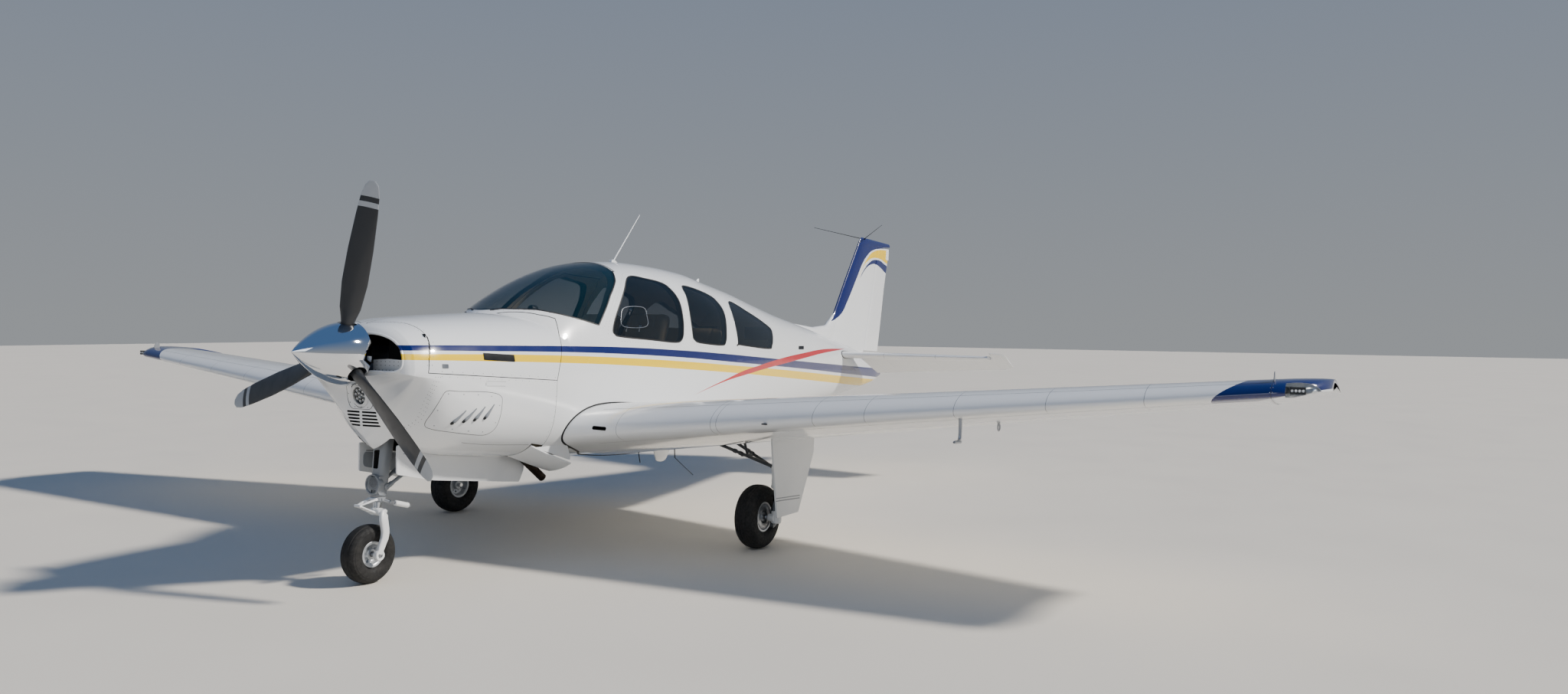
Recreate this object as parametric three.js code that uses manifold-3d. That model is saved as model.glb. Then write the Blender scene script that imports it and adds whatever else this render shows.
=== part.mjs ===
// A four-seat, low-wing, single-engined light aircraft, parked on its retractable tricycle gear.
// The airframe is drawn level: x runs aft from the spinner's tip, y to starboard, z up from the propeller's axis.
// The whole airframe is then turned nose up about the main wheels, so that all three wheels stand on z = 0.
// Every size is in millimetres.
import * as THREE from "three";
import { mergeVertices } from "three/addons/utils/BufferGeometryUtils.js";
import Module from "manifold-3d";

const wasm = await Module();
wasm.setup();

const DEG = Math.PI / 180;
const FIT_GAP = 0.5; // between pieces that are fastened to each other
const MOVING_GAP = 6; // round pieces that move
const FAR = 9000; // longer than the aircraft, for cutting tools

// Stance
const NOSE_UP = 2.8 * DEG;
const PIVOT = { x: 2732, z: -1272 }; // the point of the level airframe that comes down onto the ground
const HALF_LENGTH = 4070; // from the spinner's tip to the row's origin

// Fuselage sections. Upper and lower are the powers of the superellipse above and below the widest point.
const COLUMNS = ["x", "half", "top", "bottom", "mid", "upper", "lower"];
const COWL_ROWS = [
  [420, 330, 130, -135, -100, 2.3, 1.3],
  [455, 405, 166, -190, -110, 2.4, 1.15],
  [487, 440, 184, -262, -117, 2.5, 1.1],
  [503, 448, 191, -430, -120, 2.5, 1.1],
  [560, 466, 206, -535, -125, 2.55, 1.15],
  [640, 485, 224, -586, -130, 2.6, 1.5],
  [800, 503, 244, -603, -135, 2.6, 2.4],
  [973, 520, 263, -622, -140, 2.6, 2.9],
  [1415, 548, 303, -650, -140, 2.6, 3.2],
  [1750, 566, 318, -665, -120, 2.6, 3.5],
  [2100, 580, 330, -668, -100, 2.6, 3.6],
];
const CABIN_ROWS = [
  [1400, 300, 290, -640, -140, 2.0, 3.2],
  [1500, 440, 357, -650, -140, 2.0, 3.2],
  [1677, 545, 459, -662, -130, 2.05, 3.4],
  [1926, 574, 581, -668, -110, 2.2, 3.5],
  [2192, 585, 680, -668, -100, 2.35, 3.6],
  [2446, 590, 738, -668, -90, 2.45, 3.6],
  [2810, 592, 775, -668, -80, 2.5, 3.6],
  [3430, 590, 767, -660, -60, 2.5, 3.4],
  [3815, 570, 718, -640, -50, 2.45, 3.1],
  [4229, 530, 663, -610, -40, 2.4, 2.9],
  [4574, 485, 606, -575, -30, 2.35, 2.7],
  [5105, 405, 524, -525, -10, 2.25, 2.5],
  [5533, 340, 470, -458, 0, 2.2, 2.35],
  [6195, 245, 390, -352, 10, 2.1, 2.2],
  [6600, 190, 330, -296, 10, 2.0, 2.1],
  [7200, 115, 235, -200, 10, 2.0, 2.0],
  [7680, 60, 150, -120, 10, 2.0, 2.0],
  [7896, 20, 30, -50, -10, 2.0, 2.0],
];
const COWL_CUTS = [420, 455, 487, 503, 530, 570, 640, 720, 830, 973, 1200, 1415, 1640, 2100];
const CABIN_CUTS = [
  1400, 1500, 1590, 1677, 1800, 1926, 2060, 2240, 2480, 2810, 3430, 3815, 4229, 4640,
  5105, 5533, 6195, 6600, 7200, 7680, 7896,
];
const RING_POINTS = 24;
const COWL_WALL = 14;
const CABIN_WALL = 45;
const TAIL_WALL = 12;
const GLASS = 8;
const FIREWALL_X = 1600;
const BULKHEAD_X = 4620; // aft end of the cabin
const FLOOR_Z = -490;
const FLOOR_THICK = 12;
const BELLY_FROM_X = 1960; // the room below the floor starts behind the air exits
const TAIL_JOINT_X = 4660;
const TAIL_HOLLOW_TO_X = 7100;

// Outlines seen from the side, as x and z
const COWL_DOOR_GAP = 6;
const COWL_DOOR = [[506, -103], [1750, -138], [1750, 520], [506, 520]]; // its aft edge follows the seam
const WINDSHIELD = [
  [1380, 306], [1500, 334], [1650, 337], [1800, 308], [1970, 272], [2050, 254],
  [2140, 350], [2262, 478], [2400, 595], [2465, 670], [2480, 950], [1380, 950],
];
const CABIN_DOOR = [
  [2084, -150], [3112, -150], [3112, 600], [3050, 668], [2560, 668], [2480, 626], [2330, 500], [2084, 225],
];
const BAGGAGE_DOOR = [[3940, -370], [4440, -370], [4440, 90], [3940, 90]];
const WINDOWS = {
  front: [
    [2185, 237], [2193, 197], [2267, 182], [2600, 174], [2909, 167], [3000, 195], [3031, 270], [3050, 374],
    [3060, 494], [3020, 575], [2950, 622], [2780, 640], [2580, 640], [2421, 519], [2260, 350],
  ],
  middle: [
    [3150, 235], [3165, 199], [3248, 175], [3570, 168], [3644, 197], [3681, 300], [3717, 427], [3695, 505],
    [3590, 575], [3240, 625], [3190, 530], [3155, 380],
  ],
  rear: [[3862, 200], [3885, 182], [4480, 167], [4580, 200], [4651, 309], [4613, 367], [4250, 476], [3910, 535]],
};

// Wing
const WING = {
  rootY: 400, // inside the fuselage
  rootStation: 530, // where the wing meets the fuselage's side
  tipStation: 4950,
  tipJointY: 4840,
  outerY: 5105,
  rootLe: { x: 1722, z: -478 },
  sweep: 0.09, // x per unit of y at the leading edge
  dihedral: 5.5 * DEG,
  rootChord: 2130,
  tipChord: 1070,
  rootTwist: 2.2 * DEG,
  tipTwist: 0.8 * DEG,
  rootThick: 0.165,
  tipThick: 0.12,
};
const FLAP = { hinge: 0.755, inner: 700, outer: 2628 };
const AILERON = { hinge: 0.755, inner: 2656, outer: 4640 };
const END_GAP = 14; // beyond a surface's ends, which shift sideways as it turns about its canted hinge
const NOSE_STEPS = 6;

// Tail
const STABILIZER = {
  inner: 90, outer: 1690, hornOuter: 1855,
  rootLe: 6560, tipLe: 6815, z: 165, hinge: 6950,
  rootTail: 500, tipTail: 290, // from the hinge to the trailing edge
  thick: 0.085,
};
const ELEVATOR_INNER = 215;
const ELEVATOR_DROOP = 22 * DEG;
const FIN = {
  // z, leading edge x, hinge x, trailing edge x, half thickness at the hinge
  rows: [
    [150, 6400, 7406, 7812, 34],
    [420, 6520, 7480, 7868, 31],
    [524, 6627, 7508, 7890, 30],
    [974, 6927, 7630, 7969, 25],
    [1340, 7187, 7729, 8060, 21],
    [1464, 7275, 7763, 8083, 19],
  ],
  top: 1500,
};
const RUDDER_BOTTOM = 232;
const RUDDER_TOP = 1440;

// Propeller
const PROP = { hub: 345, radius: 1022, spinnerBack: 398, spinnerRadius: 190, phase: -11.5 * DEG, blades: 3 };

// Wheels. Each centre's height follows from its rolling radius.
const MAIN = { x: 2721, y: 1460, radius: 222.5, width: 160, rim: 95 };
const NOSE = { x: 590, radius: 177, width: 125, rim: 70 };
const NOSE_STRUT = { top: { x: 672, z: -592 }, low: { x: 640, z: -953 } };

// The level airframe's z of a point at x that stands at a height above the ground.
function levelZ(x, height) {
  return PIVOT.z + (height + (x - PIVOT.x) * Math.sin(NOSE_UP)) / Math.cos(NOSE_UP);
}
const MAIN_Z = levelZ(MAIN.x, MAIN.radius);
const NOSE_Z = levelZ(NOSE.x, NOSE.radius);

function paint(color, roughness, metalness = 0) {
  return new THREE.MeshStandardMaterial({ color, roughness, metalness });
}
const PAINT = {
  white: paint(0xf2f3f4, 0.25),
  blue: paint(0x123a86, 0.25),
  chrome: paint(0xd8dadd, 0.08, 1),
  blade: paint(0x3a3c40, 0.45),
  steel: paint(0x9a9da2, 0.35, 0.9),
  dark: paint(0x1d1e20, 0.7),
  tyre: paint(0x141415, 0.85),
  wheel: paint(0xcfd2d6, 0.4, 0.5),
  glass: paint(0x27323a, 0.05),
  lens: paint(0xdfe6ea, 0.1),
  leather: paint(0xb9a88c, 0.7),
  panel: paint(0x2b2c2e, 0.75),
};

// Solids: manifold-3d only joins and cuts what three.js has shaped.
function solidOf(geometry) {
  const bare = geometry.index ? geometry.toNonIndexed() : geometry.clone();
  bare.deleteAttribute("normal");
  bare.deleteAttribute("uv");
  const merged = mergeVertices(bare, 1e-3);
  const points = merged.attributes.position.array;
  const triVerts = new Uint32Array(merged.index.array);
  if (signedVolume(points, triVerts) < 0) triVerts.reverse();
  return new wasm.Manifold(new wasm.Mesh({ numProp: 3, vertProperties: points, triVerts }));
}

function signedVolume(points, triangles) {
  const corner = (i) => new THREE.Vector3().fromArray(points, 3 * triangles[i]);
  let volume = 0;
  for (let i = 0; i < triangles.length; i += 3) {
    volume += corner(i).dot(corner(i + 1).cross(corner(i + 2))) / 6;
  }
  return volume;
}

function geometryOf(solid) {
  const { numProp, vertProperties, triVerts } = solid.getMesh();
  const points = new Float32Array((vertProperties.length / numProp) * 3);
  for (let i = 0; i < points.length / 3; i++) {
    points.set(vertProperties.subarray(i * numProp, i * numProp + 3), 3 * i);
  }
  const geometry = new THREE.BufferGeometry();
  geometry.setAttribute("position", new THREE.BufferAttribute(points, 3));
  geometry.setIndex(new THREE.BufferAttribute(triVerts, 1));
  geometry.computeVertexNormals();
  return geometry;
}

const joined = (solids) => solids.reduce((all, next) => all.add(next));
const largest = (solid) => solid.decompose().sort((a, b) => b.volume() - a.volume())[0];
const cutBy = (solid, tools) => tools.reduce((left, tool) => left.subtract(tool), solid);

const airframe = new THREE.Group();

function place(name, solid, material, group = airframe) {
  const mesh = new THREE.Mesh(geometryOf(solid), material);
  mesh.name = name;
  group.add(mesh);
  return mesh;
}

// Shapes

// A closed surface through rings of points, each end closed by a fan to the ring's centre.
function loft(rings) {
  const count = rings[0].length;
  const points = [];
  rings.forEach((ring) => ring.forEach((p) => points.push(p.x, p.y, p.z)));
  const index = [];
  for (let i = 0; i < rings.length - 1; i++) {
    for (let j = 0; j < count; j++) {
      const a = i * count + j;
      const b = i * count + ((j + 1) % count);
      index.push(a, b, a + count, b, b + count, a + count);
    }
  }
  [0, rings.length - 1].forEach((end) => {
    const centre = rings[end].reduce((sum, p) => sum.add(p), new THREE.Vector3()).divideScalar(count);
    const hub = points.length / 3;
    points.push(centre.x, centre.y, centre.z);
    for (let j = 0; j < count; j++) {
      const a = end * count + j;
      const b = end * count + ((j + 1) % count);
      if (end === 0) index.push(hub, b, a);
      else index.push(hub, a, b);
    }
  });
  const geometry = new THREE.BufferGeometry();
  geometry.setAttribute("position", new THREE.Float32BufferAttribute(points, 3));
  geometry.setIndex(index);
  return solidOf(geometry);
}

function box(low, high) {
  const size = high.map((value, i) => value - low[i]);
  const centre = high.map((value, i) => (value + low[i]) / 2);
  return solidOf(new THREE.BoxGeometry(...size).translate(...centre));
}

// A prism of an outline seen from the side, between two values of y.
function sidePrism(outline, fromY, toY) {
  const shape = new THREE.Shape(outline.map(([x, z]) => new THREE.Vector2(x, z)));
  const geometry = new THREE.ExtrudeGeometry(shape, { depth: toY - fromY, bevelEnabled: false });
  geometry.rotateX(Math.PI / 2); // the shape's second axis becomes z, and its depth runs to -y
  return solidOf(geometry.translate(0, toY, 0));
}

// A prism of an outline seen from above, as x and y.
function planPrism(outline, fromZ, toZ) {
  const shape = new THREE.Shape(outline.map(([x, y]) => new THREE.Vector2(x, y)));
  const geometry = new THREE.ExtrudeGeometry(shape, { depth: toZ - fromZ, bevelEnabled: false });
  return solidOf(geometry.translate(0, 0, fromZ));
}

// A round bar between two points, with its own radius at each end.
function rod(from, to, radius, endRadius = radius, sides = 12) {
  const a = new THREE.Vector3(...from);
  const b = new THREE.Vector3(...to);
  const along = b.clone().sub(a);
  const geometry = new THREE.CylinderGeometry(endRadius, radius, along.length(), sides);
  const turn = new THREE.Quaternion().setFromUnitVectors(new THREE.Vector3(0, 1, 0), along.normalize());
  return solidOf(geometry.applyQuaternion(turn).translate(...a.add(b).divideScalar(2).toArray()));
}

// A bar of round section along a smooth curve.
function pipe(points, radius, steps, sides = 10) {
  const curve = new THREE.CatmullRomCurve3(points.map((p) => new THREE.Vector3(...p)));
  const section = new THREE.Shape();
  section.absarc(0, 0, radius, 0, 2 * Math.PI);
  const options = { steps, extrudePath: curve, curveSegments: sides };
  return solidOf(new THREE.ExtrudeGeometry(section, options));
}

// A body turned about the y axis through a centre: the profile holds [radius, y].
function turned(profile, centre, segments, start = 0) {
  const points = profile.map(([radius, y]) => new THREE.Vector2(radius, y));
  return solidOf(new THREE.LatheGeometry(points, segments, start).translate(...centre));
}

// The outline moved outwards by a distance, as seen from the side.
function grown(outline, distance) {
  if (distance === 0) return outline;
  const area = THREE.ShapeUtils.area(outline.map(([x, z]) => new THREE.Vector2(x, z)));
  const side = Math.sign(area) * distance;
  const count = outline.length;
  const normal = (from, to) => {
    const length = Math.hypot(to[0] - from[0], to[1] - from[1]);
    return [(side * (to[1] - from[1])) / length, (-side * (to[0] - from[0])) / length];
  };
  return outline.map((point, i) => {
    const before = normal(outline[(i + count - 1) % count], point);
    const after = normal(point, outline[(i + 1) % count]);
    const share = distance ** 2 / (distance ** 2 + before[0] * after[0] + before[1] * after[1]);
    return [point[0] + (before[0] + after[0]) * share, point[1] + (before[1] + after[1]) * share];
  });
}

// Fuselage

// The section's values at x, by a cubic curve through the rows.
function sectionAt(rows, x) {
  const last = rows.length - 1;
  const slope = (i, column) => {
    const a = rows[Math.max(i - 1, 0)];
    const b = rows[Math.min(i + 1, last)];
    return (b[column] - a[column]) / (b[0] - a[0]);
  };
  let i = 0;
  while (i < last - 1 && x > rows[i + 1][0]) i++;
  const span = rows[i + 1][0] - rows[i][0];
  const t = (x - rows[i][0]) / span;
  const section = { x };
  COLUMNS.slice(1).forEach((name, k) => {
    const column = k + 1;
    section[name] =
      (1 + 2 * t) * (1 - t) ** 2 * rows[i][column] + t * (1 - t) ** 2 * span * slope(i, column) +
      t * t * (3 - 2 * t) * rows[i + 1][column] + t * t * (t - 1) * span * slope(i + 1, column);
  });
  return section;
}

// The ring of points of a section, set in from the skin by the wall's thickness.
function ringOf(section, wall = 0) {
  const { x, half, top, bottom, mid, upper, lower } = section;
  return Array.from({ length: RING_POINTS }, (_, i) => {
    const angle = (2 * Math.PI * i) / RING_POINTS; // from the crown towards starboard
    const sine = Math.sin(angle);
    const cosine = Math.cos(angle);
    const power = 2 / (cosine >= 0 ? upper : lower);
    const height = (cosine >= 0 ? top - mid : mid - bottom) - wall;
    const y = Math.sign(sine) * Math.abs(sine) ** power * (half - wall);
    return new THREE.Vector3(x, y, mid + Math.sign(cosine) * Math.abs(cosine) ** power * height);
  });
}

function hull(rows, cuts, wall = 0) {
  return loft(cuts.map((x) => ringOf(sectionAt(rows, x), wall)));
}

function slab(fromX, toX) {
  return box([fromX, -FAR, -FAR], [toX, FAR, FAR]);
}

const cowlHull = hull(COWL_ROWS, COWL_CUTS);
const cabinHull = hull(CABIN_ROWS, CABIN_CUTS);
const wholeHull = cowlHull.add(cabinHull);
const cabinInside = hull(CABIN_ROWS, CABIN_CUTS.slice(0, -3), CABIN_WALL);
const underGlass = hull(CABIN_ROWS, CABIN_CUTS.slice(0, -3), GLASS);

// The seam between the cowling and the cabin runs up the side, then forward just outside the windshield's base.
const SEAM = [[FIREWALL_X, -140], [1621, -48], [1691, 156], [1722, 300]]; // seen from the side, as x and z
const DECK = [[1398, 60], [1440, 112], [1508, 192], [1636, 345], [1760, 458]]; // seen from above, as x and y
const DECK_Z = 180;
const SHOULDER_TO_X = 1740; // the cabin's skin is set in below the cowling's overlap up to here

function zoneAhead(gap) {
  const aheadOfSeam = [[-FAR, -FAR], [FIREWALL_X, -FAR], ...SEAM, [1722, FAR], [-FAR, FAR]];
  const mirrored = DECK.map(([x, y]) => [x, -y]).reverse();
  const deck = [...DECK, [FAR, 458], [FAR, -458], ...mirrored];
  return sidePrism(grown(aheadOfSeam, -gap), -FAR, FAR).subtract(planPrism(grown(deck, gap), DECK_Z, FAR));
}

// The inside of both hulls, below a skin of a thickness, ahead of the door's aft edge.
function insetHull(thick) {
  return hull(CABIN_ROWS, CABIN_CUTS.slice(0, 9), thick).add(hull(COWL_ROWS, COWL_CUTS.slice(3), thick));
}

function inlet(side) {
  const shape = new THREE.Shape();
  const [inner, outer, low, high, corner] = [205, 405, -95, 120, 70];
  shape.moveTo(inner, low + corner);
  shape.lineTo(inner, high - corner);
  shape.quadraticCurveTo(inner, high, inner + corner, high);
  shape.lineTo(outer - corner, high);
  shape.quadraticCurveTo(outer, high, outer, high - corner);
  shape.lineTo(outer, low + corner);
  shape.quadraticCurveTo(outer, low, outer - corner, low);
  shape.lineTo(inner + corner, low);
  shape.quadraticCurveTo(inner, low, inner, low + corner);
  const geometry = new THREE.ExtrudeGeometry(shape, { depth: 260, bevelEnabled: false, curveSegments: 5 });
  // shape x, y and depth become y, z and x
  const basis = new THREE.Matrix4().set(0, 0, 1, 380, side, 0, 0, 0, 0, 1, 0, 0, 0, 0, 0, 1);
  return solidOf(geometry.applyMatrix4(basis));
}

const SIDES = { port: -1, starboard: 1 };
const eachSide = (make) => Object.entries(SIDES).forEach(([name, side]) => make(name, side));
const mirroredY = (side, low, high) => (side < 0 ? [-high, -low] : [low, high]);

// A solid kept on one side of the aircraft, from a distance off the centre outwards.
function halfSpace(side, from) {
  const [low, high] = mirroredY(side, from, FAR);
  return box([-FAR, low, -FAR], [FAR, high, FAR]);
}

const SPINE_HALF = 25;
const LANDING_LIGHT = { x: 470, z: -248, radius: 74 };
const GRILLE = { columns: [-68, 68], rows: 5, top: -345, pitch: 20, halfWidth: 58, halfHeight: 5 };
const NOSE_WELL = { fromX: 600, toX: 1440, half: 165 };
// Each cowl flap is a piece of the belly's skin that hangs open from its front edge.
const COWL_FLAP = {
  hingeX: 1500, tipX: 1884, inner: 240, outer: 436, // as x and y
  innerZ: -653, outerZ: -572, // the front edge's two ends
  thick: 8, open: 17 * DEG,
};
const EXHAUST = { y: 203, radius: 29, start: [1470, -520], end: [1894, -815] };
const AIR_EXIT = { aftX: 1890, topZ: -525 }; // the recess above each exhaust and cowl flap

function buildCowling() {
  const skin = wholeHull.subtract(insetHull(COWL_WALL));
  const shell = skin.intersect(zoneAhead(FIT_GAP));
  const doorZone = sidePrism(grown(COWL_DOOR, COWL_DOOR_GAP), -FAR, FAR);
  const doorLimit = sidePrism(COWL_DOOR, -FAR, FAR).intersect(zoneAhead(MOVING_GAP));
  const spine = box([-FAR, -SPINE_HALF, -FAR], [FAR, SPINE_HALF, FAR]);
  const slots = [];
  GRILLE.columns.forEach((y) => {
    for (let row = 0; row < GRILLE.rows; row++) {
      const z = GRILLE.top - row * GRILLE.pitch;
      slots.push(
        box([400, y - GRILLE.halfWidth, z - GRILLE.halfHeight], [590, y + GRILLE.halfWidth, z + GRILLE.halfHeight]),
      );
    }
  });
  const { x, z, radius } = LANDING_LIGHT;
  const lamp = rod([x - 40, 0, z], [x + 120, 0, z], radius + FIT_GAP, radius + FIT_GAP, 20);
  const shaftHole = rod([380, 0, 0], [560, 0, 0], 110, 110, 20);
  const { fromX, toX, half } = NOSE_WELL;
  const well = box([fromX, -half, -900], [toX, half, -500]);
  const body = cutBy(shell, [doorZone.subtract(spine), lamp, shaftHole, well, inlet(-1), inlet(1), ...slots]);
  const flapHoles = Object.values(SIDES).map((side) => {
    const [low, high] = mirroredY(side, EXHAUST.y - 45, COWL_FLAP.outer + 3 * MOVING_GAP);
    return box([COWL_FLAP.hingeX - 2 * MOVING_GAP, low, -900], [FAR, high, -500]);
  });
  place("cowling", largest(cutBy(body, flapHoles)), PAINT.white);
  place("landing_light", rod([x + 14, 0, z], [x + 50, 0, z], radius, radius, 20), PAINT.lens);
  eachSide((name, side) => {
    const door = skin.intersect(doorLimit).intersect(halfSpace(side, SPINE_HALF + MOVING_GAP + 1));
    place(`cowl_door_${name}`, largest(door), PAINT.white);
  });
}

const ENGINE = { low: [650, -370, -400], high: [1480, 370, 60], shaftRadius: 55 };
const FIREWALL_THICK = 30;

function buildEngine() {
  const block = box(ENGINE.low, ENGINE.high).intersect(hull(COWL_ROWS, COWL_CUTS.slice(3), COWL_WALL + 4));
  const shaft = rod([PROP.spinnerBack + 8, 0, 0], [ENGINE.low[0] + 20, 0, 0], ENGINE.shaftRadius);
  place("engine", block.add(shaft), PAINT.steel);
}

const windshieldZone = sidePrism(WINDSHIELD, -FAR, FAR);
const windshieldFit = sidePrism(grown(WINDSHIELD, -FIT_GAP), -FAR, FAR);
const windowTool = (key, gap, side) => {
  const [low, high] = mirroredY(side, 150, 900);
  return sidePrism(grown(WINDOWS[key], gap), low, high);
};

function buildCabin() {
  const footRoom = box([-FAR, -FAR, FLOOR_Z], [FAR, FAR, FAR]);
  const belly = slab(BELLY_FROM_X, BULKHEAD_X);
  const inside = cabinInside
    .intersect(slab(FIREWALL_X + FIREWALL_THICK, BULKHEAD_X))
    .intersect(footRoom.add(belly));
  const shoulder = insetHull(COWL_WALL + MOVING_GAP).intersect(slab(FIREWALL_X, SHOULDER_TO_X));
  const outside = wholeHull.subtract(zoneAhead(0)).add(shoulder).intersect(slab(-FAR, TAIL_JOINT_X - FIT_GAP));
  const tools = [inside, windshieldZone];
  eachSide((name, side) => {
    const [low, high] = mirroredY(side, EXHAUST.y - 45, COWL_FLAP.outer + MOVING_GAP);
    tools.push(box([FIREWALL_X - 10, low, -900], [AIR_EXIT.aftX, high, AIR_EXIT.topZ]));
  });
  eachSide((name, side) => Object.keys(WINDOWS).forEach((key) => tools.push(windowTool(key, 0, side))));
  tools.push(sidePrism(grown(CABIN_DOOR, MOVING_GAP), 60, 900));
  tools.push(sidePrism(grown(BAGGAGE_DOOR, MOVING_GAP), 60, 900));
  const whip = rod([2845, 0, 760], [3181, 0, 1193], 6, 3, 8).add(box([2815, -14, 750], [2905, 14, 788]));
  place("cabin_shell", largest(cutBy(outside, tools).add(whip.subtract(cabinInside))), PAINT.white);
  const cabinWall = cabinHull.subtract(cabinInside);
  const door = cabinWall.intersect(sidePrism(CABIN_DOOR, 60, 900)).subtract(windowTool("front", 0, 1));
  place("cabin_door", door, PAINT.white);
  place("baggage_door", cabinWall.intersect(sidePrism(BAGGAGE_DOOR, 60, 900)), PAINT.white);
  const glassSkin = cabinHull.subtract(underGlass);
  const windshield = glassSkin.intersect(windshieldFit).subtract(cowlHull).intersect(slab(1405, FAR));
  place("windshield", windshield, PAINT.glass);
  eachSide((name, side) => Object.keys(WINDOWS).forEach((key) => {
    place(`window_${key}_${name}`, glassSkin.intersect(windowTool(key, -FIT_GAP, side)), PAINT.glass);
  }));
  const fitted = hull(CABIN_ROWS, CABIN_CUTS.slice(0, -3), CABIN_WALL + FIT_GAP);
  const floor = box([BELLY_FROM_X + FIT_GAP, -FAR, FLOOR_Z - FLOOR_THICK], [BULKHEAD_X - FIT_GAP, FAR, FLOOR_Z]);
  place("cabin_floor", fitted.intersect(floor), PAINT.panel);
}

function buildTailCone() {
  const outer = wholeHull.intersect(slab(TAIL_JOINT_X, FAR));
  const inner = hull(CABIN_ROWS, CABIN_CUTS.slice(8, -2), TAIL_WALL).intersect(slab(-FAR, TAIL_HOLLOW_TO_X));
  const tube = rod([STABILIZER.hinge, -400, STABILIZER.z], [STABILIZER.hinge, 400, STABILIZER.z], 30);
  place("tail_cone", outer.subtract(inner).subtract(tube), PAINT.white);
}

// Wing

// The section of a five-digit aerofoil: camber line and half thickness, as fractions of the chord.
function aerofoil(u, thick) {
  const [m, k] = [0.2025, 15.957];
  const camber = u < m
    ? (k / 6) * (u ** 3 - 3 * m * u * u + m * m * (3 - m) * u)
    : ((k * m ** 3) / 6) * (1 - u);
  const half = 5 * thick *
    (0.2969 * Math.sqrt(u) - 0.126 * u - 0.3516 * u * u + 0.2843 * u ** 3 - 0.1015 * u ** 4);
  return { camber, half };
}

// The wing's chord, twist and leading edge at a distance from the centre.
function wingAt(y) {
  const share = (y - WING.rootStation) / (WING.tipStation - WING.rootStation);
  const mix = (a, b) => a + (b - a) * share;
  return {
    x: WING.rootLe.x + WING.sweep * (y - WING.rootStation),
    z: WING.rootLe.z + Math.tan(WING.dihedral) * (y - WING.rootStation),
    chord: mix(WING.rootChord, WING.tipChord),
    twist: mix(WING.rootTwist, WING.tipTwist),
    thick: mix(WING.rootThick, WING.tipThick),
  };
}

// A point of the wing's section: u along the chord and v above it, both as fractions of the chord.
function wingPoint(section, y, side, u, v) {
  const cosine = Math.cos(section.twist);
  const sine = Math.sin(section.twist);
  return new THREE.Vector3(
    section.x + section.chord * (u * cosine + v * sine),
    side * y,
    section.z + section.chord * (v * cosine - u * sine),
  );
}

const SECTION_STEPS = 12;
const chordwise = Array.from({ length: SECTION_STEPS + 1 }, (_, i) => (1 - Math.cos((Math.PI * i) / SECTION_STEPS)) / 2);
const EDGE_HALF = 0.0012; // half the trailing edge's thickness

function wingRing(y, side) {
  const section = wingAt(y);
  const upper = [...chordwise].reverse().map((u) => {
    const { camber, half } = aerofoil(u, section.thick);
    return wingPoint(section, y, side, u, camber + Math.max(half, EDGE_HALF));
  });
  const lower = chordwise.slice(1).map((u) => {
    const { camber, half } = aerofoil(u, section.thick);
    return wingPoint(section, y, side, u, camber - Math.max(half, EDGE_HALF));
  });
  return [...upper, ...lower];
}

// The hinge's centre and the radius of the surface's round nose, at a distance from the centre.
function hingeAt(y, fraction) {
  const section = wingAt(y);
  const { camber, half } = aerofoil(fraction, section.thick);
  return { section, centre: [fraction, camber], radius: half };
}

function surfaceRing(y, side, fraction) {
  const { section, centre, radius } = hingeAt(y, fraction);
  const aft = [0.82, 0.91, 1];
  const edge = (u, sign) => {
    const { camber, half } = aerofoil(u, section.thick);
    return wingPoint(section, y, side, u, camber + sign * Math.max(half, EDGE_HALF));
  };
  const nose = Array.from({ length: NOSE_STEPS + 1 }, (_, i) => {
    const angle = Math.PI / 2 + (Math.PI * i) / NOSE_STEPS;
    return wingPoint(section, y, side, centre[0] + radius * Math.cos(angle), centre[1] + radius * Math.sin(angle));
  });
  return [...[...aft].reverse().map((u) => edge(u, 1)), ...nose, ...aft.map((u) => edge(u, -1))];
}

// The room behind the wing's cove, seen from above, for one surface.
function coveTool({ hinge, inner, outer }, side) {
  const edge = (y) => {
    const { section, radius } = hingeAt(y, hinge);
    return section.x + section.chord * (hinge - radius) - MOVING_GAP;
  };
  const [a, b] = [inner - END_GAP, outer + END_GAP];
  return planPrism([[edge(a), side * a], [edge(b), side * b], [FAR, side * b], [FAR, side * a]], -FAR, FAR);
}

// The wing tip: the leading edge curves back and the lower surface rises to the upper one.
function tipRing(y, side) {
  const section = wingAt(y);
  const share = (y - WING.tipJointY) / (WING.outerY - WING.tipJointY);
  const round = Math.sqrt(Math.max(0, 1 - share * share));
  const shift = 370 * (1 - round);
  const tail = section.x + section.chord;
  const fall = 1 - 0.82 * share ** 3;
  const narrowed = { ...section, x: section.x + shift, chord: tail - section.x - shift };
  const grownBy = section.chord / narrowed.chord;
  const at = (u, sign) => {
    const { camber, half } = aerofoil(u, section.thick);
    const crest = camber + half;
    const v = sign > 0 ? crest : crest - 2 * Math.max(half * fall, EDGE_HALF * 2);
    return wingPoint(narrowed, y, side, u, v * grownBy ** 0.55);
  };
  return [...[...chordwise].reverse().map((u) => at(u, 1)), ...chordwise.slice(1).map((u) => at(u, -1))];
}

const wings = {};

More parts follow.
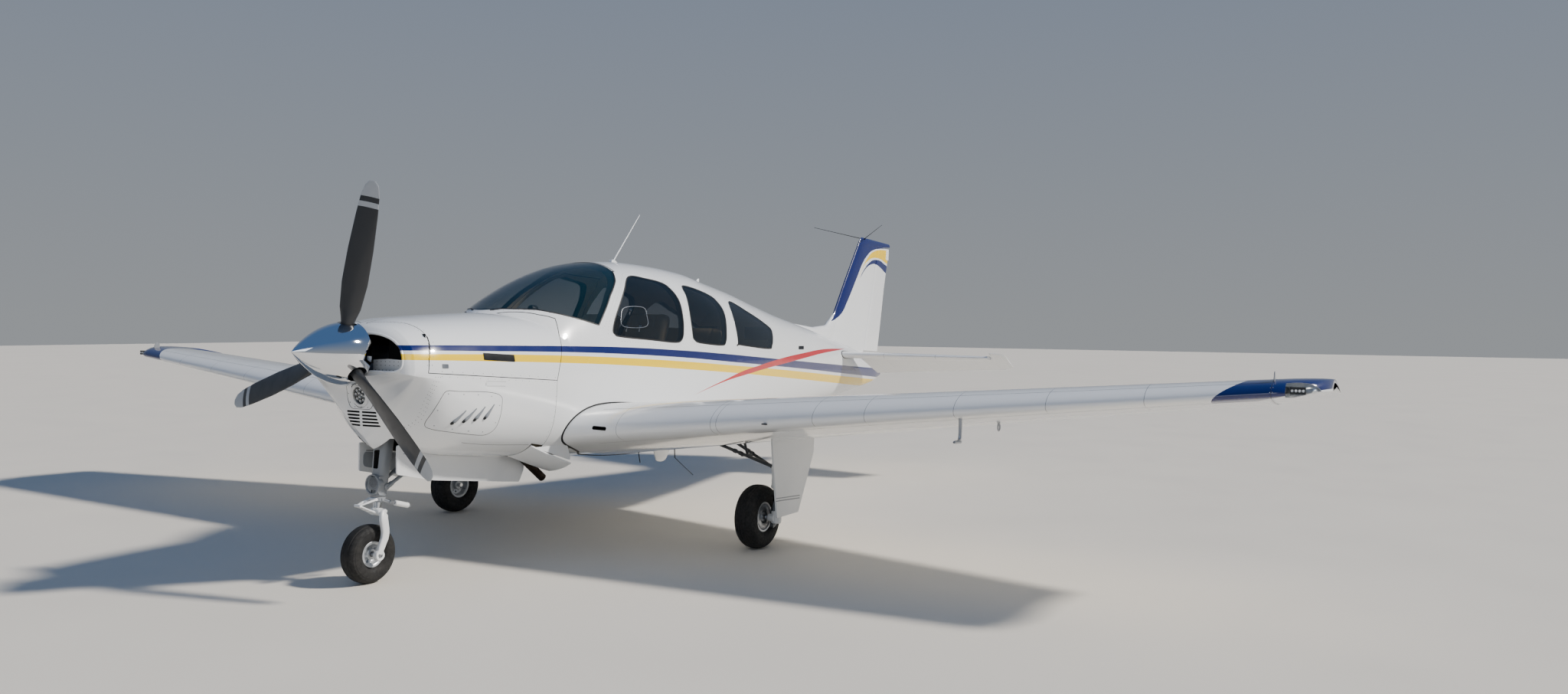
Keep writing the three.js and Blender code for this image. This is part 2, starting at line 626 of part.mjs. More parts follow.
function buildWing(name, side) {
  const stations = [WING.rootY, WING.rootStation, 1500, 2640, 3700, WING.tipJointY - FIT_GAP];
  const whole = loft(stations.map((y) => wingRing(y, side)));
  const clearOfHull = hull(CABIN_ROWS, CABIN_CUTS, -2).add(hull(COWL_ROWS, COWL_CUTS, -2));
  const pitot = rod([2030, side * 3200, -225], [2030, side * 3200, -400], 11, 11, 8)
    .add(rod([1935, side * 3200, -398], [2040, side * 3200, -398], 11, 11, 8));
  const tieDown = rod([2420, side * 3300, -240], [2420, side * 3300, -345], 9, 9, 8);
  const fittings = side < 0 ? [pitot, tieDown] : [tieDown];
  const wing = cutBy(joined([whole, ...fittings]), [clearOfHull, coveTool(FLAP, side), coveTool(AILERON, side)]);
  wings[name] = wing;
  place(`wing_${name}`, wing, PAINT.white);
  const tipStations = [0, 0.35, 0.65, 0.85, 0.96, 1].map(
    (share) => WING.tipJointY + share * (WING.outerY - WING.tipJointY),
  );
  place(`wing_tip_${name}`, loft(tipStations.map((y) => tipRing(y, side))), PAINT.blue);
  place(`flap_${name}`, loft([FLAP.inner, FLAP.outer].map((y) => surfaceRing(y, side, FLAP.hinge))), PAINT.white);
  const ends = [AILERON.inner, AILERON.outer];
  place(`aileron_${name}`, loft(ends.map((y) => surfaceRing(y, side, AILERON.hinge))), PAINT.white);
}

// Tail surfaces: a symmetrical section, thickest ahead of the hinge.

function buildTail() {
  eachSide((name, side) => {
    const ring = (y) => stabilizerRing(y, side, false);
    const fixed = loft([STABILIZER.inner, STABILIZER.outer].map(ring));
    const clearOfHull = hull(CABIN_ROWS, CABIN_CUTS.slice(8), -2);
    place(`stabilizer_${name}`, fixed.subtract(clearOfHull), PAINT.white);
  });
  place("elevators", elevatorSolid(), PAINT.white, elevatorGroup);
  const fixedRings = FIN.rows.map((row) => finRing(row, false));
  const cap = finRing([FIN.top, 7330, 7775, 8092, 12], false);
  const clearOfHull = hull(CABIN_ROWS, CABIN_CUTS.slice(8), -FIT_GAP);
  const dorsal = loft([
    [5350, 480, 6, 12], [5800, 452, 22, 45], [6200, 436, 34, 90], [6500, 470, 38, 190], [6700, 620, 30, 330],
  ].map(([x, top, half, depth]) => dorsalRing(x, top, half, depth)));
  const aerials = Object.values(SIDES).map((side) => rod([7380, 0, 1488], [6960, side * 415, 1580], 4, 2, 6));
  const fin = joined([loft([...fixedRings, cap]), dorsal, ...aerials]).subtract(clearOfHull);
  place("fin", fin, PAINT.white);
  const rudderRows = [RUDDER_BOTTOM, 524, 974, 1340, RUDDER_TOP].map((z) => finRowAt(z));
  place("rudder", loft(rudderRows.map((row) => finRing(row, true))), PAINT.white);
}

// The dorsal fin's section at x: a narrow arch down to the fuselage's spine.
function dorsalRing(x, top, half, depth) {
  const steps = 8;
  const arch = Array.from({ length: steps + 1 }, (_, i) => {
    const angle = (Math.PI * i) / steps;
    return new THREE.Vector3(x, -half * Math.cos(angle), top - depth * 0.4 * (1 - Math.sin(angle)));
  });
  return [...arch, new THREE.Vector3(x, half, top - depth), new THREE.Vector3(x, -half, top - depth)];
}

// Half thickness of the fixed surface along its chord, as a share of that at the hinge.
const FORE = [0, 0.04, 0.15, 0.35, 0.65, 1];
function foreHalf(u, hingeHalf) {
  const rounded = Math.min(1, 1.52 * Math.sqrt(u));
  const crest = u > 0.35 ? 1.25 - 0.25 * ((u - 0.35) / 0.65) ** 2 : 1;
  return hingeHalf * rounded * crest;
}

function bladeOutline(leading, hinge, trailing, hingeHalf, moving) {
  if (!moving) {
    const end = hinge - hingeHalf - MOVING_GAP;
    const along = (u) => leading + (end - leading) * u;
    const side = (sign) => FORE.map((u) => [along(u), sign * foreHalf(u, hingeHalf)]);
    return [...side(1).reverse(), ...side(-1).slice(1)];
  }
  const nose = Array.from({ length: NOSE_STEPS + 1 }, (_, i) => {
    const angle = Math.PI / 2 + (Math.PI * i) / NOSE_STEPS;
    return [hinge + hingeHalf * Math.cos(angle), hingeHalf * Math.sin(angle)];
  });
  return [[trailing, 1.5], ...nose, [trailing, -1.5]];
}

function stabilizerChord(y) {
  const share = (y - STABILIZER.inner) / (STABILIZER.outer - STABILIZER.inner);
  const mix = (a, b) => a + (b - a) * share;
  const leading = mix(STABILIZER.rootLe, STABILIZER.tipLe);
  const tail = mix(STABILIZER.rootTail, STABILIZER.tipTail);
  const hingeHalf = (STABILIZER.thick / 2) * 0.8 * (STABILIZER.hinge - leading + tail);
  return { leading, tail, hingeHalf };
}

function stabilizerRing(y, side, moving) {
  const { leading, tail, hingeHalf } = stabilizerChord(y);
  const outline = moving
    ? bladeOutline(0, 0, tail, hingeHalf, true)
    : bladeOutline(leading, STABILIZER.hinge, 0, hingeHalf, false);
  return outline.map(([x, z]) => new THREE.Vector3(x, side * y, z + (moving ? 0 : STABILIZER.z)));
}

// The elevators turn about their own y axis, which lies on the hinge line.
const elevatorGroup = new THREE.Group();
elevatorGroup.position.set(STABILIZER.hinge, 0, STABILIZER.z);
elevatorGroup.rotation.y = ELEVATOR_DROOP;
airframe.add(elevatorGroup);

const TORQUE_TUBE = 20;

function elevatorSolid() {
  const halves = Object.values(SIDES).map((side) => {
    const main = loft([ELEVATOR_INNER, STABILIZER.outer + 10].map((y) => stabilizerRing(y, side, true)));
    const horn = loft([STABILIZER.outer + 8, STABILIZER.outer + 90, STABILIZER.hornOuter].map((y, i) => {
      const { tail } = stabilizerChord(y);
      const [nose, half, back] = [[-128, 13, tail], [-118, 11, tail - 12], [-60, 5, tail - 60]][i];
      const outline = [[back, 1.5], [nose * 0.3, half], [nose * 0.85, half * 0.7], [nose, 0]];
      const under = outline.slice(0, -1).reverse().map(([x, z]) => [x, -z]);
      return [...outline, ...under].map(([x, z]) => new THREE.Vector3(x, side * y, z));
    }));
    return main.add(horn);
  });
  const tube = rod([0, -ELEVATOR_INNER - 30, 0], [0, ELEVATOR_INNER + 30, 0], TORQUE_TUBE);
  return joined([...halves, tube]);
}

function finRowAt(z) {
  const rows = FIN.rows;
  let i = 0;
  while (i < rows.length - 2 && z > rows[i + 1][0]) i++;
  const share = (z - rows[i][0]) / (rows[i + 1][0] - rows[i][0]);
  return rows[i].map((value, column) => value + (rows[i + 1][column] - value) * share);
}

function finRing([z, leading, hinge, trailing, half], moving) {
  const outline = bladeOutline(leading, hinge, trailing, half, moving);
  return outline.map(([x, y]) => new THREE.Vector3(x, y, z));
}

// Propeller, built about the y axis of its own group and turned to face forward.
function buildPropeller() {
  const group = new THREE.Group();
  group.rotation.z = Math.PI / 2; // the group's +y now points to -x, forward
  airframe.add(group);
  const back = -PROP.spinnerBack;
  const ogive = (share, radius) => [radius * (1 - (1 - share) ** 2), back * share];
  const shares = [0, 0.05, 0.18, 0.4, 0.7, 1];
  const outer = shares.map((share) => ogive(share, PROP.spinnerRadius));
  const inner = shares.slice(3).map((share) => ogive(share, PROP.spinnerRadius - 5)).reverse();
  const shell = turned([...outer, ...inner, [0, back * 0.12]], [0, 0, 0], 24);
  const shankHole = (index) => {
    const angle = bladeAngle(index);
    return rod([0, -PROP.hub, 0], [400 * Math.cos(angle), -PROP.hub, 400 * Math.sin(angle)], 60, 60, 12);
  };
  const numbers = Array.from({ length: PROP.blades }, (_, i) => i);
  place("spinner", cutBy(shell, numbers.map(shankHole)), PAINT.chrome, group);
  const plateRadius = PROP.spinnerRadius - 7;
  const plate = turned([[0, back + 2], [plateRadius, back + 2], [plateRadius, back + 8], [0, back + 8]], [0, 0, 0], 24);
  const core = rod([0, back + 4, 0], [0, -PROP.hub + 75, 0], 78, 70, 20);
  const sockets = numbers.map((i) => {
    const angle = bladeAngle(i);
    return rod([0, -PROP.hub, 0], [140 * Math.cos(angle), -PROP.hub, 140 * Math.sin(angle)], 50, 50, 12);
  });
  place("propeller_hub", joined([plate, core, ...sockets]), PAINT.steel, group);
  numbers.forEach((i) => place(`blade_${i + 1}`, bladeSolid(bladeAngle(i)), PAINT.blade, group));
}

// In the propeller's group z is up and x points to starboard.
const bladeAngle = (index) => Math.PI / 2 - PROP.phase - (2 * Math.PI * index) / PROP.blades;

// r, half chord, half thickness, blade angle in degrees
const BLADE_ROWS = [
  [141, 36, 36, 30],
  [195, 40, 32, 32],
  [270, 62, 22, 32],
  [420, 78, 15, 28],
  [620, 80, 11, 22],
  [820, 72, 8, 18],
  [940, 62, 6, 16],
  [1000, 44, 5, 15],
  [1022, 20, 3, 15],
];

function bladeSolid(angle) {
  const out = new THREE.Vector3(Math.cos(angle), 0, Math.sin(angle));
  const turning = new THREE.Vector3(Math.sin(angle), 0, -Math.cos(angle));
  const forward = new THREE.Vector3(0, 1, 0);
  const steps = 12;
  const rings = BLADE_ROWS.map(([r, halfChord, halfThick, pitch]) => {
    const lead = turning.clone().multiplyScalar(Math.cos(pitch * DEG)).addScaledVector(forward, Math.sin(pitch * DEG));
    const normal = forward.clone().multiplyScalar(Math.cos(pitch * DEG)).addScaledVector(turning, -Math.sin(pitch * DEG));
    const centre = out.clone().multiplyScalar(r).addScaledVector(forward, -PROP.hub);
    return Array.from({ length: steps }, (_, i) => {
      const around = (2 * Math.PI * i) / steps;
      return centre.clone()
        .addScaledVector(lead, halfChord * Math.cos(around))
        .addScaledVector(normal, halfThick * Math.sin(around));
    });
  });
  return loft(rings);
}

// Wheels: the tyre's section is a flattened round, carried on a dished rim. One facet lies flat on the ground.
const WHEEL_SIDES = 24;

function buildWheel(name, wheel, y, z, group) {
  const { x, width, rim } = wheel;
  const halfFacet = Math.PI / WHEEL_SIDES;
  const radius = wheel.radius / Math.cos(halfFacet);
  const half = width / 2;
  const tyre = [
    [rim + 4, -half * 0.62], [(radius + rim) / 2, -half], [radius - 20, -half * 0.84], [radius, -half * 0.35],
    [radius, half * 0.35], [radius - 20, half * 0.84], [(radius + rim) / 2, half], [rim + 4, half * 0.62],
    [rim + 4, -half * 0.62],
  ];
  const bore = 17;
  const disc = [
    [bore, -half * 0.5], [42, -half * 0.5], [rim - 16, -half * 0.2], [rim - 12, -half * 0.66],
    [rim + 3, -half * 0.66], [rim + 3, half * 0.66], [rim - 12, half * 0.66], [rim - 16, half * 0.2],
    [42, half * 0.5], [bore, half * 0.5], [bore, -half * 0.5],
  ];
  place(`tyre_${name}`, turned(tyre, [x, y, z], WHEEL_SIDES, halfFacet - NOSE_UP), PAINT.tyre, group);
  place(`wheel_${name}`, turned(disc, [x, y, z], WHEEL_SIDES - 4), PAINT.wheel, group);
}

const MAIN_LEG_Y = 1600;
const LEG_DOOR = [[2506, -420], [3135, -420], [3135, -600], [2925, -1020], [2622, -1035]];

function buildMainGear(name, side) {
  const y = side * MAIN_LEG_Y;
  const legX = MAIN.x + 20;
  const cylinder = rod([legX, y, -440], [legX, y, -850], 44, 40, 14);
  const piston = rod([legX, y, -840], [legX, y, MAIN_Z], 27, 27, 14);
  const knuckle = rod([MAIN.x + 8, y + side * 34, MAIN_Z], [MAIN.x + 8, y - side * 40, MAIN_Z], 38, 38, 16);
  const axle = rod([MAIN.x, y - side * 36, MAIN_Z], [MAIN.x, side * (MAIN.y - 90), MAIN_Z], 16.5, 16.5, 12);
  const links = [
    rod([legX, y, -800], [legX + 120, y, -890], 13, 11, 8),
    rod([legX + 120, y, -890], [legX, y, -985], 11, 13, 8),
  ];
  const wingSkin = wings[name].translate([0, 0, -FIT_GAP]).add(wings[name]);
  const braceTop = [2600, side * 1080, -520];
  const braces = [
    rod([legX, side * (MAIN_LEG_Y - 20), -700], braceTop, 15, 15, 10),
    rod([legX + 10, side * (MAIN_LEG_Y - 20), -715], [2900, side * 1080, -520], 13, 13, 10),
  ];
  const leg = joined([cylinder, piston, knuckle, axle, ...links, ...braces]);
  place(`main_leg_${name}`, leg.subtract(wingSkin), PAINT.wheel);
  const [low, high] = mirroredY(side, MAIN_LEG_Y + 62, MAIN_LEG_Y + 74);
  place(`leg_door_${name}`, sidePrism(LEG_DOOR, low, high).subtract(wingSkin), PAINT.white);
  buildWheel(`main_${name}`, MAIN, side * MAIN.y, MAIN_Z, airframe);
}

// Along the nose strut, from its top, the point at a height.
function strutAt(z) {
  const { top, low } = NOSE_STRUT;
  return [top.x + ((low.x - top.x) * (top.z - z)) / (top.z - low.z), 0, z];
}

const NOSE_DOOR = {
  outline: [[630, -540], [1742, -600], [1740, -753], [1699, -834], [932, -770], [636, -716]],
  inner: 158, thick: 10,
};

function buildNoseGear() {
  const cylinder = rod(strutAt(-470), strutAt(-850), 46, 42, 18);
  const lampBox = box([600, -56, -850], [650, 56, -735]);
  const lamp = rod([585, 0, -792], [610, 0, -792], 62, 56, 20);
  const braces = [-1, 1].map((side) => rod([680, side * 30, -800], [1040, side * 70, -575], 14, 14, 10));
  place("nose_leg", joined([cylinder, lampBox, lamp, ...braces]), PAINT.wheel);
  const forkTop = strutAt(-958);
  const axleY = -92;
  const collar = rod(strutAt(-862), strutAt(-888), 46, 46, 16);
  const piston = rod(strutAt(-880), strutAt(-965), 25, 25, 14);
  const crown = rod([forkTop[0], 20, -958], [forkTop[0] + 8, -85, -962], 29, 26, 12);
  const route = [[forkTop[0] - 8, axleY, -955], [632, axleY, -1050], [617, axleY, -1125], [NOSE.x, axleY, NOSE_Z]];
  const leg = pipe(route, 19, 7, 3);
  const axle = rod([NOSE.x, axleY - 16, NOSE_Z], [NOSE.x, 70, NOSE_Z], 16.5, 16.5, 12);
  const links = [
    rod([strutAt(-870)[0] - 40, 0, -872], [498, 0, -905], 14, 10, 8),
    rod([498, 0, -905], [strutAt(-958)[0] - 15, 0, -958], 10, 14, 8),
  ];
  const damper = rod([690, -60, -892], [850, -60, -930], 17, 17, 10);
  const damperArm = rod([655, -30, -876], [715, -62, -894], 12, 12, 8);
  place("nose_fork", joined([collar, piston, crown, leg, axle, damper, damperArm, ...links]), PAINT.white);
  buildWheel("nose", NOSE, 0, NOSE_Z, airframe);
  eachSide((name, side) => {
    const [low, high] = mirroredY(side, NOSE_DOOR.inner, NOSE_DOOR.inner + NOSE_DOOR.thick);
    const door = sidePrism(NOSE_DOOR.outline, low, high).subtract(hull(COWL_ROWS, COWL_CUTS, -FIT_GAP));
    place(`nose_door_${name}`, door, PAINT.white);
  });
}

function buildFittings() {
  eachSide((name, side) => {
    const [start, end] = [EXHAUST.start, EXHAUST.end].map(([x, z]) => [x, side * EXHAUST.y, z]);
    place(`exhaust_${name}`, rod(start, end, EXHAUST.radius, EXHAUST.radius, 12), PAINT.dark);
    buildCowlFlap(name, side);
  });
}

// The flap's piece of skin is moved to its hinge line, and its group turned open about that line.
function buildCowlFlap(name, side) {
  const { hingeX, tipX, inner, outer, innerZ, outerZ, thick, open } = COWL_FLAP;
  const [low, high] = mirroredY(side, inner, outer);
  const skin = wholeHull.subtract(insetHull(thick));
  const panel = skin.intersect(box([hingeX, low, -900], [tipX, high, -300]));
  const hinge = new THREE.Vector3(hingeX, (side * (inner + outer)) / 2, (innerZ + outerZ) / 2);
  const along = new THREE.Vector3(0, outer - inner, side * (outerZ - innerZ)).normalize();
  const group = new THREE.Group();
  group.position.copy(hinge);
  group.quaternion.setFromAxisAngle(along, open);
  airframe.add(group);
  place(`cowl_flap_${name}`, panel.translate(hinge.negate().toArray()), PAINT.white, group);
}

// Cabin furniture

function seatSolid({ x, y, width, seatZ, backTop, depth }) {
  const outline = [
    [x, FLOOR_Z + 30], [x + depth, FLOOR_Z + 30], [x + depth + 60, seatZ + 60], [x + depth + 190, backTop],
    [x + depth + 90, backTop + 10], [x + depth - 70, seatZ + 30], [x + 40, seatZ + 20], [x, seatZ - 30],
  ];
  return sidePrism(outline, y - width / 2, y + width / 2);
}

function buildCabinFurniture() {
  const front = { x: 2480, width: 410, seatZ: -170, backTop: 400, depth: 440 };
  eachSide((name, side) => place(`front_seat_${name}`, seatSolid({ ...front, y: side * 238 }), PAINT.leather));
  const rear = { x: 3330, y: 0, width: 860, seatZ: -190, backTop: 330, depth: 400 };
  place("rear_bench", seatSolid(rear), PAINT.leather);
  const coaming = [[1720, 235], [2010, 255], [2030, 200], [2010, -60], [1960, -60], [1960, 190], [1720, 190]];
  const yoke = joined([
    rod([1990, 0, 40], [2190, 0, 60], 20, 20, 12),
    rod([2180, 20, 60], [2180, -230, 60], 14, 14, 10),
    rod([2180, -230, 60], [2240, -230, 60], 14, 14, 10),
    rod([2240, -330, 110], [2240, -330, 10], 12, 12, 10),
    rod([2240, -130, 110], [2240, -130, 10], 12, 12, 10),
    rod([2240, -330, 40], [2240, -130, 40], 12, 12, 10),
    rod([2240, -230, 62], [2240, -230, 38], 14, 14, 10),
  ]);
  const clearOfWall = hull(CABIN_ROWS, CABIN_CUTS.slice(0, 10), CABIN_WALL + 6);
  place("instrument_panel", sidePrism(coaming, -440, 440).intersect(clearOfWall).add(yoke), PAINT.panel);
}

buildCowling();
buildEngine();
buildCabin();
buildTailCone();
eachSide(buildWing);
buildTail();
buildPropeller();
eachSide(buildMainGear);
buildNoseGear();
buildFittings();
buildCabinFurniture();

// The pivot of the level airframe comes to rest on the ground.
const offset = new THREE.Vector3(PIVOT.x, 0, PIVOT.z).applyAxisAngle(new THREE.Vector3(0, 1, 0), NOSE_UP);
const PIVOT_GROUND_X = 2667; // measured along the ground from the spinner's tip
airframe.rotation.y = NOSE_UP;
airframe.position.set(PIVOT_GROUND_X - HALF_LENGTH - offset.x, 0, -offset.z);

const aircraft = new THREE.Group();
aircraft.add(airframe);
export default aircraft;
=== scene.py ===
"""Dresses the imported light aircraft: skins, livery, glazing, gear, cabin, stage and camera.

Shapes are worked out in the level frame, in metres: x runs aft from the spinner's tip, y to starboard
and z up from the propeller's axis. STANCE then turns them nose up onto the wheels, into the row frame.
"""
import logging
import math
from collections.abc import Callable, Iterable, Sequence
from dataclasses import dataclass
from enum import Enum
from functools import lru_cache

import bmesh
import bpy
import numpy as np
from mathutils import Matrix, Vector


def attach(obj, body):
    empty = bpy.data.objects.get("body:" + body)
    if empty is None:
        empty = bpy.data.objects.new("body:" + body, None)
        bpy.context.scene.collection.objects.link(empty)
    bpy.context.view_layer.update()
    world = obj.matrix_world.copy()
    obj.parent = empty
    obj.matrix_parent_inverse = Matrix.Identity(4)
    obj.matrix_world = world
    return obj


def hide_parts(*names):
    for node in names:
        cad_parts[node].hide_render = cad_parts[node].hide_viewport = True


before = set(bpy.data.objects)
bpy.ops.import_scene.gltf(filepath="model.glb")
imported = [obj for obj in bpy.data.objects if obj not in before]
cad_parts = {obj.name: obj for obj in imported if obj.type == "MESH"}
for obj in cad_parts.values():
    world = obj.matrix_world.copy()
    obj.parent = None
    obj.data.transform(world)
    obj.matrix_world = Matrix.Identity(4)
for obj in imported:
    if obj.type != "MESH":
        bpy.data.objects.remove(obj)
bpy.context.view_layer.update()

LOG = logging.getLogger("aircraft")
Array = np.ndarray
Outline = Sequence[Sequence[float]]
FAR = 9.0  # beyond every point of the aircraft, for cutting tools
SIDES = {"port": -1.0, "starboard": 1.0}
SKIN_COSINE = 0.93  # the least cosine between a face's normal and the skin's for a face that lies on the skin


def unit(vectors: Array) -> Array:
    """Vectors divided by their lengths, along the last axis."""
    length = np.linalg.norm(vectors, axis=-1, keepdims=True)
    return vectors / np.maximum(length, 1e-12)


def turns(count: int) -> Array:
    """Angles at an even pitch round one full turn."""
    return np.linspace(0, 2 * math.pi, count, endpoint=False)


def powered(values: Array, power: float | Array) -> Array:
    """Values raised to a power, each with its sign kept."""
    return np.sign(values) * np.abs(values) ** power


def grid(*axes: Array | float) -> Array:
    """Points whose coordinates are the values given for each axis, each stretched to the shape of all."""
    return np.stack(np.broadcast_arrays(*axes), -1)


def oval(count: int, power: float) -> tuple[Array, Array]:
    """Cosines and sines round one turn, drawn towards a box by the power."""
    angle = turns(count)
    return powered(np.cos(angle), power), powered(np.sin(angle), power)


def span_y(side: float, near: float, far: float) -> list[float]:
    """Two distances from the centre line as y on one side, the lower y first."""
    return sorted((side * near, side * far))


def linked(name: str, data: bpy.types.ID) -> bpy.types.Object:
    """A new object of the data, in the scene."""
    thing = bpy.data.objects.new(name, data)
    bpy.context.scene.collection.objects.link(thing)
    return thing


@dataclass(frozen=True)
class Stance:
    """How the level airframe stands: turned nose up about the point that comes down onto the ground."""

    nose_up: float = math.radians(2.8)
    pivot_x: float = 2.732
    pivot_z: float = -1.272
    ground_x: float = -1.403

    def to_row(self, points: Array) -> Array:
        """Level points in the row frame: a turn by nose_up about the y axis through the pivot.

        Args:
            points: level points, shape (..., 3).

        Returns:
            The same points in the row frame.
        """
        cosine, sine = math.cos(self.nose_up), math.sin(self.nose_up)
        x, z = points[..., 0] - self.pivot_x, points[..., 2] - self.pivot_z
        return np.stack([self.ground_x + x * cosine + z * sine, points[..., 1], z * cosine - x * sine], -1)

    def turn(self, vectors: Array) -> Array:
        """Level directions in the row frame."""
        return self.to_row(vectors) - self.to_row(np.zeros(3))


STANCE = Stance()


class Cut(Enum):
    """What a Boolean step does with its tools."""

    MINUS = "DIFFERENCE"
    WITHIN = "INTERSECT"
    PLUS = "UNION"


class Face(Enum):
    """Which finish a face of a solid takes: the skin, the inner face behind it, or the rim between them."""

    OUTER = 0
    INNER = 1
    RIM = 2


def bare_mesh(name: str, points: Array, faces: Iterable[Array]) -> bpy.types.Mesh:
    """A mesh from arrays.

    Args:
        name: the mesh's name.
        points: shape (n, 3).
        faces: arrays of corner indices, each of shape (faces, corners), or one flat ring of corners.

    Returns:
        The mesh, with its edges worked out.
    """
    blocks = [np.atleast_2d(np.asarray(block, np.int32)) for block in faces if len(block)]
    corners = np.concatenate([block.ravel() for block in blocks])
    totals = np.concatenate([np.full(len(block), block.shape[1], np.int32) for block in blocks])
    starts = np.concatenate([[0], np.cumsum(totals)[:-1]]).astype(np.int32)
    mesh = bpy.data.meshes.new(name)
    mesh.vertices.add(len(points))
    mesh.vertices.foreach_set("co", np.asarray(points, np.float32).ravel())
    mesh.loops.add(len(corners))
    mesh.loops.foreach_set("vertex_index", corners)
    mesh.polygons.add(len(totals))
    mesh.polygons.foreach_set("loop_start", starts)
    mesh.polygons.foreach_set("loop_total", totals)
    mesh.update(calc_edges=True)
    return mesh


class Solid:
    """A closed mesh in the level frame that others can cut, and whose faces keep the kind they began with."""

    def __init__(self, mesh: bpy.types.Mesh) -> None:
        """Keeps the mesh as it is."""
        self.mesh = mesh

    @classmethod
    def made(cls, points: Array, faces: Iterable[Array], kind: Face = Face.OUTER) -> "Solid":
        """A solid from arrays, with its faces turned to point outwards.

        Args:
            points: shape (n, 3).
            faces: as for bare_mesh.
            kind: the finish of every face.

        Returns:
            The solid.
        """
        mesh = bare_mesh("solid", points, faces)
        for face in Face:
            mesh.materials.append(bpy.data.materials.get(face.name) or bpy.data.materials.new(face.name))
        mesh.polygons.foreach_set("material_index", np.full(len(mesh.polygons), kind.value, np.int32))
        work = bmesh.new()
        work.from_mesh(mesh)
        if work.calc_volume(signed=True) < 0:
            bmesh.ops.reverse_faces(work, faces=work.faces)
            work.to_mesh(mesh)
        work.free()
        return cls(mesh)

    def cut(self, how: Cut, *tools: "Solid") -> "Solid":
        """This solid after a Boolean step with each tool in turn.

        Args:
            how: minus, within or plus.
            tools: the other solids.

        Returns:
            A new solid.
        """
        base = linked("work", self.mesh.copy())
        held = []
        for tool in tools:
            other = linked("tool", tool.mesh)
            held.append(other)
            step = base.modifiers.new("cut", "BOOLEAN")
            step.operation, step.solver, step.object = how.value, "MANIFOLD", other
        graph = bpy.context.evaluated_depsgraph_get()
        result = bpy.data.meshes.new_from_object(base.evaluated_get(graph), depsgraph=graph)
        for thing in [base, *held]:
            bpy.data.objects.remove(thing)
        return Solid(result)

    def minus(self, *tools: "Solid") -> "Solid":
        """This solid with the tools taken away."""
        return self.cut(Cut.MINUS, *tools)

    def within(self, *tools: "Solid") -> "Solid":
        """What this solid shares with every tool."""
        return self.cut(Cut.WITHIN, *tools)

    def plus(self, *tools: "Solid") -> "Solid":
        """This solid joined with the tools."""
        return self.cut(Cut.PLUS, *tools)

    def move(self, change: Callable[[Array], Array]) -> None:
        """Moves the points by a function of all of them."""
        flat = np.empty(3 * len(self.mesh.vertices), np.float32)
        self.mesh.vertices.foreach_get("co", flat)
        moved = change(flat.reshape(-1, 3).astype(float))
        self.mesh.vertices.foreach_set("co", moved.astype(np.float32).ravel())
        self.mesh.update()

    def largest(self) -> "Solid":
        """The connected part with the most points: every point takes the lowest number it is joined to."""
        mesh = self.mesh
        ends = np.empty(2 * len(mesh.edges), np.int32)
        mesh.edges.foreach_get("vertices", ends)
        ends = ends.reshape(-1, 2)
        label = np.arange(len(mesh.vertices))
        while True:
            low = np.minimum(label[ends[:, 0]], label[ends[:, 1]])
            new = label.copy()
            np.minimum.at(new, ends[:, 0], low)
            np.minimum.at(new, ends[:, 1], low)
            new = new[new]
            if np.array_equal(new, label):
                break
            label = new
        keep = np.argmax(np.bincount(label))
        work = bmesh.new()
        work.from_mesh(mesh)
        gone = [point for point in work.verts if label[point.index] != keep]
        bmesh.ops.delete(work, geom=gone, context="VERTS")
        result = mesh.copy()
        work.to_mesh(result)
        work.free()
        return Solid(result)


def about(points: Array, centre: Array, axis: Array, angle: float) -> Array:
    """Points turned about an axis: p cos a + (k x p) sin a + k (k.p)(1 - cos a), measured from the centre."""
    p = points - centre
    along_axis = np.sum(p * axis, -1, keepdims=True) * axis
    return centre + p * math.cos(angle) + np.cross(axis, p) * math.sin(angle) + along_axis * (1 - math.cos(angle))


def joined(parts: Sequence[tuple[Array, list[Array]]]) -> tuple[Array, list[Array]]:
    """Several points-and-faces pairs as one, with each part's corner numbers moved past the points before it."""
    points, faces, start = [], [], 0
    for own, blocks in parts:
        points.append(own)
        faces.extend(np.atleast_2d(np.asarray(block)) + start for block in blocks)
        start += len(own)
    return np.concatenate(points), faces


def skinned(rings: Array, closed: bool = False) -> tuple[Array, list[Array]]:
    """A surface through rings of points: ring i, point j to the next of each, around every ring.

    Args:
        rings: shape (rings, points, 3).
        closed: whether the last ring joins the first; otherwise each end is shut by a fan to its centre.

    Returns:
        Points and faces.
    """
    rows, count = rings.shape[:2]
    i, j = np.meshgrid(np.arange(rows if closed else rows - 1), np.arange(count), indexing="ij")
    right, up = (j + 1) % count, (i + 1) % rows
    quads = np.stack([i * count + j, i * count + right, up * count + right, up * count + j], -1).reshape(-1, 4)
    points = rings.reshape(-1, 3)
    if closed:
        return points, [quads]
    hubs = np.stack([rings[0].mean(0), rings[-1].mean(0)])
    around, nxt = np.arange(count), (np.arange(count) + 1) % count
    last = (rows - 1) * count
    first_fan = np.stack([np.full(count, rows * count), nxt, around], -1)
    last_fan = np.stack([np.full(count, rows * count + 1), last + around, last + nxt], -1)
    return np.concatenate([points, hubs]), [quads, first_fan, last_fan]


def loft(rings: Array, kind: Face = Face.OUTER, closed: bool = False) -> Solid:
    """The solid of a skinned surface."""
    return Solid.made(*skinned(rings, closed), kind)


def box(low: Sequence[float], high: Sequence[float], kind: Face = Face.RIM) -> Solid:
    """A plain block between two corners, for cutting with or as a core."""
    (a, b, c), (d, e, f) = low, high
    ring = np.array([[a, b, c], [a, e, c], [a, e, f], [a, b, f]])
    return loft(np.stack([ring, ring + [d - a, 0, 0]]), kind)


def slab(start: float, end: float, kind: Face = Face.RIM) -> Solid:
    """All the room between two stations."""
    return box([start, -FAR, -FAR], [end, FAR, FAR], kind)


